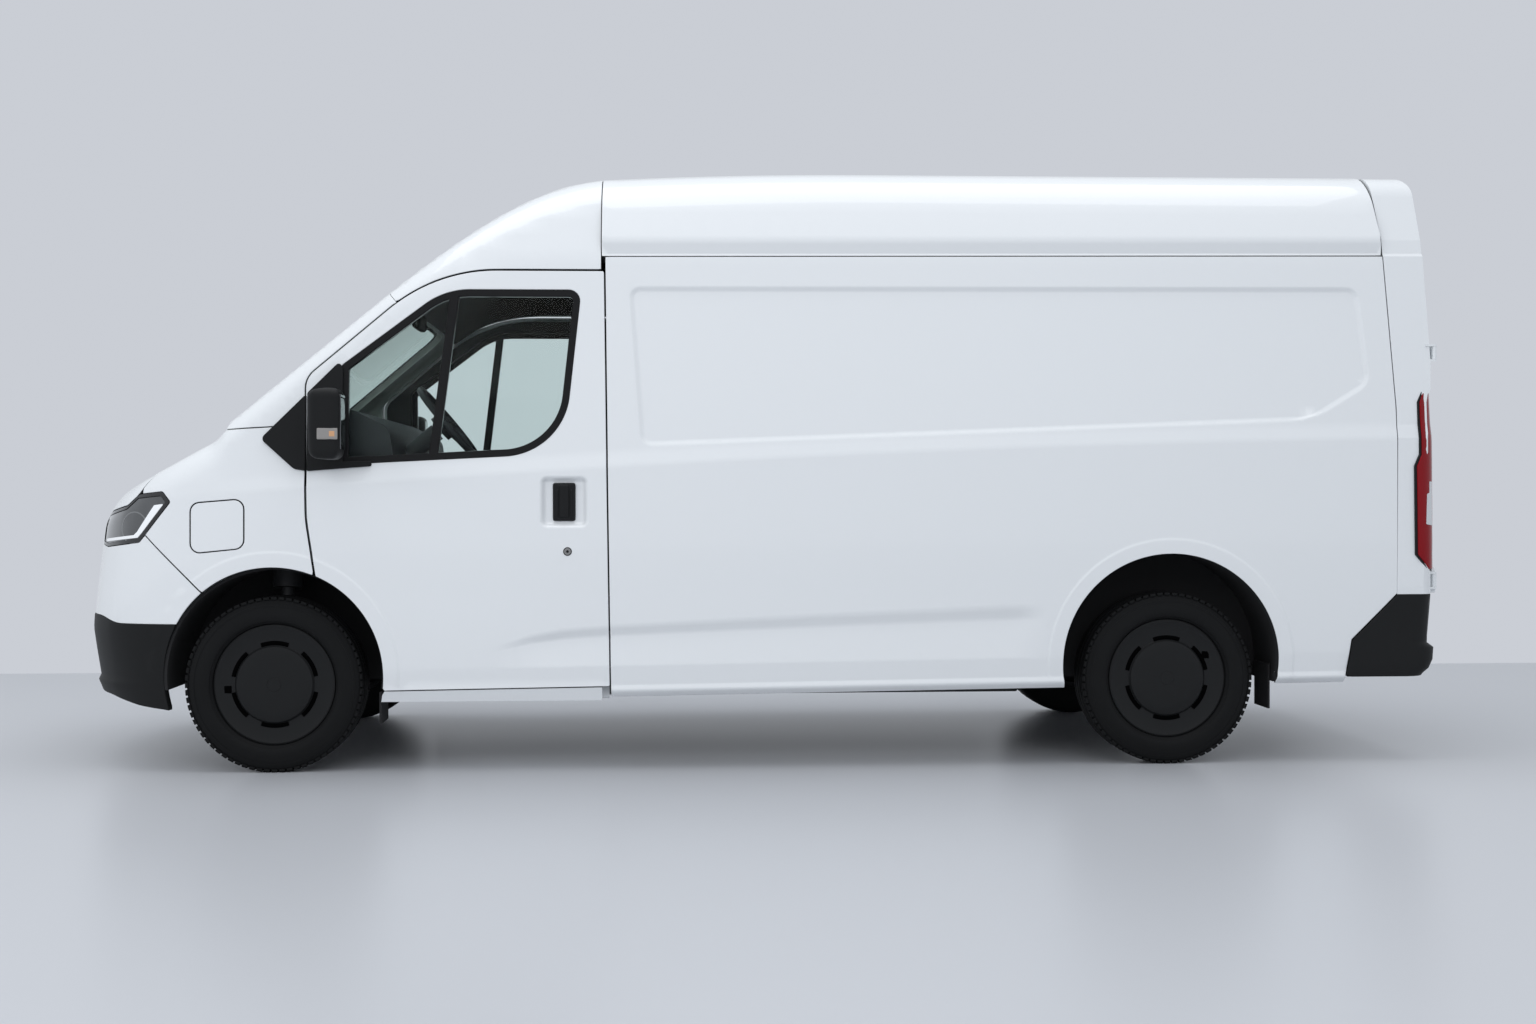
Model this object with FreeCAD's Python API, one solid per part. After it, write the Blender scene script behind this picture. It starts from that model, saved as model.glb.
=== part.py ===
import FreeCAD, Part
import math
import os

os.makedirs("parts", exist_ok=True)

# Frame: X runs from the nose to the tail, Y from the left side to the right, Z up from the road.
# The origin is on the road, half way along the van and on its centreline. All sizes are in millimetres.

# Overall layout
nose_x = -2820.0
front_axle_x = -1905.0
rear_axle_x = 1695.0
half_width = 1012.0
pinch_start_x = -1750.0
nose_pinch = 8.9e-5
cab_base_x = -2105.0
roof_split_x = -604.0
rear_seam_x = 2601.0
rear_face_x = 2795.0

# Gaps: round doors and lids, between fixed panels, and where one piece seats on another
shut_gap = 5.0
panel_seam = 3.0
seat_gap = 0.3

# Long lines of the side: height at mid length and rise per millimetre towards the tail
sill_bottom_z = 298.0
sill_top_z = 337.0
sill_crease_z = 426.0
sill_rise = 0.0122
bulge_z = 720.0
belt_z = 1247.5
belt_rise = 0.0498
belt_fall = 7.19e-6
belt_step = 55.0
gutter_z = 2064.0
gutter_rise = 0.0054

# How far each line lies inside the widest point of the side
sill_bottom_in = 62.0
sill_top_in = 30.0
sill_crease_in = 12.0
belt_in = 7.0
belt_step_in = 20.0
gutter_in = 74.0
gutter_notch = 9.0
gutter_notch_height = 12.0
roof_crease_in = 90.0
roof_crease_up = 68.0
roof_corner_in = 172.0

# Roof, windscreen and bonnet lines at the shoulder
roof_corner_z = 2425.0
roof_rise_front = 30.0
roof_crown = 44.0
roof_corner_radius = 125.0
pillar_radius = 70.0
cab_knee_low = 90.0
windscreen_top_x = -1454.0
windscreen_top_z = 1912.0
windscreen_base_z = 1366.0
windscreen_foot_crown = 105.0
windscreen_head_crown = 66.0
bonnet_crown = 78.0
wing_radius = 85.0
rear_corner_radius = 70.0
rear_roof_radius = 120.0
rear_lean = 42.0
rear_lean_start_z = 1500.0

# Nose in plan
nose_sweep_deg = 15.0
nose_arc_radius = 1700.0
nose_corner_y = 905.0
nose_corner_radius = 260.0
nose_side_x = -2200.0
nose_side_y = 1062.0
nose_lean_top = 46.0
bumper_top_z = 592.0
bumper_bottom_z = 248.0

# Wheels
wheel_radius = 350.0
tyre_width = 225.0
track = 1735.0
rim_radius = 218.0
rim_wall = 14.0
cover_radius = 238.0
cover_dome_radius = 154.0
cover_inset = 12.0
tyre_bead_radius = 226.0
hub_face_depth = 96.0
front_arch_z = 384.0
front_arch_radius = 435.0
rear_arch_x = 1702.0
rear_arch_z = 415.0
rear_arch_radius = 444.0
liner_wall = 6.0
liner_inner_y = 540.0
liner_outer_y = 950.0
liner_low_z = 330.0
tub_inner_y = 660.0

# Steering and suspension
steer_lean_deg = 12.0
steer_ground_y = 850.0
knuckle_low = 206.0
knuckle_high = 505.0
knuckle_radius = 34.0
stub_radius = 60.0
strut_radius = 26.0
spring_radius = 62.0
ball_radius = 22.0
arm_radius = 16.0
axle_radius = 48.0
leaf_half_length = 700.0
leaf_inner_y = 530.0
leaf_width = 70.0
leaf_thickness = 24.0
leaf_eye_radius = 19.0

# Walls
side_wall = 45.0
roof_wall = 45.0
wing_wall = 22.0
wing_lip = 10.0
bumper_wall = 40.0
bonnet_wall = 24.0
door_lip = 10.0
door_wall = 48.0
door_set_back = 18.0
door_front_gap = 8.0
pillar_gap = 6.0
glass_inset = 4.0
glass_thickness = 5.0
rear_door_wall = 44.0
sliding_skin = 30.0
sliding_overlap = 20.0

# Front door, in side view
door_rear_bottom_x = -573.5
door_rear_top_x = -594.0
door_top_z = 2003.0
door_front_x = -1766.0
door_bottom_front_z = 326.0
door_bottom_rear_z = 337.0
window_frame_width = 28.0
window_bar_width = 36.0

# Front door hinges
door_hinge_back = 70.0
door_hinge_y = 984.0
door_hinge_heights = [852.0, 1100.0]
hinge_pin_radius = 5.0
hinge_barrel_radius = 10.0
hinge_clearance = 0.3
hinge_barrel_height = 40.0
hinge_ear = 12.0
hinge_arm_in = 62.0
hinge_arm_depth = 24.0
post_width = 70.0
post_set_back = 24.0
post_inner_y = 900.0
post_low_z = 820.0
post_top_z = 1400.0

# Rear door hinges, bonnet hinges and charging flap hinge
rear_hinge_x = 2808.0
rear_hinge_y = 962.0
rear_hinge_radius = 9.0
rear_hinge_pin = 4.5
rear_hinge_height = 52.0
rear_hinge_heights = [744.0, 1679.0]
rear_hinge_ear = 9.0
bonnet_hinge_x = -2150.0
bonnet_hinge_z = 1345.0
bonnet_hinge_y = 684.0
bonnet_hinge_pin = 5.0
bonnet_hinge_radius = 11.0
scuttle_outset = 18.0
scuttle_drop = 14.0
scuttle_wall = 12.0
flap_front_x = -2229.0
flap_hinge_ahead = 18.0
flap_hinge_in = 17.5
flap_wall = 5.0
flap_pin_radius = 2.2
flap_pocket_depth = 62.0
flap_pocket_margin = 34.0

# Load space and floor
load_floor_z = 690.0
cab_floor_z = 600.0
floor_underside_z = 554.0
bulkhead_x = -548.0
bulkhead_thickness = 26.0
firewall_x = -1640.0
firewall_thickness = 30.0
rail_inner_y = 430.0
rail_width = 70.0
rail_height = 120.0
rail_rear_x = 2720.0
jack_pad_front_x = -1350.0
jack_pad_rear_x = 1300.0
jack_pad_length = 90.0
jack_pad_width = 60.0
jack_pad_height = 14.0
rear_door_bottom_z = 700.0
rear_door_top_z = 2180.0
rear_door_half = 902.0
rear_door_waist_z = 1300.0
rear_door_waist_in = 8.0
rear_door_top_in = 62.0
rear_hinge_leaf = 70.0
rear_post_depth = 40.0
tail_lamp_split_z = 1650.0
rear_bumper_x = 2820.0
rear_bumper_half = 1004.0
rear_bumper_front_x = 2446.0
rear_bumper_top_z = 690.0
rear_bumper_low_z = 352.0
battery_half_length = 1150.0
battery_half_width = 620.0
battery_low_z = 210.0
drive_unit_low_z = 330.0
drive_unit_half_width = 300.0
step_z = 395.0

# Inside the cab
steering_x = -1281.0
steering_y = -430.0
steering_z = 1415.0
steering_wheel_radius = 195.0
steering_rim_radius = 15.0
steering_tilt_deg = 39.5
dash_low_z = 940.0
dash_half_width = 840.0
seat_cushion_z = 900.0
driver_seat_width = 500.0
bench_seat_width = 900.0
bench_y = 440.0

body_low_z = 240.0
far = 1200.0


# Small helpers

def vec(x, y, z):
    return FreeCAD.Vector(x, y, z)


def on_side(y):
    return lambda u, v: vec(u, y, v)


def on_section(x):
    return lambda u, v: vec(x, u, v)


def on_plan(z):
    return lambda u, v: vec(u, v, z)


def turn_sign(corners):
    total = 0.0
    for i in range(len(corners)):
        a = corners[i - 1]
        b = corners[i]
        total += a[0] * b[1] - b[0] * a[1]
    return 1.0 if total > 0 else -1.0


def grown(corners, distance):
    """The same outline with every side moved outwards; rounded corners keep their centres."""
    sign = turn_sign(corners)
    count = len(corners)
    result = []
    for i in range(count):
        p = corners[i - 1]
        q = corners[i]
        r = corners[(i + 1) % count]
        first = FreeCAD.Vector(q[0] - p[0], q[1] - p[1], 0).normalize()
        second = FreeCAD.Vector(r[0] - q[0], r[1] - q[1], 0).normalize()
        n1 = vec(first.y, -first.x, 0) * sign
        n2 = vec(second.y, -second.x, 0) * sign
        share = 1.0 + n1.dot(n2)
        shift = (n1 + n2) * (distance / share)
        convex = (first.x * second.y - first.y * second.x) * sign > 0
        radius = q[2] + (distance if convex else -distance)
        if q[2] == 0:
            radius = 0
        result.append((q[0] + shift.x, q[1] + shift.y, max(radius, 0)))
    return result


def rounded_wire(corners, place):
    """A closed wire through (u, v, radius) corners, each rounded by a tangent arc."""
    count = len(corners)
    ends = []
    for i in range(count):
        u, v, radius = corners[i]
        p = vec(u, v, 0)
        a = vec(corners[i - 1][0] - u, corners[i - 1][1] - v, 0)
        b = vec(corners[(i + 1) % count][0] - u, corners[(i + 1) % count][1] - v, 0)
        room = 0.49 * min(a.Length, b.Length)
        a.normalize()
        b.normalize()
        half = 0.5 * math.acos(max(-1.0, min(1.0, a.dot(b))))
        tangent = min(radius / math.tan(half), room) if radius > 0 else 0.0
        if tangent < 0.01:
            ends.append((p, None, p))
            continue
        radius = tangent * math.tan(half)
        middle = (a + b).normalize()
        top = p + middle * (radius / math.sin(half) - radius)
        ends.append((p + a * tangent, top, p + b * tangent))
    edges = []
    for i in range(count):
        start, top, end = [None if q is None else place(q.x, q.y) for q in ends[i]]
        if top is not None:
            edges.append(Part.Arc(start, top, end).toShape())
        following = ends[(i + 1) % count][0]
        following = place(following.x, following.y)
        if (following - end).Length > 0.01:
            edges.append(Part.LineSegment(end, following).toShape())
    return Part.Wire(edges)


def side_prism(corners, y_low, y_high):
    face = Part.Face(rounded_wire(corners, on_side(y_low)))
    return face.extrude(vec(0, y_high - y_low, 0))


def section_prism(corners, x_low, x_high):
    face = Part.Face(rounded_wire(corners, on_section(x_low)))
    return face.extrude(vec(x_high - x_low, 0, 0))


def plan_prism(corners, z_low, z_high):
    face = Part.Face(rounded_wire(corners, on_plan(z_low)))
    return face.extrude(vec(0, 0, z_high - z_low))


def block(x0, x1, y0, y1, z0, z1):
    return Part.makeBox(x1 - x0, y1 - y0, z1 - z0, vec(x0, y0, z0))


def tube_y(radius, x, z, y0, y1):
    return Part.makeCylinder(radius, y1 - y0, vec(x, y0, z), vec(0, 1, 0))


def rod(radius, start, end):
    return Part.makeCylinder(radius, (end - start).Length, start, end - start)


def mirrored(shape):
    return shape.mirror(vec(0, 0, 0), vec(0, 1, 0))


def both_sides(shape):
    return Part.makeCompound([shape, mirrored(shape)])


def joined(shapes):
    first = shapes[0]
    return first.fuse(shapes[1:]).removeSplitter() if len(shapes) > 1 else first


def solids_of(shape, least_volume=200.0):
    """The shape's solids without slivers."""
    return [s for s in shape.Solids if s.Volume > least_volume]


def save(name, shape):
    solids = solids_of(shape)
    kept = solids[0] if len(solids) == 1 else Part.makeCompound(solids)
    kept.exportStep("parts/" + name + ".step")


# Lines of the body

def width_at(x):
    pinch = nose_pinch * max(0.0, pinch_start_x - x) ** 2
    return half_width - pinch


def belt_at(x):
    return belt_z + belt_rise * x - belt_fall * x * x


def rising(z, x):
    return z + sill_rise * x


def gutter_at(x):
    return gutter_z + gutter_rise * x


def windscreen_slope():
    return (windscreen_top_z - windscreen_base_z) / (windscreen_top_x - cab_base_x)


def windscreen_z(x):
    return windscreen_base_z + windscreen_slope() * (x - cab_base_x)


def roof_z(x):
    """Height of the roof corner: a curve up from the windscreen, then nearly level."""
    if x <= windscreen_top_x:
        return windscreen_z(x)
    top = roof_corner_z - roof_rise_front
    run = roof_split_x - windscreen_top_x
    t = min(1.0, (x - windscreen_top_x) / run)
    end_slope = 0.1
    h00 = 2 * t ** 3 - 3 * t ** 2 + 1
    h10 = t ** 3 - 2 * t ** 2 + t
    h01 = -2 * t ** 3 + 3 * t ** 2
    h11 = t ** 3 - t ** 2
    level = h00 * windscreen_top_z + h10 * run * windscreen_slope() + h01 * top + h11 * run * end_slope
    if t < 1.0:
        return level
    along = min(1.0, (x - roof_split_x) / 1100.0)
    return top + roof_rise_front * (2 * along - along * along)


def cab_crown(x):
    """Rise of the centreline over the shoulder: most at the windscreen's foot, least on the roof."""
    if x < windscreen_top_x:
        share = min(1.0, (windscreen_top_x - x) / (windscreen_top_x - cab_base_x))
        return windscreen_head_crown + share * (windscreen_foot_crown - windscreen_head_crown)
    share = min(1.0, (x - windscreen_top_x) / (roof_split_x - windscreen_top_x))
    return windscreen_head_crown + share * (roof_crown - windscreen_head_crown)


bonnet_points = [(-2900, 760), (-2720, 985), (-2620, 1056), (-2541, 1112), (-2455, 1166), (-2325, 1245),
                 (-2207, 1312), (-2090, 1371)]


def bonnet_z(x):
    """Height of the wing top along the bonnet, by straight steps between its measured points."""
    for (x0, z0), (x1, z1) in zip(bonnet_points, bonnet_points[1:]):
        if x <= x1:
            return z0 + (z1 - z0) * (x - x0) / (x1 - x0)
    return bonnet_points[-1][1]


# Cross-sections of the body, each a closed wire

def section_wire(x, side, corner, radius, crown, inset, low_z):
    """A closed section: up the left side, round the shoulder, over the crown and down again."""
    left = [(-(y - inset), z) for y, z in side]
    left[0] = (left[0][0], low_z)
    c = vec(-(corner[0] - inset), corner[1] - inset, 0)
    s = vec(left[-1][0], left[-1][1], 0)
    top = corner[1] + crown - inset
    a = (s - c)
    b = vec(0, c.y + 0.45 * crown, 0) - c
    a.normalize()
    b.normalize()
    half = 0.5 * math.acos(a.dot(b))
    round_radius = max(radius - inset, 18.0)
    tangent = round_radius / math.tan(half)
    middle = (a + b).normalize()
    start = c + a * tangent
    end = c + b * tangent
    bend = c + middle * (round_radius / math.sin(half) - round_radius)
    points = left + [(start.x, start.y)]
    edges = []
    for p, q in zip(points, points[1:]):
        edges.append(Part.LineSegment(vec(x, p[0], p[1]), vec(x, q[0], q[1])).toShape())
    edges.append(Part.Arc(vec(x, start.x, start.y), vec(x, bend.x, bend.y), vec(x, end.x, end.y)).toShape())
    edges.append(Part.Arc(vec(x, end.x, end.y), vec(x, 0, top), vec(x, -end.x, end.y)).toShape())
    right = [vec(x, -end.x, end.y), vec(x, -bend.x, bend.y), vec(x, -start.x, start.y)]
    edges.append(Part.Arc(right[0], right[1], right[2]).toShape())
    for p, q in zip(points[::-1], points[::-1][1:]):
        edges.append(Part.LineSegment(vec(x, -p[0], p[1]), vec(x, -q[0], q[1])).toShape())
    last = points[0]
    edges.append(Part.LineSegment(vec(x, -last[0], last[1]), vec(x, last[0], last[1])).toShape())
    return Part.Wire(edges)


def lower_side(x):
    w = width_at(x)
    belt = belt_at(x)
    return [
        (w - sill_bottom_in, rising(sill_bottom_z, x)),
        (w - sill_top_in, rising(sill_top_z, x)),
        (w - sill_crease_in, rising(sill_crease_z, x)),
        (w, bulge_z),
        (w - belt_in, belt),
        (w - belt_step_in, belt + belt_step),
    ]


def tumble(x, z):
    """Half width of the upper side at a height, on the line from the belt to the gutter."""
    start = belt_at(x) + belt_step
    slope = (gutter_in - belt_step_in) / (gutter_at(x) - start)
    return width_at(x) - belt_step_in - slope * (z - start)


def load_section(x, inset, low_z):
    w = width_at(x)
    gutter = gutter_at(x)
    side = lower_side(x) + [
        (w - gutter_in, gutter),
        (w - gutter_in - gutter_notch, gutter + gutter_notch_height),
        (w - roof_crease_in, gutter + roof_crease_up),
    ]
    corner = (w - roof_corner_in, roof_z(x))
    return section_wire(x, side, corner, roof_corner_radius, roof_crown, inset, low_z)


def cab_section(x, inset, low_z):
    z = roof_z(x)
    share = min(1.0, max(0.0, (x - windscreen_top_x) / (roof_split_x - windscreen_top_x)))
    extra = share * (roof_corner_in - (width_at(x) - tumble(x, z)))
    corner = (tumble(x, z) - extra, z)
    radius = pillar_radius + share * (roof_corner_radius - pillar_radius)
    if share > 0:
        knee_z = z - cab_knee_low - share * (roof_z(roof_split_x) - gutter_at(roof_split_x) - cab_knee_low)
    else:
        low = belt_at(x) + belt_step
        knee_z = low + 0.6 * max(10.0, z - inset - 0.5 * cab_knee_low - low)
    side = lower_side(x) + [(tumble(x, knee_z), knee_z)]
    return section_wire(x, side, corner, radius, cab_crown(x), inset, low_z)


def nose_section(x, inset, low_z):
    z = bonnet_z(x)
    w = width_at(x)
    belt = min(belt_at(x), z - 130.0)
    side = [
        (w - sill_crease_in, sill_crease_z),
        (w, min(bulge_z, belt - 40.0)),
        (w - belt_in, belt),
    ]
    corner = (w - belt_in - 26.0, z)
    return section_wire(x, side, corner, wing_radius, bonnet_crown, inset, low_z)


def nose_plan(z, inset):
    """Plan outline of the nose at a height, swept back at its sides, leaning back with height."""
    lean = nose_lean_top * max(0.0, (z - bumper_top_z) / (bonnet_points[1][1] - bumper_top_z))
    sweep = math.radians(nose_sweep_deg)
    apex = nose_x + inset + lean - nose_arc_radius * (1 / math.cos(sweep) - 1)
    corner_x = apex + nose_corner_y * math.tan(sweep)
    left = [(nose_side_x, -nose_side_y + inset, 0), (corner_x, -nose_corner_y + inset, nose_corner_radius)]
    right = [(u, -v, r) for u, v, r in left[::-1]]
    back = [(0, nose_side_y, 0), (0, -nose_side_y, 0)]
    return left + [(apex, 0, nose_arc_radius)] + right + back


# Solids between two depths below the outer surface

made = {}


def loaded_loft(kind, section, stations, inset, low_z, smooth):
    key = (kind, inset, low_z)
    if key not in made:
        wires = [section(x, inset, low_z) for x in stations]
        made[key] = Part.makeLoft(wires, True, not smooth, False)
    return made[key]


def load_body(inset, low_z=body_low_z):
    """Load space volume, inset below the skin."""
    key = ("load body", inset, low_z)
    if key not in made:
        body = loaded_loft("load", load_section, [roof_split_x, 0, 900, 2000, 2900], inset, low_z, False)
        made[key] = body.common(rear_envelope(inset))
    return made[key]


def rear_envelope(inset):
    """Side view and plan limits of the tail: rounded into the roof, leaning in above the waist."""
    x_back = rear_face_x - inset
    top = roof_corner_z + roof_crown - inset
    high_x = x_back - rear_lean
    corners = [
        (-3000, 0, 0),
        (x_back, 0, 0),
        (x_back, rear_lean_start_z, 900),
        (high_x, roof_corner_z + 4 - inset, rear_roof_radius),
        (high_x - 160, top, 300),
        (high_x - 700, top + 60.0, 0),
        (-3000, top + 60.0, 0),
    ]
    side = side_prism(corners, -far, far)
    w = half_width + 2 - inset
    plan = [(-3000, -w, 0), (x_back, -w, rear_corner_radius), (x_back, w, rear_corner_radius), (-3000, w, 0)]
    return side.common(plan_prism(plan, 0, 2700))


def cab_body(inset, low_z=body_low_z):
    stations = [cab_base_x - 170, cab_base_x, -1900, -1680, windscreen_top_x]
    stations = stations + [-1250, -1050, -820, roof_split_x]
    return loaded_loft("cab", cab_section, stations, inset, low_z, False)


def nose_body(inset, low_z=body_low_z):
    """Nose volume: lofted bonnet and wings, closed in front by the swept nose face."""
    key = ("nose body", inset, low_z)
    if key not in made:
        stations = [x for x, z in bonnet_points[:-1]] + [cab_base_x + 4]
        body = loaded_loft("nose", nose_section, stations, inset, low_z, False)
        levels = [100, bumper_top_z, bonnet_points[1][1], 1420]
        wires = [rounded_wire(nose_plan(z, inset), on_plan(z)) for z in levels]
        front = Part.makeLoft(wires, True, True, False)
        made[key] = body.common(front)
    return made[key]


def skin(body, outer, inner, region):
    """The wall of a body volume between two depths, inside a region."""
    return body(outer).common(region).cut(body(inner, 0.0))


# Outlines in side view

def door_outline():
    return [
        (door_rear_bottom_x, door_bottom_rear_z, 6),
        (door_rear_top_x, door_top_z, 8),
        (-1265, door_top_z, 650),
        (-1774, 1571, 90),
        (door_front_x, 1010, 500),
        (-1724, 735, 0),
        (-1468, door_bottom_front_z, 0),
    ]


def window_outline():
    return [
        (-1634, 1225, 14),
        (-1634, 1621, 14),
        (-1228, 1927, 300),
        (-684, 1927, 45),
        (-756, 1268, 270),
    ]


def front_wheel_well(radius, y_low=-far, y_high=-500.0):
    return tube_y(radius, front_axle_x, front_arch_z, y_low, y_high)


def rear_wheel_well(radius, y_low=-far, y_high=-500.0):
    return tube_y(radius, rear_arch_x, rear_arch_z, y_low, y_high)


# Load space panels

def side_panel_region():
    x_front = door_rear_bottom_x + shut_gap + 1
    slant = door_rear_top_x - door_rear_bottom_x
    return [
        (x_front, rising(sill_bottom_z, x_front) - 20, 0),
        (x_front + slant, gutter_at(x_front), 0),
        (rear_seam_x, gutter_at(rear_seam_x), 0),
        (rear_seam_x + 37, 1450, 0),
        (rear_seam_x + 30, 400, 0),
        (rear_bumper_front_x - panel_seam, rising(sill_bottom_z, rear_bumper_front_x) - 20, 0),
    ]


def side_panel_solid():
    """Space of the left side panel: its side view less the bumper and the wheel opening."""
    region = side_prism(side_panel_region(), -far, -600)
    region = region.cut(side_prism(grown(rear_bumper_side(), panel_seam), -far, -600))
    return region.cut(rear_wheel_well(rear_arch_radius))


def side_panel_left():
    return skin(load_body, 0, side_wall, side_panel_solid())


def sliding_door_outline(grow):
    corners = [(-540, 366, 20), (-552, 2020, 30), (640, 2028, 60), (640, 380, 60)]
    return grown(corners, grow)


def sliding_door_parts():
    """The right side panel and the sliding door, which closes against a flange of the panel."""
    outer = side_prism(sliding_door_outline(0), -far, -600)
    inner = side_prism(sliding_door_outline(-sliding_overlap - shut_gap), -far, -600)
    door = skin(load_body, 0, sliding_skin, outer).fuse(skin(load_body, sliding_skin - 1, side_wall, inner))
    region = side_panel_solid()
    opening = side_prism(sliding_door_outline(shut_gap), -far, -600)
    through = side_prism(sliding_door_outline(-sliding_overlap), -far, -600)
    depth = sliding_skin + seat_gap
    panel = skin(load_body, 0, depth, region.cut(opening))
    panel = panel.fuse(skin(load_body, depth, side_wall, region.cut(through)))
    return mirrored(door.removeSplitter()), mirrored(panel.removeSplitter())


def roof_panel():
    low = gutter_at(roof_split_x) + seat_gap
    region = [
        (roof_split_x + panel_seam / 2, low, 0),
        (rear_seam_x - panel_seam, low + gutter_rise * (rear_seam_x - roof_split_x), 0),
        (rear_seam_x - panel_seam - 2, 2150, 0),
        (rear_seam_x - panel_seam - 36, 2520, 0),
        (roof_split_x + panel_seam / 2, 2520, 0),
    ]
    return skin(load_body, 0, roof_wall, side_prism(region, -far, far))


def rear_frame_region():
    low = rear_bumper_top_z + seat_gap
    return [
        (rear_seam_x + panel_seam, gutter_at(rear_seam_x), 0),
        (rear_seam_x + panel_seam - 2, 2150, 0),
        (rear_seam_x + panel_seam - 36, 2520, 0),
        (2900, 2520, 0),
        (2900, low, 0),
        (rear_seam_x + 30 + panel_seam, low, 0),
        (rear_seam_x + 37 + panel_seam, 1450, 0),
    ]


def rear_frame():
    """Rear ring: corner posts and roof header round the two rear doors, with the hinge ears."""
    shell = load_body(0).common(side_prism(rear_frame_region(), 0, far))
    below = shell.common(block(2000, 2950, 0, far, 0, tail_lamp_split_z))
    above = shell.common(block(2000, 2950, 0, far, tail_lamp_split_z, 2600))
    half = below.cut(mirrored(tail_lamp_region(seat_gap))).fuse(above)
    hollow = load_body(side_wall, 0.0)
    step_x = rear_face_x - rear_door_wall - rear_lean - 40
    half = half.cut(hollow.common(block(2000, step_x, -far, far, 0, 2600)))
    half = half.cut(section_prism(rear_opening(-rear_post_depth), 2000, 2900))
    half = half.cut(block(2000, 2900, 0, rear_door_half - rear_post_depth, 600, 800))
    half = half.cut(section_prism(rear_opening(shut_gap), step_x, 2900))
    ears = rear_hinge_ears_left()
    return half.fuse([mirrored(half), ears, mirrored(ears)])


def rear_door_edge(z):
    """Distance of a rear door's outer edge from the centreline at a height."""
    if z < rear_door_waist_z:
        share = (z - rear_door_bottom_z) / (rear_door_waist_z - rear_door_bottom_z)
        return rear_door_half - rear_door_waist_in * share
    share = (z - rear_door_waist_z) / (rear_door_top_z - rear_door_waist_z)
    return rear_door_half - rear_door_waist_in - share * (rear_door_top_in - rear_door_waist_in)


def rear_opening(grow):
    foot = rear_door_edge(rear_door_bottom_z)
    waist = rear_door_edge(rear_door_waist_z)
    top = rear_door_edge(rear_door_top_z)
    corners = [
        (-foot, rear_door_bottom_z, 10),
        (-waist, rear_door_waist_z, 600),
        (-top, rear_door_top_z, 70),
        (top, rear_door_top_z, 70),
        (waist, rear_door_waist_z, 600),
        (foot, rear_door_bottom_z, 10),
    ]
    return grown(corners, grow)


def rear_hinge_ears_left():
    """Two ears and the pin between them at each rear door hinge, on the corner post."""
    parts = []
    half = rear_hinge_height / 2
    for z in rear_hinge_heights:
        for low in (z - half - rear_hinge_ear - hinge_clearance, z + half + hinge_clearance):
            base = block(rear_hinge_x - 40, rear_hinge_x, -rear_hinge_y - rear_hinge_radius,
                         -rear_hinge_y + rear_hinge_radius, low, low + rear_hinge_ear)
            end = Part.makeCylinder(rear_hinge_radius, rear_hinge_ear, vec(rear_hinge_x, -rear_hinge_y, low))
            parts.append(base)
            parts.append(end)
        height = rear_hinge_height + 2 * rear_hinge_ear
        place = vec(rear_hinge_x, -rear_hinge_y, z - height / 2)
        parts.append(Part.makeCylinder(rear_hinge_pin, height, place))
    return joined(parts)


def rear_door_left():
    """Rear door with its hinge leaves, which reach round the corner post."""
    half = shut_gap / 2 + 1
    region = section_prism(rear_opening(0), 2600, 2900).common(block(2600, 2900, -far, -half, 0, 2600))
    door = load_body(0).common(region).cut(load_body(rear_door_wall, 0.0))
    leaves = []
    bores = []
    for z in rear_hinge_heights:
        low = z - rear_hinge_height / 2
        place = vec(rear_hinge_x, -rear_hinge_y, low)
        leaves.append(Part.makeCylinder(rear_hinge_radius, rear_hinge_height, place))
        bores.append(Part.makeCylinder(rear_hinge_pin + hinge_clearance, rear_hinge_height, place))
        top = low + rear_hinge_height
        edge = -rear_door_edge(top)
        end_y = edge + rear_hinge_leaf
        leaves.append(block(rear_face_x + panel_seam, rear_hinge_x, -rear_hinge_y, end_y, low, top))
        leaves.append(block(rear_face_x - 20, rear_hinge_x, edge + 6, end_y, low, top))
    return joined([door] + leaves).cut(Part.makeCompound(bores))


def tail_lamp_outline():
    return [
        (2737, 855, 10),
        (2737, 1212, 10),
        (2766, 1270, 10),
        (2766, 1475, 20),
        (2775, 1520, 10),
        (2900, 1520, 0),
        (2900, 797, 0),
        (2800, 797, 0),
    ]


def tail_lamp_region(grow):
    return side_prism(grown(tail_lamp_outline(), grow), -far, -rear_door_half - 14 + grow)


def tail_lamp():
    return load_body(-3).common(tail_lamp_region(0)).cut(load_body(30, 0.0))


def rear_bumper_side():
    return [
        (rear_bumper_front_x, rear_bumper_low_z, 0),
        (rear_bumper_front_x + 16, 500, 10),
        (rear_seam_x + 17, 668, 10),
        (rear_seam_x + 39, rear_bumper_top_z, 0),
        (rear_bumper_x + 10, rear_bumper_top_z, 0),
        (rear_bumper_x + 10, 440, 40),
        (rear_bumper_x - 30, rear_bumper_low_z, 20),
    ]


def rear_bumper():
    half = rear_bumper_half
    plan = [(rear_bumper_x, -half, 60), (rear_bumper_x, half, 60), (rear_bumper_front_x, half, 0),
            (rear_bumper_front_x, -half, 0)]
    outer = plan_prism(plan, 300, 720).common(side_prism(rear_bumper_side(), -far, far))
    x = rail_rear_x + seat_gap
    inner_half = half_width - side_wall + seat_gap
    return outer.cut(block(2400, x, -inner_half, inner_half, 0, 800))


# Cab panels

def roof_front():
    seam = grown(door_outline(), shut_gap)
    corners = [
        (roof_split_x - panel_seam / 2, 1900, 0),
        (roof_split_x - panel_seam / 2, 2600, 0),
        (-1800, 2600, 0),
        (windscreen_top_x - 26, windscreen_top_z + 30, 0),
        (windscreen_top_x + 4, windscreen_top_z - 4, 0),
        (-1400, 1830, 0),
    ]
    region = side_prism(corners, -far, far).cut(side_prism(seam, -far, far))
    return skin(cab_body, 0, roof_wall, region)


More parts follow.
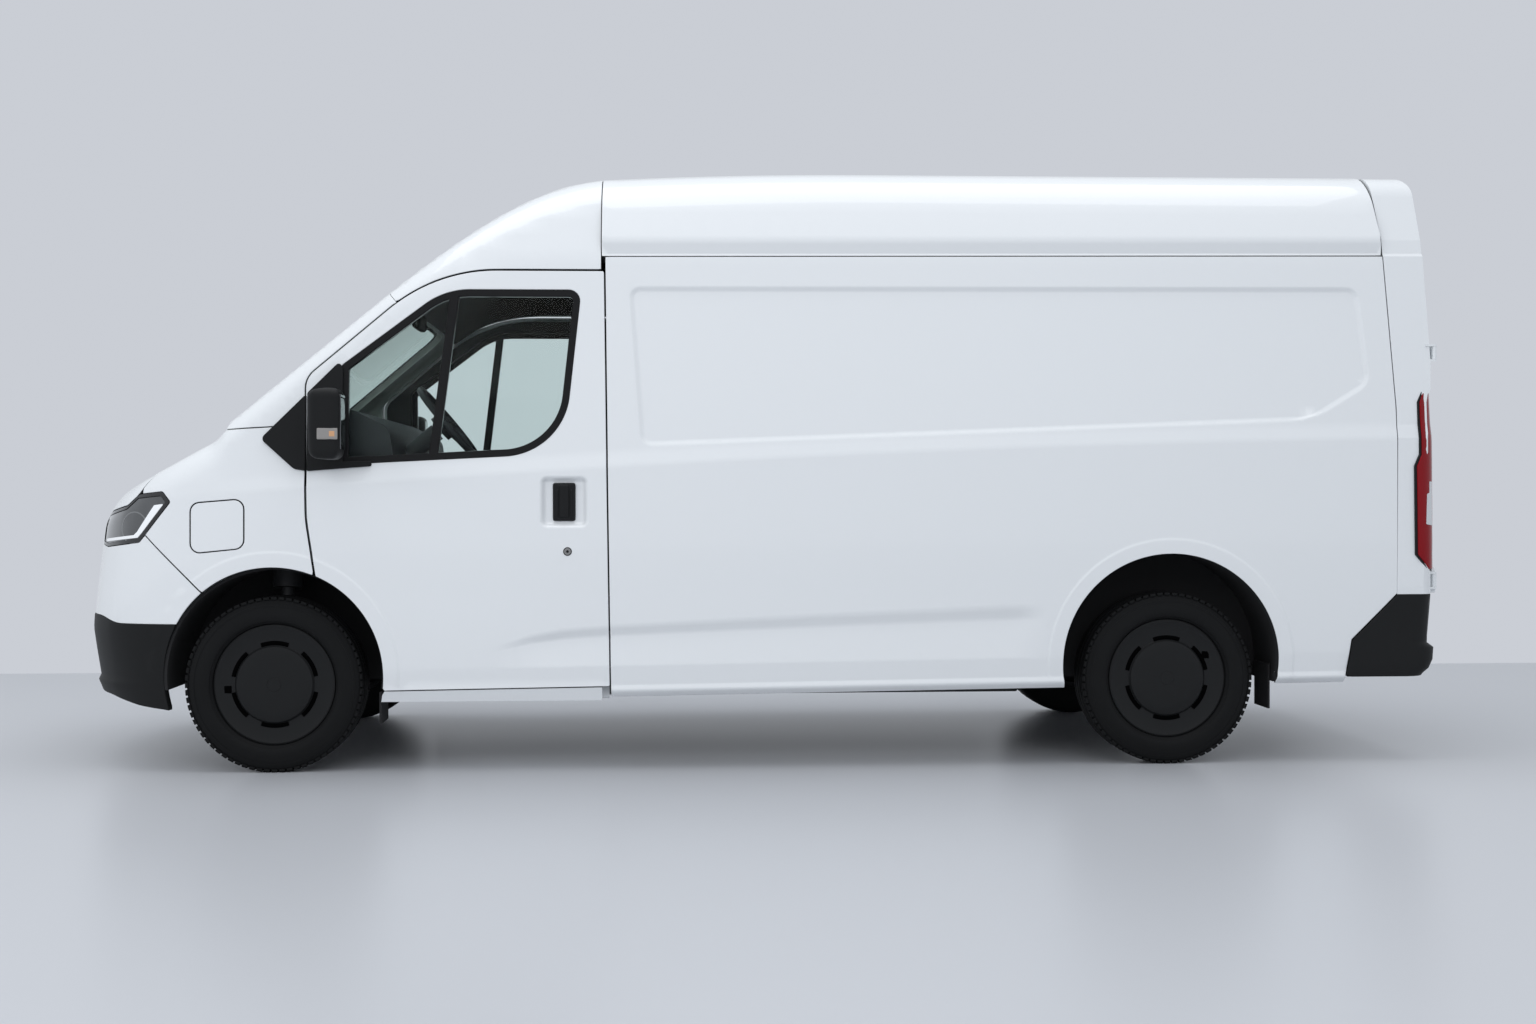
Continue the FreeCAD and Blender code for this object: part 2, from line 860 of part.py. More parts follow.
def windscreen_frame():
    """Windscreen pillars and header with the hinge posts, door hinge ears and bonnet hinge brackets."""
    seam = side_prism(grown(door_outline(), pillar_gap), -far, far)
    corners = [
        (-2300, 1290, 0),
        (-2112, 1345, 0),
        (-2092, 1367, 0),
        (-1770, 1382, 0),
        (-1700, 1300, 0),
        (-1400, 1800, 0),
        (windscreen_top_x + 4, windscreen_top_z - 4 - seat_gap, 0),
        (windscreen_top_x - 26, windscreen_top_z + 30 - seat_gap, 0),
        (-1800, 2600, 0),
        (-2400, 1900, 0),
    ]
    region = side_prism(corners, -far, far).cut(seam)
    frame = skin(cab_body, 0, side_wall, region).cut(windscreen_hole(0))
    middle = block(-2400, -2060, -780, 780, 1000, 1600).cut(windscreen_hole(26))
    foot = block(-2400, -2088, -far, -780, 1000, windscreen_base_z + panel_seam)
    front = block(-2400, cab_base_x + seat_gap, -far, -780, 1000, 1700)
    for piece in (middle, foot, mirrored(foot), front, mirrored(front)):
        frame = frame.cut(piece)
    extras = [hinge_post_left(), bonnet_bracket_left()]
    return joined([frame] + extras + [mirrored(piece) for piece in extras])


def hinge_post_left():
    """Post behind the wing that carries the front door hinges."""
    x_rear = door_front_x - post_set_back
    post = block(x_rear - post_width, x_rear, -far, -post_inner_y, post_low_z, post_top_z)
    post = post.common(cab_body(wing_wall + seat_gap, 0.0))
    return joined([post] + [hinge_ears_left(z) for z in door_hinge_heights])


def hinge_plan(b_values):
    """Turns (along, inwards, radius) about the door hinge axis into plan corners."""
    x = door_front_x + door_hinge_back
    return [(x + a, -door_hinge_y + b, r) for a, b, r in b_values]


def hinge_ears_left(z):
    """Swan-neck ears above and below one hinge barrel, and the pin between them."""
    reach = door_hinge_back + post_set_back + 6
    deep = hinge_arm_in + hinge_arm_depth
    r = hinge_barrel_radius
    corners = hinge_plan([
        (-reach, hinge_arm_in, 0), (-r, hinge_arm_in, 8), (-r, -r, r - 0.1), (r, -r, r - 0.1), (r, deep, 12),
        (-reach, deep, 0),
    ])
    half = hinge_barrel_height / 2
    x = door_front_x + door_hinge_back
    ears = []
    for low in (z - half - hinge_clearance - hinge_ear, z + half + hinge_clearance):
        ears.append(plan_prism(corners, low, low + hinge_ear))
    height = hinge_barrel_height + 2 * hinge_ear
    ears.append(Part.makeCylinder(hinge_pin_radius, height, vec(x, -door_hinge_y, z - height / 2)))
    web = plan_prism(hinge_plan([(-reach, hinge_arm_in, 0), (-r - 20, hinge_arm_in, 0), (-r - 20, deep, 0),
                                 (-reach, deep, 0)]), z - half - hinge_ear, z + half + hinge_ear)
    return joined(ears + [web])


def door_hinge_barrel_left(z):
    half = hinge_barrel_height / 2
    x = door_front_x + door_hinge_back
    barrel = Part.makeCylinder(hinge_barrel_radius, hinge_barrel_height, vec(x, -door_hinge_y, z - half))
    leaf = plan_prism(hinge_plan([(0, -5, 0), (34, -5, 0), (34, 5, 0), (0, 5, 0)]), z - half, z + half)
    return barrel.fuse(leaf)


def bonnet_bracket_left():
    """Bracket with the pin that the bonnet turns on."""
    x = bonnet_hinge_x
    z = bonnet_hinge_z
    r = bonnet_hinge_radius
    corners = [(x - r, z - r, r - 0.1), (x - r, z + r, r - 0.1), (x + 55, z + 30, 0), (x + 75, z + 30, 0),
               (x + 75, z - r, 0)]
    y = -bonnet_hinge_y
    plate = side_prism(corners, y - 14, y - 6)
    pin = tube_y(bonnet_hinge_pin, x, z, y - 10, y + 8)
    return plate.fuse(pin)


def windscreen_hole(grow):
    """Rounded prism square to the windscreen's slope, its lower edge bowed down in the middle."""
    rise = math.atan(windscreen_slope())
    length = math.hypot(windscreen_top_z - windscreen_base_z, windscreen_top_x - cab_base_x)
    corners = grown([(34, -820, 60), (length - 52, -735, 80), (length - 52, 735, 80), (34, 820, 60),
                     (-62, 0, 4000)], grow)
    depth = 160.0

    def place(u, v):
        return vec(cab_base_x + u * math.cos(rise) + depth * math.sin(rise), v,
                   windscreen_base_z + u * math.sin(rise) - depth * math.cos(rise))

    face = Part.Face(rounded_wire(corners, place))
    return face.extrude(vec(-2.5 * depth * math.sin(rise), 0, 2.5 * depth * math.cos(rise)))


def windscreen():
    region = windscreen_hole(-seat_gap)
    return cab_body(glass_inset).common(region).cut(cab_body(glass_inset + glass_thickness, 0.0))


def scuttle():
    """Strip between the bonnet's rear edge and the windscreen, cleared round the bonnet hinges."""
    strip = nose_body(scuttle_drop).common(cab_body(-scuttle_outset + panel_seam))
    strip = strip.cut(nose_body(scuttle_drop + scuttle_wall, 0.0)).cut(cab_body(-seat_gap, 0.0))
    strip = strip.common(block(-2500, -1900, -765, 765, 1200, 1700))
    y = bonnet_hinge_y
    notch = block(-2400, -2000, -y - 20, -y + 14, 1000, 1700)
    return strip.cut(notch).cut(mirrored(notch))


def bonnet_outline(grow):
    corners = [(-2900, -690, 0), (-2640, -700, 60), (cab_base_x + 14, -812, 30),
               (cab_base_x + 14, 812, 30), (-2640, 700, 60), (-2900, 690, 0)]
    return grown(corners, grow)


def bonnet_front_cut(grow):
    """Side view region above the line where the bonnet meets the nose panel."""
    return grown([(-2900, 955, 0), (-1900, 1055, 0), (-1900, 1700, 0), (-2900, 1700, 0)], grow)


def bonnet():
    region = plan_prism(bonnet_outline(-shut_gap / 2), 800, 1600)
    region = region.common(side_prism(bonnet_front_cut(-shut_gap / 2), -far, far))
    panel = skin(nose_body, 0, bonnet_wall, region).cut(cab_body(-scuttle_outset, 0.0))
    arm = bonnet_arm_left()
    return joined([panel, arm, mirrored(arm)])


def bonnet_arm_left():
    """Hinge arm under the bonnet's rear corner, with the bore for its pin."""
    x = bonnet_hinge_x
    z = bonnet_hinge_z
    r = bonnet_hinge_radius
    corners = [(x + r, z - r, r - 0.1), (x + r, z + r, r - 0.1), (x - 60, z + 30, 0), (x - 190, z + 30, 0),
               (x - 190, z - 90, 0), (x - 70, z - 52, 20)]
    y = -bonnet_hinge_y
    arm = side_prism(corners, y - 4, y + 4).common(nose_body(bonnet_wall - 2, 0.0))
    return arm.cut(tube_y(bonnet_hinge_pin + hinge_clearance, x, z, y - 5, y + 5))


def bonnet_cut():
    region = plan_prism(bonnet_outline(shut_gap / 2), 800, 1600)
    return region.common(side_prism(bonnet_front_cut(shut_gap / 2), -far, far))


def headlamp_region(grow):
    corners = [
        (-2930, 1000, 0),
        (-2590, 1020, 30),
        (-2493, 1064, 20),
        (-2450, 1112, 14),
        (-2350, 1122, 14),
        (-2331, 1080, 10),
        (-2448, 920, 14),
        (-2575, 898, 16),
        (-2930, 900, 0),
    ]
    return side_prism(grown(corners, grow), -far, -540 + grow)


def headlamp():
    region = headlamp_region(-seat_gap).cut(bonnet_cut())
    return nose_body(2).common(region).cut(nose_body(110, 0.0))


def front_skin(outer, inner, region):
    """Skin across the nose and the foot of the windscreen pillar as one piece."""
    nose = skin(nose_body, outer, inner, region.common(block(-3000, cab_base_x, -far, far, 0, 1700)))
    cab = skin(cab_body, outer, inner, region.common(block(cab_base_x, -1500, -far, far, 0, 1700)))
    return nose.fuse(cab).removeSplitter()


def flap_outline(grow):
    x = flap_front_x
    return grown([(x, 872, 38), (x, 1073, 38), (x + 216, 1090, 38), (x + 216, 893, 38)], grow)


def flap_hinge_place():
    x = flap_front_x - flap_hinge_ahead + shut_gap / 2
    return x, -width_at(x) + flap_hinge_in


def flap_plan(values, z_low, z_high):
    """Block in plan given as (front, rear, outer, inner) distances from the flap's hinge axis."""
    x, y = flap_hinge_place()
    a0, a1, b0, b1 = values
    return block(x + a0, x + a1, y + b0, y + b1, z_low, z_high)


def charge_flap():
    """Charging flap on two swan-neck arms that turn on a pin behind the wing's edge."""
    panel = front_skin(0, flap_wall, side_prism(flap_outline(-shut_gap / 2), -far, -600))
    x, y = flap_hinge_place()
    arms = []
    for z in (930, 1030):
        arms.append(Part.makeCylinder(5, 12, vec(x, y, z)))
        arms.append(flap_plan((-3, 3, 0, 27), z, z + 12))
        arms.append(flap_plan((-3, 39, 21, 27), z, z + 12))
        arms.append(flap_plan((33, 39, -11, 27), z, z + 12))
    bore = Part.makeCylinder(flap_pin_radius + hinge_clearance, 200, vec(x, y, 900))
    return joined([panel] + arms).cut(bore)


def flap_pocket():
    """Bowl behind the flap with the charging socket and the pin for the flap's arms."""
    margin = flap_pocket_margin
    bowl = front_skin(wing_wall - 2, flap_pocket_depth + 4, side_prism(flap_outline(margin + 4), -far, -600))
    bowl = bowl.cut(front_skin(0, flap_pocket_depth, side_prism(flap_outline(margin), -far, -600)))
    socket = rod(42, vec(-2120, -width_at(-2120) + 34, 985), vec(-2120, -width_at(-2120) + 68, 985))
    x, y = flap_hinge_place()
    pin = Part.makeCylinder(flap_pin_radius, 156, vec(x, y, 908))
    lugs = [flap_plan((-40, 3, -3, 3), z, z + 8) for z in (908, 1056)]
    return bowl, joined([pin] + lugs), socket


def wing_seam(grow):
    """Side view region behind the line from the headlamp to the wheel opening."""
    corners = [(-2444, 986, 0), (-2160, 697, 0), (-1500, 697, 0), (-1500, 1700, 0), (-2444, 1700, 0)]
    return grown(corners, grow)


def wing_region():
    region = side_prism(wing_seam(0), -far, -300)
    shape = [(-2700, 300, 0), (-1500, 300, 0), (-1500, 1376, 0), (-1800, 1379, 0), (-2092, 1364, 0),
             (-2700, 1364, 0)]
    region = region.common(side_prism(shape, -far, -300))
    region = region.cut(side_prism(grown(door_outline(), door_front_gap), -far, -300))
    region = region.cut(block(door_front_x - door_front_gap, -1400, -far, -300, 0, 1700))
    region = region.cut(bonnet_cut()).cut(headlamp_region(0))
    return region.cut(front_wheel_well(front_arch_radius))


def plain_wing():
    """Front wing: a thin lip beside the door, full thickness further forward."""
    region = wing_region()
    lip = front_skin(0, wing_lip, region)
    thick_end = door_front_x - door_front_gap - 12
    body = front_skin(wing_lip - 1, wing_wall, region.common(block(-3000, thick_end, -far, 0, 0, 1700)))
    return lip.fuse(body).removeSplitter()


def wings():
    plain = plain_wing()
    bowl, hinge, socket = flap_pocket()
    left = plain.fuse(bowl)
    pocket = side_prism(flap_outline(flap_pocket_margin), -far, -600)
    opening = side_prism(flap_outline(shut_gap / 2), -far, -600)
    left = left.cut(front_skin(flap_wall, flap_pocket_depth, pocket))
    left = left.cut(front_skin(-1, flap_wall + 1, opening))
    left = joined([left, hinge, socket])
    return Part.makeCompound([left, mirrored(plain)])


def nose_panel():
    region = block(-3000, -2160, -far, far, bumper_top_z + seat_gap, 1300)
    region = region.cut(side_prism(wing_seam(panel_seam), -far, far)).cut(bonnet_cut())
    lamps = headlamp_region(0)
    region = region.cut(lamps).cut(mirrored(lamps))
    wells = front_wheel_well(front_arch_radius)
    region = region.cut(wells).cut(mirrored(wells))
    return skin(nose_body, 0, bumper_wall, region)


def front_bumper():
    region = block(-3000, -2290, -far, far, bumper_bottom_z, bumper_top_z)
    wells = front_wheel_well(front_arch_radius)
    region = region.cut(wells).cut(mirrored(wells))
    return skin(nose_body, -4, bumper_wall, region)


# Front doors

def door_panel_left():
    """Front door shell: a thin lip all round, the thicker frame set back behind it, and its hinges."""
    outline = door_outline()
    lip = skin(cab_body, 0, door_lip, side_prism(outline, -far, -500))
    frame = skin(cab_body, door_lip - 1, door_wall, side_prism(grown(outline, -door_set_back), -far, -500))
    door = lip.fuse(frame)
    x = door_front_x + door_hinge_back
    barrels = []
    for z in door_hinge_heights:
        room = hinge_barrel_height / 2 + hinge_ear + 10
        pocket = block(door_front_x - 5, x + 22, -far, -500, z - room, z + room)
        door = door.cut(pocket.common(cab_body(door_lip, 0.0)))
        barrels.append(door_hinge_barrel_left(z))
    door = joined([door.removeSplitter()] + barrels)
    door = door.cut(front_wheel_well(front_arch_radius)).cut(side_prism(window_outline(), -far, -500))
    bores = [Part.makeCylinder(hinge_pin_radius + hinge_clearance, 80, vec(x, -door_hinge_y, z - 40))
             for z in door_hinge_heights]
    return door.cut(Part.makeCompound(bores))


def window_bar(grow):
    return grown([(-1196, 1990, 0), (-1196 + window_bar_width, 1990, 0),
                  (-1297 + window_bar_width, 1200, 0), (-1297, 1200, 0)], grow)


def window_frame_left():
    ring = side_prism(grown(window_outline(), -seat_gap), -far, -500)
    hole = side_prism(grown(window_outline(), -window_frame_width), -far, -500)
    bar = side_prism(window_bar(0), -far, -500).common(hole)
    region = ring.cut(hole).fuse(bar).removeSplitter()
    return skin(cab_body, -2, 30, region)


def door_glass_left():
    hole = side_prism(grown(window_outline(), -window_frame_width - seat_gap), -far, -500)
    bar = side_prism(window_bar(seat_gap), -far, -500)
    return skin(cab_body, 9, 9 + glass_thickness, hole.cut(bar))


def mirror_base(x_low, x_high):
    corners = [(-1949, 1327, 12), (-1637, 1638, 12), (-1637, 1222, 0), (-1515, 1227, 2), (-1522, 1212, 6),
               (-1765, 1199, 10), (-1817, 1207, 30)]
    region = side_prism(corners, -far, -500).common(block(x_low, x_high, -far, far, 0, 2000))
    return skin(cab_body, -14, -seat_gap, region)


def mirror_left():
    """Mirror base on the door, its arm and the rounded head with the glass facing the rear."""
    base = mirror_base(door_front_x, -1400)
    profile = [(-1723, 1240, 30), (-1715, 1508, 34), (-1592, 1516, 30), (-1586, 1262, 34)]
    plan = [(-1723, -1245, 40), (-1723, -1100, 34), (-1586, -1100, 16), (-1586, -1245, 30)]
    head = side_prism(profile, -1250, -1080).common(plan_prism(plan, 1200, 1600))
    reach = [(-1700, 1262, 10), (-1700, 1330, 10), (-1640, 1330, 10), (-1640, 1262, 10)]
    arm = side_prism(reach, -1110, -1000)
    return joined([base, head, arm])


def mirror_foot_left():
    return mirror_base(-2000, door_front_x - pillar_gap)


def sill_left():
    """Sill under the front door with the step behind it."""
    x0 = -1500.0
    x1 = door_rear_bottom_x - 3
    strip = side_prism([(x0, 270, 0), (-1468, 321, 0), (x1, 332, 0), (x1, 270, 0)], -far, -700)
    outer = skin(cab_body, 0, 120, strip.common(block(x0 - 20, 0, -far, far, 278, 400)))
    top = floor_underside_z - seat_gap
    corners = [(-925, 282, 10), (-925, step_z, 10), (-800, step_z, 20), (-800, top, 0), (-760, top, 0),
               (-760, 282, 0)]
    step = section_prism(corners, x0, x1)
    return joined([outer, step]).cut(front_wheel_well(front_arch_radius))


# Inside and underneath

def floor():
    """Load floor, cab floor and firewall, cut round the rear wheel tubs."""
    load = load_body(side_wall + seat_gap, 0.0).common(
        block(bulkhead_x, rail_rear_x, -far, far, floor_underside_z, load_floor_z))
    cab = block(firewall_x + firewall_thickness, bulkhead_x, -920, 920, floor_underside_z, cab_floor_z)
    wall_end = firewall_x + firewall_thickness + 1
    wall = block(firewall_x, wall_end, -760, 760, floor_underside_z, dash_low_z - seat_gap)
    plate = joined([load, cab, wall])
    well = rear_wheel_well(rear_arch_radius + 14 + seat_gap, -far, -tub_inner_y + seat_gap)
    liner = front_arch_radius - liner_wall + seat_gap
    well = well.fuse(front_wheel_well(liner, -far, -liner_inner_y + seat_gap))
    return plate.cut(well).cut(mirrored(well))


def rear_tub_left():
    outer = rear_wheel_well(rear_arch_radius + 14, -far, -tub_inner_y)
    inner = rear_wheel_well(rear_arch_radius + 4, -far, -tub_inner_y - liner_wall)
    above = block(rear_arch_x - 520, rear_arch_x + 520, -far, 0, 330, 1000)
    axle_room = block(rear_axle_x - 90, rear_axle_x + 90, -tub_inner_y - liner_wall - 2, 0, 300, 440)
    tub = outer.cut(inner).common(above).cut(axle_room)
    return tub.common(load_body(side_wall + seat_gap, 0.0))


def front_liner_left():
    outer = front_wheel_well(front_arch_radius - liner_wall, -liner_outer_y, -liner_inner_y)
    inner = front_wheel_well(front_arch_radius - 2 * liner_wall, -far, -liner_inner_y - liner_wall)
    rim = front_wheel_well(front_arch_radius - seat_gap, -liner_outer_y, -liner_outer_y + 22)
    rim = rim.common(block(-3000, -1830, -far, 0, 0, 1000))
    shape = outer.fuse(rim).cut(inner)
    return shape.common(block(front_axle_x - 520, front_axle_x + 520, -far, 0, liner_low_z, 1000))


def front_mudflap_left():
    low = 278.0
    edge = front_axle_x + math.sqrt(front_arch_radius ** 2 - (front_arch_z - low) ** 2)
    return block(edge - seat_gap - 8, edge - seat_gap, -960, -785, 190, 316)


def rear_mudflap_left():
    reach = math.sqrt((rear_arch_radius + 4) ** 2 - (rear_arch_z - 330) ** 2)
    edge = rear_arch_x + reach - seat_gap
    return block(edge - 8, edge, -900, -725, 215, 400)


def arch_liners():
    parts = [front_liner_left(), rear_tub_left(), front_mudflap_left(), rear_mudflap_left()]
    return Part.makeCompound(parts + [mirrored(p) for p in parts])


def chassis_rails():
    """Two long rails with cross members and the hangers of the rear springs."""
    top = floor_underside_z - seat_gap
    low = top - rail_height
    left = block(-2750, rail_rear_x, -rail_inner_y - rail_width, -rail_inner_y, low, top)
    members = [block(x, x + 80, -rail_inner_y, rail_inner_y, top - 90, top - 10)
               for x in (-2440, -1250, -300, 650, 2050, 2500)]
    hangers = []
    for x in (rear_axle_x - leaf_half_length, rear_axle_x + leaf_half_length):
        hangers.append(block(x - 20, x + 20, -leaf_inner_y - leaf_width, -rail_inner_y - rail_width,
                             leaf_end_top() + seat_gap, top))
    pads = [jack_pad_left(x, low) for x in (jack_pad_front_x, jack_pad_rear_x)]
    sides = [left] + hangers + pads
    frame = joined(sides + [mirrored(piece) for piece in sides] + members)
    nose = nose_body(bumper_wall + seat_gap, 0.0)
    front = frame.common(block(-2800, -2300, -far, far, 0, 1000)).common(nose)
    return joined([front, frame.common(block(-2300, 2800, -far, far, 0, 1000))])


def jack_pad_left(x, top):
    """Flat pad under the left rail for a jack or a lift arm."""
    y = -rail_inner_y - rail_width / 2
    half_long = jack_pad_length / 2
    half_wide = jack_pad_width / 2
    return block(x - half_long, x + half_long, y - half_wide, y + half_wide, top - jack_pad_height, top)


def bulkhead():
    region = block(bulkhead_x, bulkhead_x + bulkhead_thickness, -far, far, load_floor_z + seat_gap, 2600)
    return load_body(side_wall + 1, 0.0).common(region)


def battery_pack():
    top = floor_underside_z - 2 * seat_gap - rail_height
    half = battery_half_length
    return block(-half, half, -battery_half_width, battery_half_width, battery_low_z, top)


def drive_unit():
    half = drive_unit_half_width
    return block(-2250, firewall_x - 20, -half, half, drive_unit_low_z, 780)


def steer_axis():
    lean = math.tan(math.radians(steer_lean_deg))
    return vec(front_axle_x, -steer_ground_y, 0), vec(0, lean, 1).normalize()


def front_suspension():
    """Subframe with the lower arms and ball joints, and the struts up to the wheel housings."""
    base, direction = steer_axis()
    x = front_axle_x
    beam_top = drive_unit_low_z - seat_gap
    rail_low = floor_underside_z - seat_gap - rail_height
    beam = block(x - 80, x + 80, -420, 420, beam_top - 60, beam_top)
    ball_top = base + direction * (knuckle_low - seat_gap)
    ball = rod(ball_radius, ball_top - direction * 36, ball_top)
    low_point = ball_top - direction * 20
    arms = [rod(arm_radius, vec(x + dx, -400, beam_top - 30), low_point) for dx in (-70, 70)]
    tower = block(x - 80, x + 80, -490, -380, beam_top - 60, rail_low - seat_gap)
    half = [ball] + arms + [tower]
    knuckle_room = rod(knuckle_radius + shut_gap, ball_top, ball_top + direction * 60)
    cradle = joined([beam] + half + [mirrored(piece) for piece in half])
    cradle = cradle.cut(knuckle_room).cut(mirrored(knuckle_room))
    strut = front_strut_left()
    return Part.makeCompound([cradle, strut, mirrored(strut)])


def front_strut_left():
    base, direction = steer_axis()
    body = rod(strut_radius, base + direction * (knuckle_high + seat_gap), base + direction * 850)
    spring = rod(spring_radius, base + direction * 738, base + direction * 850)
    room = front_wheel_well(front_arch_radius - 2 * liner_wall - seat_gap, -far, -liner_inner_y - liner_wall)
    return body.fuse(spring).common(room)


def knuckle_left():
    """Steering knuckle: the upright on the steering axis and the hub flange for the wheel."""
    base, direction = steer_axis()
    upright = rod(knuckle_radius, base + direction * knuckle_low, base + direction * knuckle_high)
    hub_y = hub_face_y() + seat_gap
    flange = tube_y(stub_radius, front_axle_x, wheel_radius, hub_y, hub_y + 24)
    stub = tube_y(42, front_axle_x, wheel_radius, hub_y, -775)
    return joined([upright, flange, stub])


def hub_face_y():
    """Inner face of the wheel's disc, on the left."""
    return -track / 2 - tyre_width / 2 + hub_face_depth


def wheel(x):
    """Rim, disc and closed cover as one turned piece, on the left side."""
    y_out = -track / 2 - tyre_width / 2
    cover_y = y_out + cover_inset
    face_y = hub_face_y()
    inner = rim_radius - rim_wall
    y_in = y_out + tyre_width
    points = [
        (0, cover_y + 4), (60, cover_y + 4), (cover_dome_radius - 8, cover_y + 6),
        (cover_dome_radius, cover_y + 18), (cover_radius - 16, cover_y + 16), (cover_radius, cover_y + 9),
        (cover_radius + 2, cover_y + 12), (rim_radius, cover_y + 50), (inner, cover_y + 100),
        (inner, y_in - 40), (rim_radius, y_in - 14), (rim_radius - 4, y_in - 8), (inner - 12, y_in - 24),
        (inner - 12, cover_y + 96), (cover_dome_radius - 20, cover_y + 56), (90, face_y), (0, face_y),
    ]
    corners = [vec(x + r, y, wheel_radius) for r, y in points]
    face = Part.Face(Part.makePolygon(corners + [corners[0]]))
    return face.revolve(vec(x, 0, wheel_radius), vec(0, 1, 0), 360)


def tyre(x):
    y_out = -track / 2 - tyre_width / 2
    y_in = y_out + tyre_width
    r = wheel_radius
    b = tyre_bead_radius
    seat = rim_radius + seat_gap
    corners = [(seat, y_out + 64), (seat, y_in - 12), (b + 14, y_in - 6), (b + 52, y_in), (r - 30, y_in - 6),
               (r - 6, y_in - 20), (r, y_in - 44), (r, y_out + 44), (r - 6, y_out + 20), (r - 30, y_out + 6),
               (b + 52, y_out), (b + 18, y_out + 24)]
    points = [vec(x + u, v, wheel_radius) for u, v in corners]
    face = Part.Face(Part.makePolygon(points + [points[0]]))
    return face.revolve(vec(x, 0, wheel_radius), vec(0, 1, 0), 360)


def leaf_end_top():
    return 400.0 + 88.0


def rear_axle():
    """Rear axle beam with its hub ends, and the leaf springs over it."""
    hub_y = hub_face_y() + seat_gap
    beam = tube_y(axle_radius, rear_axle_x, wheel_radius, hub_y, -hub_y)
    flange = tube_y(stub_radius, rear_axle_x, wheel_radius, hub_y, hub_y + 24)
    x = rear_axle_x
    half = leaf_half_length
    top = leaf_end_top()
    corners = [(x - half, top - leaf_thickness, 0), (x, 350, 2600), (x + half, top - leaf_thickness, 0),
               (x + half, top, 0), (x, 350 + leaf_thickness, 2600), (x - half, top, 0)]
    leaf = side_prism(corners, -leaf_inner_y - leaf_width, -leaf_inner_y)
    for end_x in (x - half, x + half):
        eye_z = top - leaf_eye_radius
        eye = tube_y(leaf_eye_radius, end_x, eye_z, -leaf_inner_y - leaf_width, -leaf_inner_y)
        leaf = leaf.fuse(eye)
    return joined([beam, flange, mirrored(flange), leaf, mirrored(leaf)])


def dashboard():
    """Dashboard across the cab with the steering column's shroud."""
    corners = [(-2010, 1150, 0), (-2010, 1310, 30), (-1900, 1420, 60), (-1620, 1452, 50),
               (-1470, 1380, 60), (-1440, 1180, 60), (-1530, dash_low_z, 40), (firewall_x, dash_low_z, 0),
               (firewall_x, 1150, 0)]
    panel = side_prism(corners, -dash_half_width, dash_half_width).common(cab_body(side_wall + 20, 0.0))
    tilt = math.radians(steering_tilt_deg)
    direction = vec(-math.cos(tilt), 0, -math.sin(tilt))
    hub = vec(steering_x, steering_y, steering_z)
    column = rod(38, hub + direction * (62 + seat_gap), hub + direction * 250)
    return joined([panel, column])


def steering_wheel():
    tilt = math.radians(steering_tilt_deg)
    axis = vec(math.cos(tilt), 0, math.sin(tilt))
    hub = vec(steering_x, steering_y, steering_z)
    radius = steering_wheel_radius - steering_rim_radius
    rim = Part.makeTorus(radius, steering_rim_radius, hub, axis)
    boss = Part.makeCylinder(58, 46, hub - axis * 46, axis)
    shaft = Part.makeCylinder(20, 20, hub - axis * 62, axis)
    across = vec(-math.sin(tilt), 0, math.cos(tilt))
    spokes = []
    for angle in (0, 180, 270):
        a = math.radians(angle)
        direction = vec(0, math.cos(a), 0) + across * math.sin(a)
        spokes.append(rod(11, hub - axis * 22 + direction * 40, hub + direction * radius))
    return joined([rim, boss, shaft] + spokes)


def seat_pair(y_centre, width):
    """Cushion and back of one seat as plain closed solids, the back standing behind the cushion."""
    low = seat_cushion_z + seat_gap
    cushion = side_prism([(-1240, low, 40), (-1230, 1020, 50), (-800, 990, 30), (-800, low, 20)],
                         y_centre - width / 2, y_centre + width / 2)
    half = width / 2 - 10
    shape = [(-799.7, low, 20), (-799.7, 1000, 0), (-735, 1560, 60), (-640, 1560, 50), (-660, low, 40)]
    back = side_prism(shape, y_centre - half, y_centre + half)
    return [cushion, back]


def seats():
    return Part.makeCompound(seat_pair(steering_y, driver_seat_width) + seat_pair(bench_y, bench_seat_width))


def seat_base(y_centre, width):
    half = width / 2 - 30
    return block(-1180, -680, y_centre - half, y_centre + half, cab_floor_z + seat_gap, seat_cushion_z)


def seat_bases():
    driver = seat_base(steering_y, driver_seat_width)
    return Part.makeCompound([driver, seat_base(bench_y, bench_seat_width)])


def save_both(name, shape):
    save(name + "_left", shape)
    save(name + "_right", mirrored(shape))


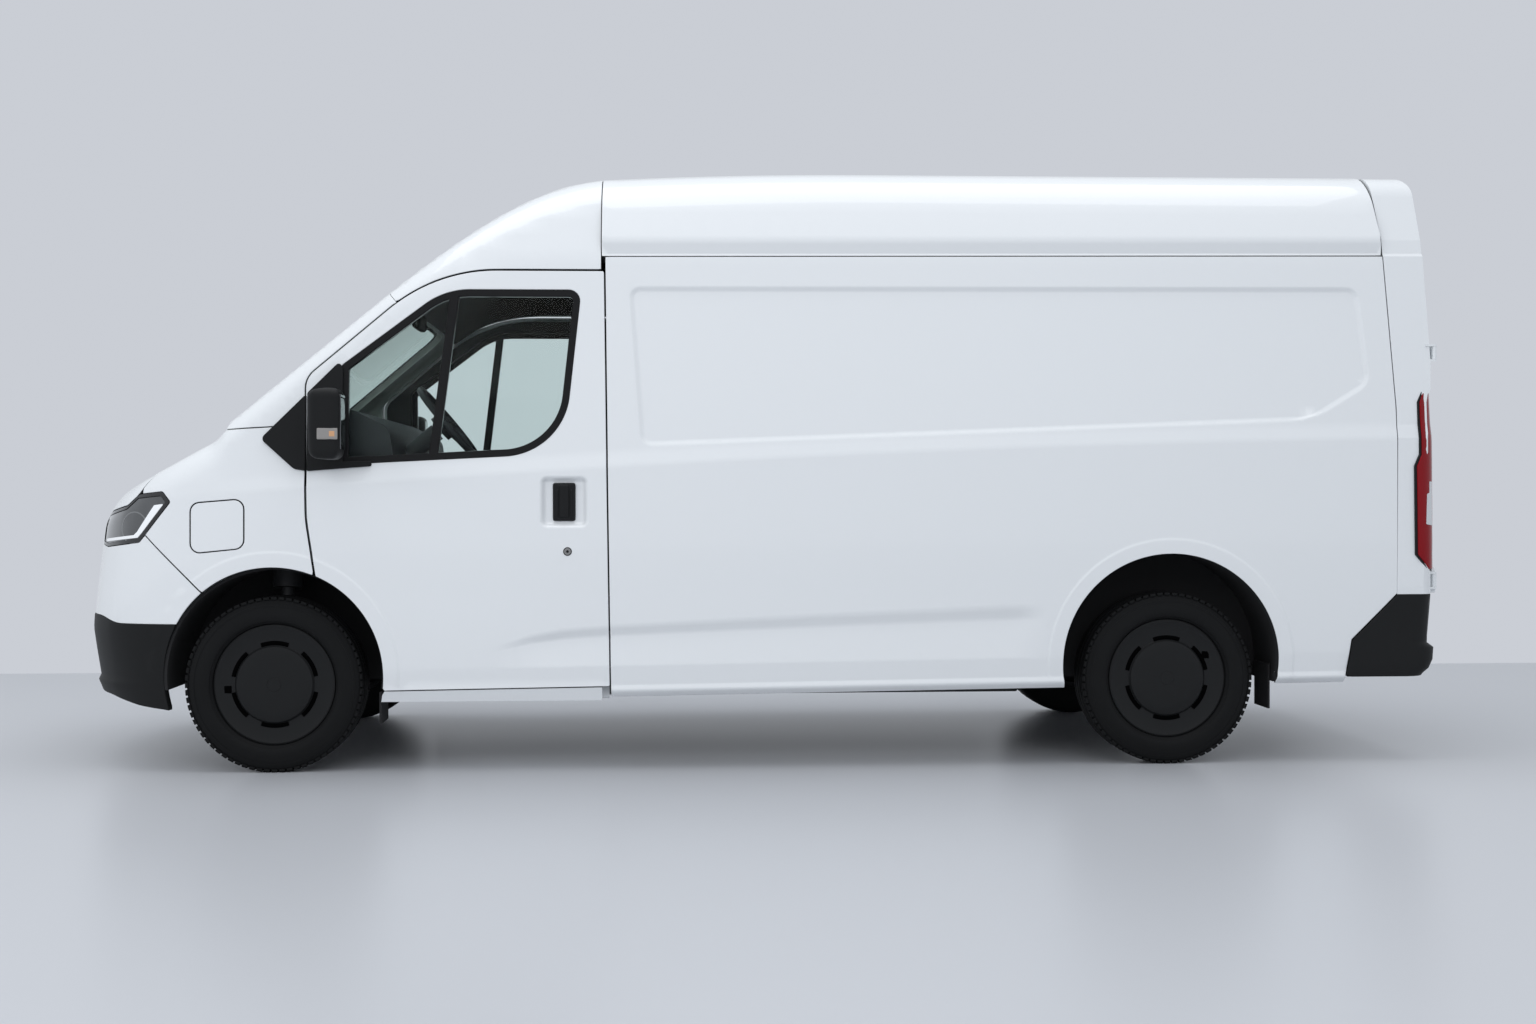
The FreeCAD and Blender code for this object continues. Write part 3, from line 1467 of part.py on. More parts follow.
def main():
    sliding_door, right_panel = sliding_door_parts()
    save("side_panel_left", side_panel_left())
    save("side_panel_right", right_panel)
    save("sliding_door", sliding_door)
    save("roof_panel", roof_panel())
    save("rear_frame", rear_frame())
    save("tail_lamps", both_sides(tail_lamp()))
    save("rear_bumper", rear_bumper())
    save_both("rear_door", rear_door_left())
    save("roof_front", roof_front())
    save("windscreen_frame", windscreen_frame())
    save("windscreen", windscreen())
    save("scuttle", scuttle())
    save("bonnet", bonnet())
    save("headlamps", both_sides(headlamp()))
    save("charge_flap", charge_flap())
    save("wings", wings())
    save("nose_panel", nose_panel())
    save("front_bumper", front_bumper())
    save_both("door_panel", door_panel_left())
    save_both("window_frame", window_frame_left())
    save_both("door_glass", door_glass_left())
    save_both("mirror", mirror_left())
    save("mirror_feet", both_sides(mirror_foot_left()))
    save("sills", both_sides(sill_left()))
    save("floor", floor())
    save("arch_liners", arch_liners())
    save("chassis_rails", chassis_rails())
    save("bulkhead", bulkhead())
    save("battery_pack", battery_pack())
    save("drive_unit", drive_unit())
    save("front_suspension", front_suspension())
    save_both("knuckle", knuckle_left())
    save("rear_axle", rear_axle())
    save("dashboard", dashboard())
    save("steering_wheel", steering_wheel())
    save("seats", seats())
    save("seat_bases", seat_bases())
    save_both("front_wheel", wheel(front_axle_x))
    save_both("rear_wheel", wheel(rear_axle_x))
    save_both("front_tyre", tyre(front_axle_x))
    save_both("rear_tyre", tyre(rear_axle_x))


main()
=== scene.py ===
"""Looks of an electric panel van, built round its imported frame."""
import logging
import math
from collections.abc import Callable
from dataclasses import dataclass, field
from enum import Enum

import bmesh
import bpy
import numpy as np
from mathutils import Euler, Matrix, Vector, kdtree
from mathutils.geometry import delaunay_2d_cdt


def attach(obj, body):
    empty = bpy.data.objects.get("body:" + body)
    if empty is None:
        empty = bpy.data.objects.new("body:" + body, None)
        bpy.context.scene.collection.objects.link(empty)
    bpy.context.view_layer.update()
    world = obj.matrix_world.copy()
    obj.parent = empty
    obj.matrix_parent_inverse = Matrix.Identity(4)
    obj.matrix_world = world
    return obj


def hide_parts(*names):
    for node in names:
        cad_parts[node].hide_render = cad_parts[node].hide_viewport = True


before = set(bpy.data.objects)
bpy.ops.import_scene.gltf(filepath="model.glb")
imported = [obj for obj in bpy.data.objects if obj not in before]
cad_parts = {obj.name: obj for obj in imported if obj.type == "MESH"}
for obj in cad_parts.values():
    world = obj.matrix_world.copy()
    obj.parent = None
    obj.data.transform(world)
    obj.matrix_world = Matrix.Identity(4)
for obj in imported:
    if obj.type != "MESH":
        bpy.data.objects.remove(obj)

log = logging.getLogger("van")
Array = np.ndarray

FRONT_AXLE_X = -1.905
REAR_AXLE_X = 1.695
WHEEL_RADIUS = 0.350
TRACK = 1.735
TYRE_WIDTH = 0.225
WHEEL_PLANE_Y = (TRACK + TYRE_WIDTH) / 2
CAB_END_X = -0.604
REAR_SEAM_X = 2.601
SHUT_GAP = 0.005
HALF_SEAM = 0.0025
DOOR_GAP = 0.0055
ROOF_GAP = 0.0015
SHARED: dict[str, bpy.types.NodeTree] = {}


# Named options and finishes

class Grain(Enum):
    """Fine surface relief of a finish."""

    NONE = "none"
    PEEL = "Paint Peel"
    MOULDED = "Moulded Grain"
    RUBBER = "Rubber Grain"
    WOVEN = "Woven Cloth"

class Slot(Enum):
    """Finish slots named for each piece; nothing in the script acts on them."""

    WHITE_PAINT = "white_paint"
    BLACK_PLASTIC = "black_plastic"
    WINDOW_GLASS = "window_glass"
    LAMP_CLEAR = "lamp_clear"
    LAMP_RED = "lamp_red"
    SEAT_CLOTH = "seat_cloth"
    CHASSIS_BLACK = "chassis_black"
    COVER_PLASTIC = "cover_plastic"
    TYRE_RUBBER = "tyre_rubber"


class Side(Enum):
    """A side of the van, by the sign of y."""

    LEFT = -1.0
    RIGHT = 1.0

    @property
    def word(self) -> str:
        """The side as the names of pieces and bodies say it."""
        return self.name.lower()

    def first(self, *nodes: str) -> tuple[str, ...]:
        """The nodes that the left piece stands for, where one node holds both sides."""
        return nodes if self is Side.LEFT else ()
class Nodes:
    """Small helper round one node tree."""

    def __init__(self, tree: bpy.types.NodeTree) -> None:
        """Keeps the tree."""
        self.tree = tree

    def add(self, kind: str, **values: object) -> bpy.types.Node:
        """Adds a node and sets its properties or, by name, its input values.

        Args:
            kind: Blender's node type name.
            values: property or input names with their values.

        Returns:
            The new node.
        """
        node = self.tree.nodes.new(kind)
        for name, value in values.items():
            if hasattr(node, name):
                setattr(node, name, value)
            else:
                node.inputs[name.replace("_", " ")].default_value = value
        return node

    def link(self, *links: tuple) -> None:
        """Joins sockets, each link given as node, output, node and input."""
        for source, out, target, into in links:
            self.tree.links.new(source.outputs[out], target.inputs[into])


def grain_group(grain: Grain) -> bpy.types.NodeTree:
    """The shared node group of one grain, with a Normal output.

    Args:
        grain: which relief.

    Returns:
        A node group with inputs Scale, Strength and Distance.
    """
    if grain.value in SHARED:
        return SHARED[grain.value]
    group = bpy.data.node_groups.new(grain.value, "ShaderNodeTree")
    face = group.interface
    for name, value in (("Scale", 400.0), ("Strength", 0.3), ("Distance", 0.0003)):
        socket = face.new_socket(name=name, in_out="INPUT", socket_type="NodeSocketFloat")
        socket.default_value = value
    face.new_socket(name="Normal", in_out="OUTPUT", socket_type="NodeSocketVector")
    nodes = Nodes(group)
    start = nodes.add("NodeGroupInput")
    end = nodes.add("NodeGroupOutput")
    place = nodes.add("ShaderNodeTexCoord")
    if grain is Grain.WOVEN:
        texture = nodes.add("ShaderNodeTexWave", wave_type="BANDS", Distortion=0.6, Detail=1.0)
        height = "Fac"
    elif grain is Grain.MOULDED:
        texture = nodes.add("ShaderNodeTexVoronoi", feature="SMOOTH_F1", Smoothness=0.6)
        height = "Distance"
    else:
        texture = nodes.add("ShaderNodeTexNoise", Detail=1.5, Roughness=0.5)
        height = "Fac"
    bump = nodes.add("ShaderNodeBump")
    nodes.link((place, "Object", texture, "Vector"), (start, "Scale", texture, "Scale"),
               (texture, height, bump, "Height"), (start, "Strength", bump, "Strength"),
               (start, "Distance", bump, "Distance"), (bump, "Normal", end, "Normal"))
    SHARED[grain.value] = group
    return group


@dataclass(frozen=True)
class Finish:
    """One painted, moulded, rubber, cloth, lamp or glass surface."""

    name: str
    colour: tuple[float, float, float]
    roughness: float = 0.4
    metallic: float = 0.0
    coat: float = 0.0
    coat_roughness: float = 0.03
    transmission: float = 0.0
    ior: float = 1.45
    glow: float = 0.0
    grain: Grain = Grain.NONE
    grain_scale: float = 400.0
    grain_strength: float = 0.2
    grain_distance: float = 0.0003
    shade: float = 0.0
    shade_scale: float = 3.0

    def material(self) -> bpy.types.Material:
        """Builds the material once and returns it.

        Returns:
            The material.
        """
        made = bpy.data.materials.get(self.name)
        if made is not None:
            return made
        made = bpy.data.materials.new(self.name)
        made.use_nodes = True
        colour = (*self.colour, 1.0)
        made.diffuse_color = colour
        nodes = Nodes(made.node_tree)
        shader = made.node_tree.nodes["Principled BSDF"]
        values = {"Base Color": colour, "Roughness": self.roughness, "Metallic": self.metallic,
                  "IOR": self.ior, "Coat Weight": self.coat, "Coat Roughness": self.coat_roughness,
                  "Transmission Weight": self.transmission}
        if self.glow > 0:
            values |= {"Emission Color": colour, "Emission Strength": self.glow}
        for name, value in values.items():
            shader.inputs[name].default_value = value
        if self.shade > 0:
            self.add_shade(nodes, shader)
        if self.grain is not Grain.NONE:
            group = nodes.add("ShaderNodeGroup", node_tree=grain_group(self.grain))
            for name, value in (("Scale", self.grain_scale), ("Strength", self.grain_strength),
                                ("Distance", self.grain_distance)):
                group.inputs[name].default_value = value
            nodes.link((group, "Normal", shader, "Normal"))
        return made

    def add_shade(self, nodes: Nodes, shader: bpy.types.Node) -> None:
        """Lets the colour drift a little over the surface, as on a real moulding.

        Args:
            nodes: helper round the material's tree.
            shader: its main shader.
        """
        place = nodes.add("ShaderNodeTexCoord")
        noise = nodes.add("ShaderNodeTexNoise", Scale=self.shade_scale, Detail=4.0)
        mix = nodes.add("ShaderNodeMix", data_type="RGBA")
        mix.inputs["A"].default_value = (*[c * (1 - self.shade) for c in self.colour], 1.0)
        mix.inputs["B"].default_value = (*[min(1.0, c * (1 + self.shade)) for c in self.colour], 1.0)
        nodes.link((place, "Object", noise, "Vector"), (noise, "Fac", mix, "Factor"),
                   (mix, "Result", shader, "Base Color"))


PAINT = Finish("White paint", (0.79, 0.815, 0.835), roughness=0.32, coat=1.0, grain=Grain.PEEL,
               grain_scale=260.0, grain_strength=0.03, grain_distance=0.0002)
INNER_PAINT = Finish("Inner paint", (0.62, 0.64, 0.66), roughness=0.5)
# Painted shade: dark colour on the side walls of painted panels, so that the gaps between them read dark; the
# real shut faces are body colour.
SHUT_LINE_SHADE = Finish("Shut line shade", (0.03, 0.031, 0.033), roughness=0.8, ior=1.3)
BLACK_PLASTIC = Finish("Black textured plastic", (0.0085, 0.009, 0.0095), roughness=0.55, ior=1.32,
                       grain=Grain.MOULDED, grain_scale=700.0, grain_strength=0.35, shade=0.12)
SATIN_BLACK = Finish("Satin black cover", (0.0075, 0.008, 0.0085), roughness=0.42, ior=1.33, grain=Grain.PEEL,
                     grain_scale=300.0, grain_strength=0.08)
GLOSS_BLACK = Finish("Gloss black", (0.012, 0.012, 0.013), roughness=0.12, coat=0.5)
SEAL = Finish("Rubber seal", (0.006, 0.006, 0.0065), roughness=0.45, ior=1.33)
RUBBER = Finish("Tyre rubber", (0.0065, 0.0068, 0.0072), roughness=0.70, ior=1.28, grain=Grain.RUBBER,
                grain_scale=500.0, grain_strength=0.25, shade=0.15, shade_scale=9.0)
LINER = Finish("Liner felt", (0.018, 0.018, 0.019), roughness=0.9, grain=Grain.RUBBER, grain_scale=900.0)
CHASSIS = Finish("Chassis black", (0.03, 0.031, 0.033), roughness=0.45)
CAST = Finish("Cast metal", (0.42, 0.43, 0.45), roughness=0.45, metallic=0.8, grain=Grain.RUBBER,
              grain_scale=300.0)
FLOOR_PAINT = Finish("Floor grey", (0.33, 0.34, 0.355), roughness=0.5)
DASH = Finish("Cabin plastic", (0.045, 0.047, 0.052), roughness=0.6, grain=Grain.MOULDED, grain_scale=900.0)
CLOTH = Finish("Cushion cloth", (0.055, 0.06, 0.068), roughness=0.85, grain=Grain.WOVEN, grain_scale=300.0,
               grain_strength=0.4)
SCREEN_GLASS = Finish("Screen glass", (0.80, 0.92, 0.87), roughness=0.0, transmission=1.0, ior=1.22)
DOOR_GLASS = Finish("Door glass", (0.88, 0.955, 0.93), roughness=0.0, transmission=1.0, ior=1.15)
# Painted shade: near-black pieces that stand in for the shade inside the wheel cover's slots and its valve
# hole.
HOLE_SHADE = Finish("Deep shade", (0.0015, 0.0015, 0.0016), roughness=1.0, ior=1.05)
CABIN_TRIM = Finish("Cabin trim", (0.022, 0.024, 0.025), roughness=0.7, ior=1.35)
HEADLINER = Finish("Headliner", (0.010, 0.012, 0.012), roughness=0.9, ior=1.3)
# Light grey trim inside the pillars, kept light to make up for the little light that reaches the cab: part
# trim colour, part painted light.
PILLAR_TRIM = Finish("Pillar trim", (0.42, 0.45, 0.43), roughness=0.7, ior=1.35)
LAMP_RED = Finish("Red lens", (0.24, 0.004, 0.008), roughness=0.16, ior=1.3)
LAMP_CLEAR = Finish("Clear lens", (0.62, 0.64, 0.66), roughness=0.12, coat=0.6)
LAMP_WHITE = Finish("Light guide", (0.85, 0.87, 0.89), roughness=0.18, coat=0.5, glow=0.12)
LAMP_SMOKE = Finish("Smoked lens", (0.060, 0.063, 0.066), roughness=0.10, coat=1.0, shade=0.35,
                    shade_scale=9.0)
LAMP_BOWL = Finish("Lamp bowl edge", (0.16, 0.165, 0.17), roughness=0.2, coat=0.5)
REPEATER = Finish("Repeater lens", (0.26, 0.25, 0.24), roughness=0.15, coat=0.5)
AMBER = Finish("Amber lens", (0.60, 0.33, 0.17), roughness=0.15, coat=0.5)
KEY_METAL = Finish("Key metal", (0.22, 0.22, 0.22), roughness=0.35)
# Painted shade: the mirror glass dimmed far below a real mirror, standing in for the dark things it reflects.
MIRROR_GLASS = Finish("Mirror glass", (0.16, 0.165, 0.17), roughness=0.02, metallic=1.0)
PLATE = Finish("Blank plate", (0.75, 0.76, 0.76), roughness=0.35)


# Body lines

def bent(t: Array, knots: list, values: list, radii: list) -> Array:
    """A profile of straight runs through its knots, rounded at every inner knot.

    Args:
        t: where to evaluate.
        knots: positions of the bends, ascending; each a number or an array like t.
        values: the profile's value at each knot.
        radii: half length of the rounding at each inner knot.

    Returns:
        The profile's values.
    """
    slopes = [(values[i + 1] - values[i]) / (knots[i + 1] - knots[i]) for i in range(len(knots) - 1)]
    result = values[0] + slopes[0] * (t - knots[0])
    for i in range(1, len(slopes)):
        r = radii[i - 1]
        away = t - knots[i]
        rise = np.where(away > r, away, np.where(away < -r, 0.0, (away + r) ** 2 / (4 * r)))
        result = result + (slopes[i] - slopes[i - 1]) * rise
    return result


def smooth(t: Array) -> Array:
    """Smooth step from 0 to 1."""
    t = np.clip(t, 0.0, 1.0)
    return t * t * (3 - 2 * t)


def meet(a: Array, b: Array, r: float) -> Array:
    """Distance to the body inside both a and b, their shared edge rounded by r."""
    return np.minimum(-r, np.maximum(a, b)) + np.hypot(np.maximum(r + a, 0), np.maximum(r + b, 0))


@dataclass(frozen=True)
class Lines:
    """Long lines of the body, in metres; x runs to the tail, z up."""

    half_width: float = 1.012
    sill_steps: tuple = (0.298, 0.325, 0.347)
    sill_crease: float = 0.426
    bulge_z: float = 0.720
    pinch_x: float = -1.750
    pinch: float = 0.089
    belt_step: float = 0.055
    roof_split_z: float = 2.395
    screen_top: tuple[float, float] = (-1.454, 1.912)
    screen_foot: tuple[float, float] = (-2.105, 1.366)
    front_arch: tuple[float, float, float] = (-1.905, 0.384, 0.435)
    rear_arch: tuple[float, float, float] = (1.702, 0.415, 0.444)
    flare_width: float = 0.062
    flare_rise: float = 0.003
    scoop_depth: float = 0.016
    recess_depth: float = 0.009
    recess_bevel: float = 0.025
    recess_round: float = 0.05
    handle: tuple[float, float] = (-0.7525, 1.0745)
    cup_size: tuple[float, float] = (0.194, 0.208)
    cup_depth: float = 0.020
    swage: tuple = ((-1.036, 0.499), (-0.889, 0.545), (-0.758, 0.568), (-0.571, 0.583), (0.351, 0.627),
                    (1.122, 0.657), (1.30, 0.662))
    recess: tuple = ((-0.499, 1.944), (2.496, 1.952), (2.538, 1.547), (2.287, 1.395), (-0.450, 1.293))
    bonnet: tuple = ((-2.90, 0.76), (-2.72, 0.990), (-2.62, 1.058), (-2.541, 1.098), (-2.455, 1.143),
                     (-2.325, 1.2145), (-2.207, 1.2785), (-2.09, 1.3385), (-1.95, 1.416))

    def width(self, x: Array) -> Array:
        """Half width at the widest level."""
        return self.half_width - self.pinch * np.maximum(0, self.pinch_x - x) ** 2

    def belt(self, x: Array) -> Array:
        """Height of the belt crease."""
        return 1.2475 + 0.0498 * x - 0.00719 * x * x

    def gutter(self, x: Array) -> Array:
        """Height of the roof gutter."""
        return 2.064 + 0.0054 * x

    def sill(self, z: float, x: Array) -> Array:
        """Height of a sill line, which rises to the tail."""
        return z + 0.0122 * x

    def swage_z(self, x: Array) -> Array:
        """Height of the swage above the scoop."""
        return np.interp(x, [p[0] for p in self.swage], [p[1] for p in self.swage])

    def screen_z(self, x: Array) -> Array:
        """Height of the windscreen's plane at the pillar."""
        return self.screen_foot[1] + self.screen_slope() * (x - self.screen_foot[0])

    def screen_slope(self) -> float:
        """Rise of the windscreen per metre."""
        return (self.screen_top[1] - self.screen_foot[1]) / (self.screen_top[0] - self.screen_foot[0])

    def roof_z(self, x: Array) -> Array:
        """Height of the roof's corner line, from the windscreen to the tail.

        Args:
            x: places along the van.

        Returns:
            The line's heights.
        """
        x0, z0 = self.screen_top
        run = CAB_END_X - x0
        t = np.clip((x - x0) / run, 0, 1)
        bend = (2 * t ** 3 - 3 * t ** 2 + 1) * z0 + (t ** 3 - 2 * t ** 2 + t) * run * self.screen_slope()
        bend = bend + (3 * t ** 2 - 2 * t ** 3) * self.roof_split_z + (t ** 3 - t ** 2) * run * 0.1
        along = np.clip((x - CAB_END_X) / 1.1, 0, 1)
        level = self.roof_split_z + 0.030 * (2 * along - along * along)
        return np.where(x <= x0, self.screen_z(x), np.where(t < 1, bend, level))

    def bonnet_z(self, x: Array) -> Array:
        """Height of the wing top along the bonnet."""
        return bent(x, [p[0] for p in self.bonnet], [p[1] for p in self.bonnet], [0.04] * 7)

    def relief(self, x: Array, z: Array) -> Array:
        """How far the side stands out from its plain section: flares out, scoop and recess in."""
        return self.flares(x, z) - self.scoop(x, z) - self.panel_recess(x, z)

    def flares(self, x: Array, z: Array) -> Array:
        """Raised band round each wheel arch, fading out below.

        Args:
            x: places along the van.
            z: heights.

        Returns:
            How far the bands stand out.
        """
        total = np.zeros_like(x)
        for cx, cz, radius in (self.front_arch, self.rear_arch):
            away = np.hypot(x - cx, z - cz) - radius
            fall = 1 - smooth((away - self.flare_width + 0.006) / 0.012)
            total = np.maximum(total, self.flare_rise * fall * smooth((z - 0.28) / 0.12))
        return total

    def scoop(self, x: Array, z: Array) -> Array:
        """Hollow under the swage, running back out to the sill crease.

        Args:
            x: places along the van.
            z: heights.

        Returns:
            The hollow's depths.
        """
        top = self.swage_z(x)
        low = self.sill(self.sill_crease, x)
        t = np.clip((top - z) / (top - low), 0, 1)
        shape = np.minimum(smooth(t / 0.30), (1 - t) / 0.70)
        ends = smooth((x + 1.06) / 0.30) * (1 - smooth((x - 1.05) / 0.16))
        return self.scoop_depth * shape * ends

    def panel_recess(self, x: Array, z: Array) -> Array:
        """Pressed-in field above the belt.

        Args:
            x: places along the van.
            z: heights.

        Returns:
            The field's depths.
        """
        total = np.zeros_like(x)
        count = len(self.recess)
        for i in range(count):
            (x0, z0), (x1, z1) = self.recess[i], self.recess[(i + 1) % count]
            length = math.hypot(x1 - x0, z1 - z0)
            edge = -((x1 - x0) * (z - z0) - (z1 - z0) * (x - x0)) / length
            total = total + np.maximum(self.recess_round - edge, 0) ** 2
        return self.recess_depth * smooth((self.recess_round - np.sqrt(total)) / self.recess_bevel)

    def lower_knots(self, x: Array) -> tuple[list, list, list]:
        """Knots, insets and roundings of the side up to just over the belt.

        Args:
            x: places along the van.

        Returns:
            Knots, insets and roundings for bent.
        """
        belt = self.belt(x)
        knots = [self.sill(level, x) for level in (*self.sill_steps, self.sill_crease)]
        knots += [self.bulge_z + 0 * x, belt, belt + self.belt_step]
        insets = [0.044, 0.014, 0.022, 0.012, 0.0, 0.007, self.band(x)]
        return knots, insets, [0.010, 0.003, 0.010, 0.24, 0.012, 0.016]

    def band(self, x: Array) -> Array:
        """Inset over the belt, where its band fades out towards the nose."""
        return 0.0115 + 0.0085 * smooth((x + 2.25) / 0.60)

    def load_side(self, x: Array, z: Array) -> Array:
        """Half width of the load space at a height.

        Args:
            x: places along the van.
            z: heights.

        Returns:
            Half widths.
        """
        knots, insets, radii = self.lower_knots(x)
        gutter = self.gutter(x)
        knots = knots + [gutter, gutter + 0.012, gutter + 0.068, self.roof_z(x)]
        insets = insets + [0.074, 0.083, 0.071, 0.172]
        return self.width(x) - bent(z, knots, insets, radii + [0.003, 0.004, 0.020]) + self.relief(x, z)

    def cab_side(self, x: Array, z: Array) -> Array:
        """Half width of the cab at a height.

        Args:
            x: places along the van.
            z: heights.

        Returns:
            Half widths.
        """
        knots, insets, radii = self.lower_knots(x)
        low = self.belt(x) + self.belt_step
        top = self.roof_z(x)
        share = np.clip((x - self.screen_top[0]) / (CAB_END_X - self.screen_top[0]), 0, 1)
        knee = np.maximum(top - 0.09 - share * 0.244, low + 0.03)
        slope = 0.054 / (self.gutter(x) - low)
        knee_in = self.band(x) + slope * (knee - low)
        corner_in = self.band(x) + slope * (top - low)
        corner_in = corner_in + share * (0.172 - corner_in)
        knots = knots + [knee, np.maximum(top, knee + 0.05)]
        insets = insets + [knee_in, corner_in]
        side = self.width(x) - bent(z, knots, insets, radii + [0.03]) + self.relief(x, z)
        return side - self.cup(x, z)

    def cup(self, x: Array, z: Array) -> Array:
        """Dished field behind the door handle.

        Args:
            x: places along the van.
            z: heights.

        Returns:
            The dish's depths.
        """
        (cx, cz), (wide, high) = self.handle, self.cup_size
        round_by = 0.030
        u = np.maximum(np.abs(x - cx) - wide / 2 + round_by, 0)
        v = np.maximum(np.abs(z - cz) - high / 2 + round_by, 0)
        return self.cup_depth * smooth((round_by - np.hypot(u, v)) / 0.026)

    def nose_side(self, x: Array, z: Array) -> Array:
        """Half width of the nose at a height.

        Args:
            x: places along the van.
            z: heights.

        Returns:
            Half widths.
        """
        top = self.bonnet_z(x)
        belt = np.minimum(self.belt(x), top - 0.13)
        bulge = np.minimum(self.bulge_z, belt - 0.04)
        step = self.belt_step
        plain = 0.007 + 0.026 * step / (top - belt)
        band = plain + (self.band(x) - plain) * smooth((x + 2.45) / 0.38)
        knots = [self.sill_crease + 0 * x, bulge, belt, belt + step, top]
        inset = bent(z, knots, [0.012, 0.0, 0.007, band, 0.033], [0.10, 0.012, 0.016])
        return self.width(x) - inset + self.flares(x, z)


LINES = Lines()


class Body:
    """A closed outer surface, given by a signed distance that is negative inside."""

    def distance(self, p: Array) -> Array:
        """Signed distance of each point (rows of x, y, z)."""
        raise NotImplementedError

    def normals(self, p: Array) -> Array:
        """Outward unit normals at points on the surface.

        Args:
            p: points in rows of x, y, z.

        Returns:
            Unit normals in rows.
        """
        step = 0.0006
        grads = []
        for axis in range(3):
            shift = np.zeros(3)
            shift[axis] = step
            grads.append(self.distance(p + shift) - self.distance(p - shift))
        n = np.stack(grads, 1)
        return n / np.maximum(np.linalg.norm(n, axis=1, keepdims=True), 1e-12)

    def reach(self, start: Array, direction: Array, near: float, far: float) -> Array:
        """Where rays from inside meet the surface, by halving the interval.

        Args:
            start: ray starts in rows.
            direction: ray directions, or one for all.
            near: distance along the ray that lies inside.
            far: distance that lies outside.

        Returns:
            Points on the surface.
        """
        low = np.full(len(start), near)
        high = np.full(len(start), far)
        for _ in range(30):
            middle = (low + high) / 2
            inside = self.distance(start + direction * middle[:, None]) < 0
            low = np.where(inside, middle, low)
            high = np.where(inside, high, middle)
        return start + direction * ((low + high) / 2)[:, None]


class LoadBody(Body):
    """Load space, with its roof and the rounded tail."""

    def distance(self, p: Array) -> Array:
        """Signed distance of each point.

        Args:
            p: points in rows of x, y, z.

        Returns:
            Distances, negative inside.
        """
        x, y, z = p.T
        side = np.abs(y) - LINES.load_side(x, z)
        corner_y = LINES.width(x) - 0.172
        top = z - LINES.roof_z(x) - 0.044 * (1 - (y / corner_y) ** 2)
        lean = bent(z, [0.0, 1.5, 2.45], [0.0, 0.0, 0.042], [0.35])
        tail = x - 2.795 + lean
        body = meet(side, top * 0.98, 0.125)
        return meet(body, tail, 0.085)


class CabBody(Body):
    """Cab, with the windscreen's slope."""

    def distance(self, p: Array) -> Array:
        """Signed distance of each point.

        Args:
            p: points in rows of x, y, z.

        Returns:
            Distances, negative inside.
        """
        x, y, z = p.T
        side = np.abs(y) - LINES.cab_side(x, z)
        top_z = LINES.roof_z(x)
        share = np.clip((x - LINES.screen_top[0]) / (CAB_END_X - LINES.screen_top[0]), 0, 1)
        back = np.clip((LINES.screen_top[0] - x) / 0.651, 0, 1)
        crown = np.where(x < LINES.screen_top[0], 0.066 + 0.039 * back, 0.066 - 0.022 * share)
        corner_y = LINES.cab_side(x, top_z)
        step = 0.002
        slope = (LINES.roof_z(x + step) - LINES.roof_z(x - step)) / (2 * step)
        top = (z - top_z - crown * (1 - (y / corner_y) ** 2)) / np.sqrt(1 + slope ** 2)
        radius = 0.070 + 0.055 * smooth(share)
        return meet(side, top, radius)


class NoseBody(Body):
    """Bonnet, wings and the swept nose face."""

    sweep: float = math.radians(15.0)
    arc: float = 1.7
    corner_y: float = 0.905
    tip_x: float = -2.820
    rise: float = 0.62

    def lean(self, z: Array) -> Array:
        """How far the face leans back with height."""
        return bent(z, [0.0, 0.592, 0.965, 1.4], [0.0, 0.0, 0.044, 0.130], [0.12, 0.1])

    def distance(self, p: Array) -> Array:
        """Signed distance of each point.

        Args:
            p: points in rows of x, y, z.

        Returns:
            Distances, negative inside.
        """
        x, y, z = p.T
        y = np.abs(y)
        side = y - LINES.nose_side(x, z)
        corner_x = self.tip_x + self.lean(z) - self.arc * (1 / math.cos(self.sweep) - 1)
        corner_x = corner_x + self.corner_y * math.tan(self.sweep)
        flat = self.arc * math.tan(self.sweep) / 2
        sag = bent(y, [-1.0, flat, 2.0], [0.0, 0.0, math.tan(self.sweep) * (2.0 - flat)], [flat])
        face_x = self.tip_x + self.lean(z) + sag
        front = (face_x - x) * math.cos(self.sweep)
        slant = (1.062 - self.corner_y) / (-2.2 - corner_x)
        chamfer = (y - self.corner_y - slant * (x - corner_x)) / np.sqrt(1 + slant ** 2)
        plan = meet(meet(front, chamfer, 0.26), side, 0.12)
        top_z = LINES.bonnet_z(x)
        half = LINES.width(x) - 0.033
        top = (z - top_z - 0.078 * (1 - (y / half) ** 2)) / math.sqrt(1 + self.rise ** 2)
        return meet(plan, top, 0.085)


LOAD = LoadBody()
CAB = CabBody()
NOSE = NoseBody()


class BumperBody(Body):
    """The nose moved out a little, its face leaning back low down over a small lip."""

    out: float = 0.004

    def distance(self, p: Array) -> Array:
        """Signed distance of each point.

        Args:
            p: points in rows of x, y, z.

        Returns:
            Distances, negative inside.
        """
        x, y, z = p.T
        back = np.interp(z, [0.25, 0.300, 0.346, 0.368, 0.56], [0.060, 0.040, 0.021, 0.031, 0.0])
        share = smooth((-2.36 - x) / 0.22)
        return NOSE.distance(columns(x - back * share, y, z)) - self.out


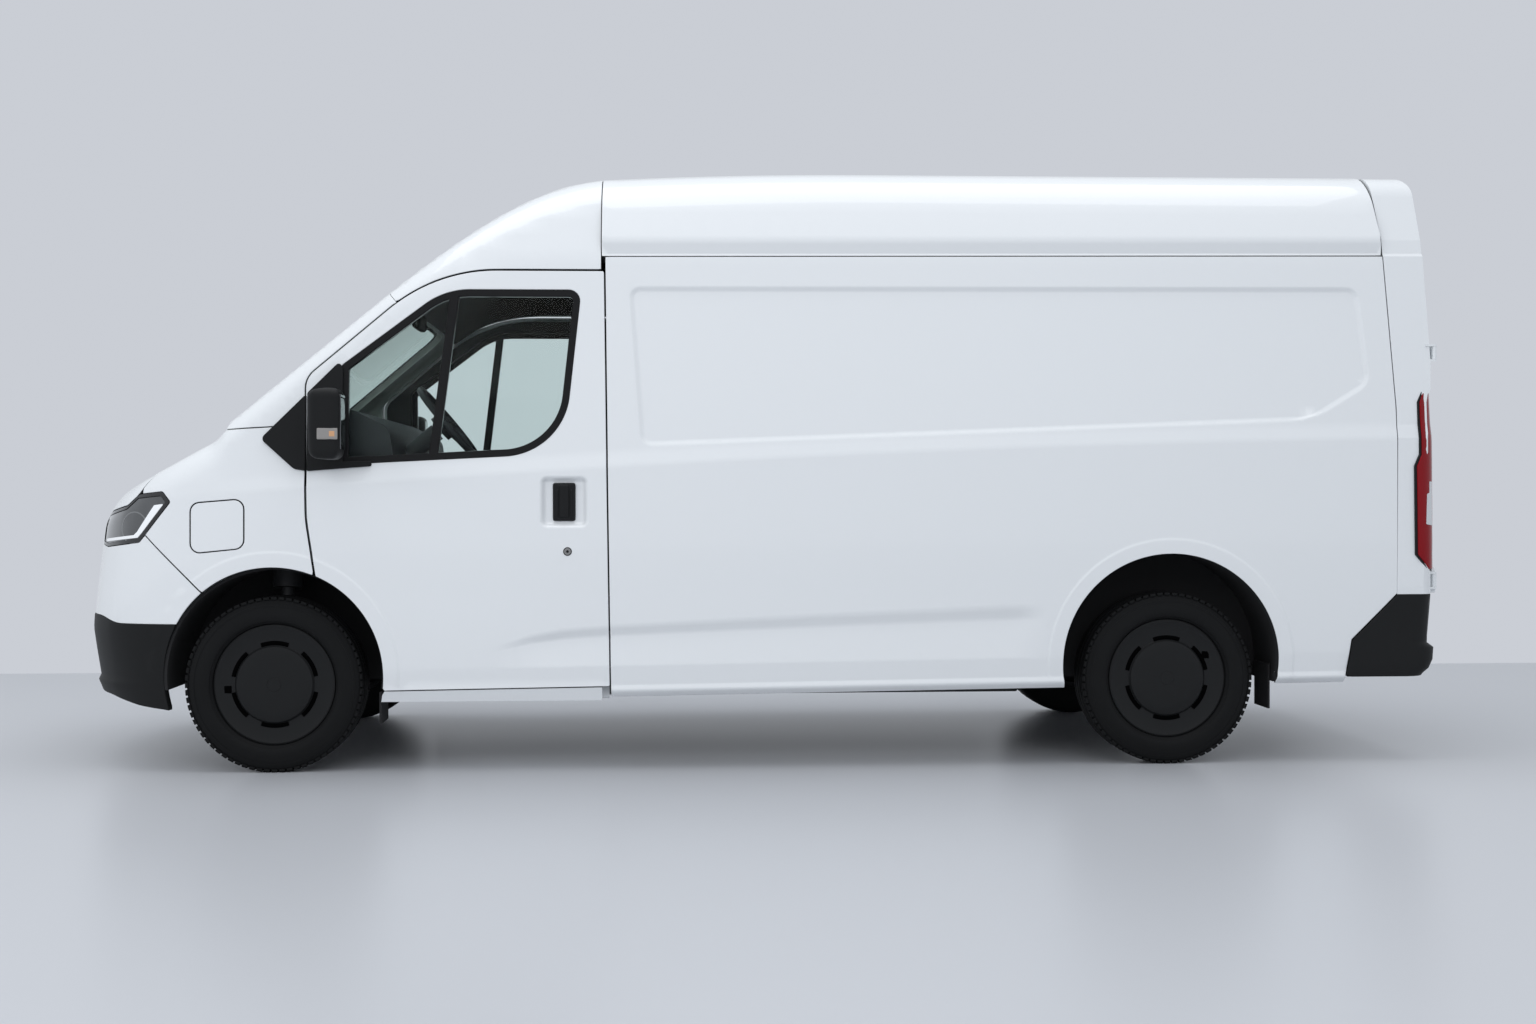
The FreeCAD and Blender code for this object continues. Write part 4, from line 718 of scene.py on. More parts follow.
class RearBumperBody(Body):
    """The tail's corner carried down, leaning in, with a fuller lip below."""

    def distance(self, p: Array) -> Array:
        """Signed distance of each point.

        Args:
            p: points in rows of x, y, z.

        Returns:
            Distances, negative inside.
        """
        x, y, z = p.T
        side = np.abs(y) - (LINES.width(x) - bent(z, [0.30, 0.36, 0.72], [0.030, 0.010, 0.0], [0.03])) - 0.003
        back = np.interp(z, [0.30, 0.36, 0.385, 0.42, 0.47, 0.49, 0.70],
                         [2.735, 2.765, 2.793, 2.808, 2.811, 2.783, 2.797])
        return meet(side, x - back, 0.075)


# Views used to lay out panels

def columns(*values: Array | float) -> Array:
    """Points in rows, from their coordinates; a single number counts for every row."""
    return np.stack(np.broadcast_arrays(*values), 1)


class View:
    """Flat layout of a panel and the rays that carry it onto a body."""

    near: float = 0.2
    far: float = 1.6

    def rays(self, uv: Array) -> tuple[Array, Array]:
        """Ray starts and directions for layout points."""
        raise NotImplementedError

    def find(self, p: Array) -> Array:
        """Layout points of surface points."""
        raise NotImplementedError

    def place(self, body: Body, uv: Array) -> Array:
        """Layout points carried onto the body."""
        return body.reach(*self.rays(uv), self.near, self.far)


@dataclass(frozen=True)
class SideView(View):
    """Layout in x and z, rays square to the side."""

    side: Side

    def rays(self, uv: Array) -> tuple[Array, Array]:
        """Ray starts on the centre plane, sideways."""
        return columns(uv[:, 0], 0.0, uv[:, 1]), np.array([0.0, self.side.value, 0.0])

    def find(self, p: Array) -> Array:
        """The points' x and z."""
        return p[:, [0, 2]]


@dataclass(frozen=True)
class TopView(View):
    """Layout in x and y, rays straight up."""

    far: float = 3.0
    low_z: float = 0.5

    def rays(self, uv: Array) -> tuple[Array, Array]:
        """Ray starts at a low level, upwards."""
        return columns(uv[:, 0], uv[:, 1], self.low_z), np.array([0.0, 0.0, 1.0])

    def find(self, p: Array) -> Array:
        """The points' x and y."""
        return p[:, :2]


@dataclass(frozen=True)
class BackView(View):
    """Layout in y and z, rays straight back."""

    start_x: float = 1.6

    def rays(self, uv: Array) -> tuple[Array, Array]:
        """Ray starts inside the load space, backwards."""
        return columns(self.start_x, uv[:, 0], uv[:, 1]), np.array([1.0, 0.0, 0.0])

    def find(self, p: Array) -> Array:
        """The points' y and z."""
        return p[:, 1:]


@dataclass(frozen=True)
class TubeView(View):
    """Layout in x and arc round a lengthwise axis, for roofs; arc 0 is straight up."""

    near: float = 0.1
    far: float = 2.5
    axis_z: float = 1.05

    def rays(self, uv: Array) -> tuple[Array, Array]:
        """Ray starts on the axis, square to it."""
        u, v = uv.T
        return columns(u, 0.0, self.axis_z), columns(0.0, np.sin(v), np.cos(v))

    def find(self, p: Array) -> Array:
        """The points' x and arc."""
        return columns(p[:, 0], np.arctan2(p[:, 1], p[:, 2] - self.axis_z))


@dataclass(frozen=True)
class GlobeView(View):
    """Layout by the angle from a lengthwise pole, rays from one centre."""

    centre_x: float
    centre_z: float
    pole: float
    near: float = 0.05
    far: float = 2.2

    @property
    def centre(self) -> Array:
        """Where the rays start."""
        return np.array([self.centre_x, 0.0, self.centre_z])

    def rays(self, uv: Array) -> tuple[Array, Array]:
        """Ray starts at the centre, turned away from the pole.

        Args:
            uv: layout points in rows.

        Returns:
            Starts and directions.
        """
        angle = np.hypot(uv[:, 0], uv[:, 1])
        share = np.where(angle > 1e-9, np.sin(angle) / np.maximum(angle, 1e-9), 1.0)
        direction = columns(self.pole * np.cos(angle), uv[:, 0] * share, uv[:, 1] * share)
        return np.tile(self.centre, (len(uv), 1)), direction

    def find(self, p: Array) -> Array:
        """The points' angles from the pole, along y and z.

        Args:
            p: points in rows of x, y, z.

        Returns:
            Layout points.
        """
        d = p - self.centre
        across = np.hypot(d[:, 1], d[:, 2])
        share = np.arctan2(across, self.pole * d[:, 0]) / np.maximum(across, 1e-9)
        return columns(d[:, 1] * share, d[:, 2] * share)


# Outlines

def rounded(corners: list[tuple], step: float = 0.014) -> Array:
    """A closed outline through (u, v, radius) corners, counter-clockwise and evenly dotted.

    Args:
        corners: corner points with their rounding.
        step: longest distance between dots.

    Returns:
        The dots, in rows.
    """
    dots: list[Array] = []
    count = len(corners)
    for i in range(count):
        p = np.array(corners[i][:2], float)
        radius = corners[i][2]
        a = np.array(corners[i - 1][:2], float) - p
        b = np.array(corners[(i + 1) % count][:2], float) - p
        room = 0.49 * min(np.linalg.norm(a), np.linalg.norm(b))
        a /= np.linalg.norm(a)
        b /= np.linalg.norm(b)
        half = 0.5 * math.acos(float(np.clip(a @ b, -1, 1)))
        tangent = min(radius / math.tan(half), room) if radius > 0 else 0.0
        if tangent < 1e-5:
            dots.append(p)
            continue
        radius = tangent * math.tan(half)
        middle = (a + b) / np.linalg.norm(a + b)
        centre = p + middle * radius / math.sin(half)
        start = p + a * tangent - centre
        end = p + b * tangent - centre
        turn = math.atan2(start[0] * end[1] - start[1] * end[0], start @ end)
        pieces = max(2, int(abs(turn) / 0.26), int(abs(turn) * radius / step))
        for k in range(pieces + 1):
            angle = turn * k / pieces
            c, s = math.cos(angle), math.sin(angle)
            dots.append(centre + np.array([c * start[0] - s * start[1], s * start[0] + c * start[1]]))
    return oriented(dotted(np.array(dots), step))


def dotted(points: Array, step: float) -> Array:
    """The same closed line with extra dots on its long runs.

    Args:
        points: points in rows.
        step: longest distance between dots.

    Returns:
        The dots.
    """
    result = []
    for p, q in zip(points, np.roll(points, -1, axis=0)):
        length = np.linalg.norm(q - p)
        if length < 1e-6:
            continue
        pieces = max(1, math.ceil(length / step))
        result.extend(p + (q - p) * k / pieces for k in range(pieces))
    return np.array(result)


def area_of(points: Array) -> float:
    """Signed area of a closed outline."""
    x, y = points.T
    return 0.5 * float(np.sum(x * np.roll(y, -1) - np.roll(x, -1) * y))


def oriented(points: Array) -> Array:
    """The outline running counter-clockwise."""
    return points if area_of(points) > 0 else points[::-1]


def moved_in(points: Array, distance: float) -> Array:
    """Each dot moved to the left of the line's direction.

    Args:
        points: points in rows.
        distance: how far to move.

    Returns:
        The moved outline.
    """
    ahead = np.roll(points, -1, axis=0) - points
    behind = points - np.roll(points, 1, axis=0)
    ahead /= np.linalg.norm(ahead, axis=1, keepdims=True)
    behind /= np.linalg.norm(behind, axis=1, keepdims=True)
    n1 = columns(-ahead[:, 1], ahead[:, 0])
    n2 = columns(-behind[:, 1], behind[:, 0])
    share = np.maximum(1 + np.sum(n1 * n2, axis=1, keepdims=True), 0.4)
    return points + (n1 + n2) * distance / share


def inside(points: Array, outline: Array) -> Array:
    """Which points lie within a closed outline.

    Args:
        points: points in rows.
        outline: closed outline in rows.

    Returns:
        One flag for each point.
    """
    result = np.zeros(len(points), bool)
    x, y = points.T
    for (x0, y0), (x1, y1) in zip(outline, np.roll(outline, -1, axis=0)):
        if y0 == y1:
            continue
        crosses = (y0 > y) != (y1 > y)
        result ^= crosses & (x < (x1 - x0) * (y - y0) / (y1 - y0) + x0)
    return result


def circle(x: float, z: float, radius: float, step: float = 0.012) -> Array:
    """A dotted circle.

    Args:
        x: centre.
        z: centre.
        radius: its radius.
        step: distance between dots.

    Returns:
        The dots.
    """
    count = max(12, int(2 * math.pi * radius / step))
    angles = np.arange(count) * 2 * math.pi / count
    return columns(x + radius * np.cos(angles), z + radius * np.sin(angles))


def cut_by_circle(outline: Array, x: float, z: float, radius: float, step: float = 0.012) -> Array:
    """The outline less a circle that crosses it once in and once out.

    Args:
        outline: closed counter-clockwise outline.
        x: circle centre.
        z: circle centre.
        radius: circle radius.
        step: spacing of the new dots.

    Returns:
        The cut outline.
    """
    centre = np.array([x, z])
    outside = np.hypot(*(outline - centre).T) > radius
    if outside.all():
        return outline
    first = next(i for i in range(len(outline)) if outside[i] and not outside[i - 1])
    run = np.roll(outline, -first, axis=0)
    keep = np.roll(outside, -first)
    last = int(np.argmin(keep))
    kept = run[:last]
    leave = crossing(run[last - 1], run[last], centre, radius)
    enter = crossing(run[0], run[-1], centre, radius)
    a0 = math.atan2(*(leave - centre)[::-1])
    a1 = math.atan2(*(enter - centre)[::-1])
    if a1 > a0:
        a1 -= 2 * math.pi
    count = max(2, int((a0 - a1) * radius / step))
    angles = np.linspace(a0, a1, count + 1)
    arc = centre + radius * columns(np.cos(angles), np.sin(angles))
    return np.concatenate([kept, arc])


def crossing(p: Array, q: Array, centre: Array, radius: float) -> Array:
    """Where the line from outside point p to inside point q meets the circle.

    Args:
        p: outside point.
        q: inside point.
        centre: circle centre.
        radius: circle radius.

    Returns:
        The crossing point.
    """
    low, high = 0.0, 1.0
    for _ in range(40):
        middle = (low + high) / 2
        if np.linalg.norm(p + (q - p) * middle - centre) > radius:
            low = middle
        else:
            high = middle
    return p + (q - p) * low


# Meshes

def make_object(name: str, verts: Array, faces: list, finish: Finish, normals: Array | None = None,
                flat: bool = False) -> bpy.types.Object:
    """A mesh object in the row frame.

    Args:
        name: object name.
        verts: points in rows.
        faces: lists of point indices.
        finish: its finish.
        normals: unit normals at the points, where shading is given.
        flat: True for flat facets.

    Returns:
        The new object.
    """
    mesh = bpy.data.meshes.new(name)
    mesh.from_pydata([tuple(map(float, v)) for v in verts], [], [tuple(map(int, f)) for f in faces])
    mesh.validate()
    if not flat:
        mesh.polygons.foreach_set("use_smooth", [True] * len(mesh.polygons))
    if normals is not None:
        mesh.normals_split_custom_set_from_vertices([tuple(map(float, n)) for n in normals])
    made = bpy.data.objects.new(name, mesh)
    bpy.context.scene.collection.objects.link(made)
    made.data.materials.append(finish.material())
    return made


def tree_of(points: Array) -> kdtree.KDTree:
    """Search tree over layout points.

    Args:
        points: points in rows.

    Returns:
        The tree.
    """
    tree = kdtree.KDTree(len(points))
    for i, p in enumerate(points):
        tree.insert((p[0], p[1], 0.0), i)
    tree.balance()
    return tree


@dataclass
class Shell:
    """One pressed panel, pane or moulding laid on a body.

    The outline and the holes are closed lines in the view's layout. The face lies below the body's surface by
    drop, has a rolled edge of lip, and the back lies deeper by wall. Rows are dots that the mesh follows.
    """

    name: str
    body: Body
    view: View
    outline: Array
    finish: Finish
    holes: list = field(default_factory=list)
    rows: list = field(default_factory=list)
    step: float = 0.035
    wall: float = 0.02
    drop: float = 0.0
    lip: float = 0.0025
    back: Finish = PAINT
    # side walls of painted panels carry painted shade, so that their shut lines read dark
    walls: Finish = SHUT_LINE_SHADE
    row_room: float = 0.005

    def seeds(self, loops: list[Array]) -> Array:
        """Dots inside the outline: on feature rows first, then on a plain grid.

        Args:
            loops: outline and holes, as meshed.

        Returns:
            The dots.
        """
        low, high = self.outline.min(0), self.outline.max(0)
        ticks = [np.arange(low[k] + self.step / 2, high[k], self.step) for k in (0, 1)]
        grid = np.stack(np.meshgrid(*ticks), -1).reshape(-1, 2)
        border = np.concatenate(loops)
        kept = np.zeros((0, 2))
        if self.rows:
            kept = self.clear_of(np.concatenate(self.rows), border, self.row_room)
        grid = self.clear_of(grid, np.concatenate([border, kept]), 0.55 * self.step)
        both = np.concatenate([kept, grid])
        return both[self.within(both, loops)]

    def within(self, points: Array, loops: list[Array]) -> Array:
        """Which points lie in the first loop and in none of the others."""
        return inside(points, loops[0]) & ~np.any([inside(points, hole) for hole in loops[1:]], axis=0)

    def clear_of(self, points: Array, taken: Array, room: float) -> Array:
        """The points that keep a distance from those taken."""
        tree = tree_of(taken)
        return np.array([p for p in points if tree.find((p[0], p[1], 0.0))[2] > room]).reshape(-1, 2)

    def build(self) -> bpy.types.Object:
        """Builds the closed shell: face, rolled edges, side walls and back.

        Returns:
            The panel's object.
        """
        loops = [moved_in(oriented(self.outline), self.lip)]
        loops += [moved_in(oriented(h)[::-1], self.lip) for h in self.holes]
        flat = np.concatenate(loops + [self.seeds(loops)])
        edges = []
        start = 0
        for loop in loops:
            n = len(loop)
            edges += [(start + i, start + (i + 1) % n) for i in range(n)]
            start += n
        dots = [Vector((float(u), float(v))) for u, v in flat]
        made = delaunay_2d_cdt(dots, edges, [], 2, 1e-7)
        used = np.array([[v.x, v.y] for v in made[0]])
        faces = [list(f) for f in made[2]]
        keep = self.within(np.array([used[f].mean(0) for f in faces]), loops)
        return self.close(used, [f for f, k in zip(faces, keep) if k], loops)

    def close(self, flat: Array, faces: list, loops: list[Array]) -> bpy.types.Object:
        """Carries the layout onto the body and adds edge, walls and back.

        Args:
            flat: layout points of the face.
            faces: triangles of the face.
            loops: outline and holes, as meshed.

        Returns:
            The panel's object.
        """
        surface = self.view.place(self.body, flat)
        normal = self.body.normals(surface)
        surface = surface - normal * self.drop
        a, b, c = surface[faces[0][:3]]
        turn = -1 if np.cross(b - a, c - a) @ normal[faces[0][0]] < 0 else 1
        faces = [f[::turn] for f in faces]
        count = len(surface)
        verts, normals = [surface, surface - normal * self.wall], [normal, -normal]
        faces += [[count + i for i in f[::-1]] for f in faces]
        total = 2 * count
        deep: set[int] = set()
        tree = tree_of(flat)
        for loop in loops:
            ids = np.array([tree.find((p[0], p[1], 0.0))[1] for p in loop])
            rings = [ids]
            for points, direction in self.edge(surface[ids], normal[ids], turn):
                verts.append(points)
                normals.append(direction / np.linalg.norm(direction, axis=1, keepdims=True))
                rings.append(np.arange(total, total + len(ids)))
                total += len(ids)
            rings.append(ids + count)
            for r0, r1 in zip(rings, rings[1:]):
                for i, j in zip(range(len(ids)), [*range(1, len(ids)), 0]):
                    faces.append([r0[i], r1[i], r1[j], r0[j]][::turn])
            deep.update(rings[2].tolist() + rings[3].tolist())
        made = make_object(self.name, np.concatenate(verts), faces, self.finish, np.concatenate(normals))
        if self.finish is PAINT:
            self.paint_behind(made, deep, range(count, 2 * count))
        return made

    def edge(self, p: Array, n: Array, turn: int) -> list[tuple[Array, Array]]:
        """Points and directions of the rolled lip and the side wall along one loop.

        Args:
            p: surface points of the loop.
            n: their normals.
            turn: sense of the loop.

        Returns:
            Points and directions of each ring.
        """
        out = np.cross(np.roll(p, -1, axis=0) - np.roll(p, 1, axis=0), n) * turn
        out /= np.maximum(np.linalg.norm(out, axis=1, keepdims=True), 1e-9)
        lip = min(self.lip, self.wall * 0.45)
        rolled = math.sqrt(0.5)
        return [(p + out * lip * rolled - n * lip * (1 - rolled), n + out), (p + out * lip - n * lip, out),
                (p + out * lip - n * (self.wall - 0.0002), out)]

    def paint_behind(self, made: bpy.types.Object, deep: set[int], behind: range) -> None:
        """Gives a painted panel's side walls the painted shade of its shut lines, and its back its own
        finish.

        Args:
            made: the panel's object.
            deep: points of the side walls.
            behind: points of the back.
        """
        for index, (finish, points) in enumerate(((self.walls, deep), (self.back, behind)), 1):
            made.data.materials.append(finish.material())
            for face in made.data.polygons:
                if face.material_index == 0 and all(v in points for v in face.vertices):
                    face.material_index = index

    def fit(self, body: str, slot: Slot, *nodes: str) -> None:
        """Builds the shell and lets it ride on a body."""
        fit(self.build(), body, slot, *nodes)


def laid(body: Body, start: View, end: View, outline: Array) -> Array:
    """An outline drawn in one view, carried over the body into another view's layout."""
    return end.find(start.place(body, outline))


def join(name: str, objects: list[bpy.types.Object]) -> bpy.types.Object:
    """Joins meshes into one named object.

    Args:
        name: name of the result.
        objects: meshes at the origin; the first keeps its data.

    Returns:
        The joined object.
    """
    if len(objects) > 1:
        with bpy.context.temp_override(active_object=objects[0], object=objects[0],
                                       selected_objects=objects, selected_editable_objects=objects):
            bpy.ops.object.join()
    objects[0].name = name
    objects[0].data.name = name
    return objects[0]


def fit(obj: bpy.types.Object, body: str, slot: Slot, *nodes: str) -> None:
    """Lets a finished piece ride on a body, and hides the frame nodes that it stands for.

    Args:
        obj: the piece.
        body: name of the body it rides on.
        slot: its finish slot; not used.
        nodes: frame nodes that it stands for.
    """
    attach(obj, body)
    if nodes:
        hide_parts(*nodes)


# Front: shared layouts and seams

class FrontBody(Body):
    """Nose and the foot of the pillar as one surface, for the wings."""

    def distance(self, p: Array) -> Array:
        """Signed distance of each point."""
        share = smooth((p[:, 0] + 2.165) / 0.09)
        return (1 - share) * NOSE.distance(p) + share * CAB.distance(p)


@dataclass(frozen=True)
class LevelView(View):
    """Layout by arc round an upright axis, and height; arc 0 looks along the pole, positive to the right."""

    centre_x: float = -1.9
    pole: float = -1.0
    near: float = 0.1
    far: float = 2.0

    def rays(self, uv: Array) -> tuple[Array, Array]:
        """Ray starts on the axis, level."""
        u, v = uv.T
        return columns(self.centre_x, 0.0, v), columns(self.pole * np.cos(u), np.sin(u), 0.0)

    def find(self, p: Array) -> Array:
        """The points' arc and height."""
        return columns(np.arctan2(p[:, 1], self.pole * (p[:, 0] - self.centre_x)), p[:, 2])


@dataclass(frozen=True)
class SlopeView(View):
    """Layout in the windscreen's plane: up the slope from its foot, and y."""

    far: float = 0.8
    under: float = 0.3
    angle: float = math.atan(LINES.screen_slope())

    def rays(self, uv: Array) -> tuple[Array, Array]:
        """Ray starts under the windscreen's plane, square to it.

        Args:
            uv: layout points in rows.

        Returns:
            Starts and directions.
        """
        c, s = math.cos(self.angle), math.sin(self.angle)
        x = LINES.screen_foot[0] + uv[:, 0] * c + self.under * s
        z = LINES.screen_foot[1] + uv[:, 0] * s - self.under * c
        return columns(x, uv[:, 1], z), np.array([-s, 0.0, c])

    def find(self, p: Array) -> Array:
        """The points' way up the slope, and y.

        Args:
            p: points in rows of x, y, z.

        Returns:
            Layout points.
        """
        c, s = math.cos(self.angle), math.sin(self.angle)
        along = (p[:, 0] - LINES.screen_foot[0]) * c + (p[:, 2] - LINES.screen_foot[1]) * s
        return columns(along, p[:, 1])


FRONT = FrontBody()
LEFT = SideView(Side.LEFT)
RIGHT = SideView(Side.RIGHT)
GLOBE = GlobeView(-1.9, 0.75, -1.0)
TAIL_GLOBE = GlobeView(1.9, 1.35, 1.0)
LEVEL = LevelView()
REAR_LEVEL = LevelView(2.0, 1.0)
SLOPE = SlopeView()
TOP = TopView()
TUBE = TubeView()
BACK = BackView()

DOOR = [(-0.5735, 0.337, 0.006), (-0.594, 2.003, 0.008), (-1.265, 2.003, 0.65), (-1.774, 1.571, 0.09),
        (-1.766, 1.010, 0.5), (-1.724, 0.735, 0.0), (-1.468, 0.326, 0.0)]
WINDOW = [(-1.634, 1.225, 0.014), (-1.634, 1.621, 0.014), (-1.228, 1.927, 0.3), (-0.684, 1.927, 0.045),
          (-0.756, 1.268, 0.27)]
HEADLAMP = [(-2.668, 1.031, 0.0), (-2.512, 1.064, 0.03), (-2.455, 1.110, 0.014), (-2.347, 1.120, 0.016),
            (-2.311, 1.078, 0.012), (-2.446, 0.9165, 0.016), (-2.622, 0.8965, 0.0), (-2.668, 0.905, 0.0)]
LENS = [(-2.664, 1.018, 0.003), (-2.516, 1.050, 0.03), (-2.460, 1.094, 0.010), (-2.354, 1.103, 0.010),
        (-2.332, 1.078, 0.008), (-2.452, 0.932, 0.012), (-2.622, 0.910, 0.004), (-2.664, 0.917, 0.003)]
LIGHT_STRIP = [(-2.640, 0.917, 0.002), (-2.456, 0.9355, 0.006), (-2.435, 0.957, 0.006),
               (-2.340, 1.071, 0.003), (-2.383, 1.066, 0.006), (-2.459, 0.960, 0.012), (-2.475, 0.946, 0.008),
               (-2.640, 0.929, 0.002)]
FLAP = [(-2.229, 0.872, 0.038), (-2.229, 1.073, 0.038), (-2.013, 1.090, 0.038), (-2.013, 0.893, 0.038)]
MIRROR_BASE = [(-1.949, 1.327, 0.020), (-1.640, 1.636, 0.014), (-1.626, 1.60, 0.0), (-1.626, 1.236, 0.0),
               (-1.515, 1.238, 0.002), (-1.512, 1.218, 0.008), (-1.765, 1.199, 0.010), (-1.817, 1.207, 0.030)]
SCREEN = [(0.030, -0.850, 0.06), (0.832, -0.785, 0.08), (0.832, 0.785, 0.08), (0.030, 0.850, 0.06),
          (-0.066, 0.0, 4.0)]
BUMPER_TOP_Z = 0.592
BUMPER_LOW_Z = 0.248


def clip(outline: Array, a: tuple[float, float], b: tuple[float, float]) -> Array:
    """The part of an outline to the left of the line from a to b.

    Args:
        outline: closed outline in rows.
        a: first point of the line.
        b: second point.

    Returns:
        The part's outline.
    """
    start, end = np.array(a), np.array(b)
    d = end - start

    def side(p: Array) -> float:
        """How far a point lies to the left of the line, times the line's length."""
        return d[0] * (p[1] - start[1]) - d[1] * (p[0] - start[0])
    kept = []
    for p, q in zip(outline, np.roll(outline, -1, axis=0)):
        sp, sq = side(p), side(q)
        if sp >= 0:
            kept.append(p)
        if (sp >= 0) != (sq >= 0):
            kept.append(p + (q - p) * sp / (sp - sq))
    return np.array(kept)


def mirrored(uv: Array, column: int) -> Array:
    """Layout dots reflected to the other side, in reverse order.

    Args:
        uv: layout points in rows.
        column: column that changes its sign.

    Returns:
        The reflected dots.
    """
    other = uv[::-1].copy()
    other[:, column] *= -1
    return other


def bonnet_seam_y(x: Array) -> Array:
    """Distance of the bonnet's side seam from the centreline."""
    return np.interp(x, [-2.455, -2.091], [0.868, 0.812])


def bonnet_seam(x: Array, out: float) -> Array:
    """Points of the left bonnet seam on the nose, moved outwards."""
    return TOP.place(NOSE, columns(x, -bonnet_seam_y(x) - out))


def bonnet_front(y: Array, up: float) -> Array:
    """Points of the seam across the nose, moved upwards.

    Args:
        y: places across the nose.
        up: how far to move the seam up.

    Returns:
        The seam's points.
    """
    x = np.full_like(y, -2.70)
    for _ in range(4):
        z = 1.030 + 0.15 * (x + 2.668) + up
        p = NOSE.reach(columns(-1.9, y, z), np.array([-1.0, 0.0, 0.0]), 0.1, 1.3)
        x = p[:, 0]
    return p


def bumper_top(turns: Array) -> Array:
    """Height of the seam over the bumper, which rises round the front corner."""
    at = LEVEL.place(NOSE, columns(turns, 0.60))
    return BUMPER_TOP_Z + 0.026 * smooth((-2.53 - at[:, 0]) / 0.13)


def screen_foot_line(y: Array) -> Array:
    """Lower edge of the screen's frame in the slope layout."""
    return -0.120 + 0.128 * (y / 0.80) ** 2


def scuttle_line(y: Array, out: float) -> Array:
    """Where the bonnet's surface comes within a distance of the windscreen.

    Args:
        y: places across the van.
        out: distance from the windscreen.

    Returns:
        The line's points.
    """
    low = np.full_like(y, -2.45)
    high = np.full_like(y, -1.95)
    for _ in range(30):
        x = (low + high) / 2
        p = TOP.place(NOSE, columns(x, y))
        clear = CAB.distance(p) > out
        low = np.where(clear, x, low)
        high = np.where(clear, high, x)
    return p


def crease_rows(x: Array, sill_lines: list[tuple[float, float]]) -> list[Array]:
    """Dots along the belt, its step and the sill's creases, so that each one is crisp.

    Args:
        x: places along the van.
        sill_lines: level of each sill crease, with its half width.

    Returns:
        The rows of dots.
    """
    lines = [(LINES.belt(x), 0.012), (LINES.belt(x) + LINES.belt_step, 0.016)]
    lines += [(LINES.sill(level, x), spread) for level, spread in sill_lines]
    return [columns(x, line + k * spread) for line, spread in lines for k in (-1.0, -0.35, 0.35, 1.0)]


def scoop_rows(x: Array) -> list[Array]:
    """Dots along the swage and down into the scoop."""
    low, top = LINES.sill(LINES.sill_crease, x), LINES.swage_z(x)
    return [columns(x, top - (top - low) * k) for k in (-0.03, 0.03, 0.12, 0.22, 0.31, 0.45)]


def flare_rows(arch: tuple[float, float, float]) -> list[Array]:
    """Dots round the raised band of a wheel arch."""
    x, z, radius = arch
    return [circle(x, z, radius + LINES.flare_width + k) for k in (-0.010, -0.002, 0.006, 0.016)]


# Sub-assemblies

@dataclass
class SideWalls:
    """Outer side panels of the load space and the sliding door."""

    wall: float = 0.045
    skin: float = 0.030
    slide: tuple = ((-0.540, 0.366, 0.020), (-0.552, 2.020, 0.030), (0.640, 2.028, 0.060),
                    (0.640, 0.380, 0.060))

    def outline(self) -> Array:
        """Side view of the whole panel, less the wheel opening.

        Returns:
            The outline.
        """
        x0 = -0.5675
        zs = [float(LINES.gutter(x)) for x in (x0, REAR_SEAM_X)]
        low = [float(LINES.sill(LINES.sill_steps[0], x)) for x in (x0, 2.443)]
        corners = [(x0, low[0], 0.0), (x0 - 0.0205, zs[0], 0.0), (REAR_SEAM_X, zs[1], 0.0),
                   (2.638, 1.45, 1.0), (2.6345, 0.694, 0.0), (2.612, 0.671, 0.01), (2.447, 0.506, 0.01),
                   (2.425, 0.352, 0.0), (2.425, low[1], 0.0)]
        return cut_by_circle(rounded(corners, 0.02), *LINES.rear_arch)

    def rows(self) -> list[Array]:
        """Dots along the creases and round the pressed-in field.

        Returns:
            The rows of dots.
        """
        sill_lines = [(LINES.sill_crease, 0.010), (LINES.sill_steps[2], 0.005), (LINES.sill_steps[1], 0.008)]
        rows = crease_rows(np.arange(-0.56, 2.62, 0.024), sill_lines)
        rows += scoop_rows(np.arange(-0.56, 1.22, 0.02)) + flare_rows(LINES.rear_arch)
        field_line = rounded([(*c, LINES.recess_round) for c in LINES.recess], 0.02)
        return rows + [moved_in(field_line, k) for k in (-0.001, 0.005, 0.0125, 0.020, 0.026)]

    def build(self) -> None:
        """Builds both panels and the door."""
        outline, rows = self.outline(), self.rows()
        Shell("side_skin_left", LOAD, LEFT, outline, PAINT, rows=rows, wall=self.wall).fit(
            "root", Slot.WHITE_PAINT, "side_panel_left")
        door = rounded(list(self.slide))
        for name, node, line, holes, inner, inner_holes, drop, depth in (
                ("side_skin_right", "side_panel_right", outline, [moved_in(door, -SHUT_GAP)], outline,
                 [moved_in(door, 0.020)], 0.0303, 0.0147),
                ("sliding_door_skin", "sliding_door", door, [], moved_in(door, 0.025), [], 0.029, 0.016)):
            skin = Shell(name, LOAD, RIGHT, line, PAINT, holes=holes, rows=rows, wall=self.skin).build()
            back = Shell("inner", LOAD, RIGHT, inner, INNER_PAINT, holes=inner_holes, drop=drop, wall=depth,
                         step=0.08).build()
            fit(join(name, [skin, back]), "root", Slot.WHITE_PAINT, node)


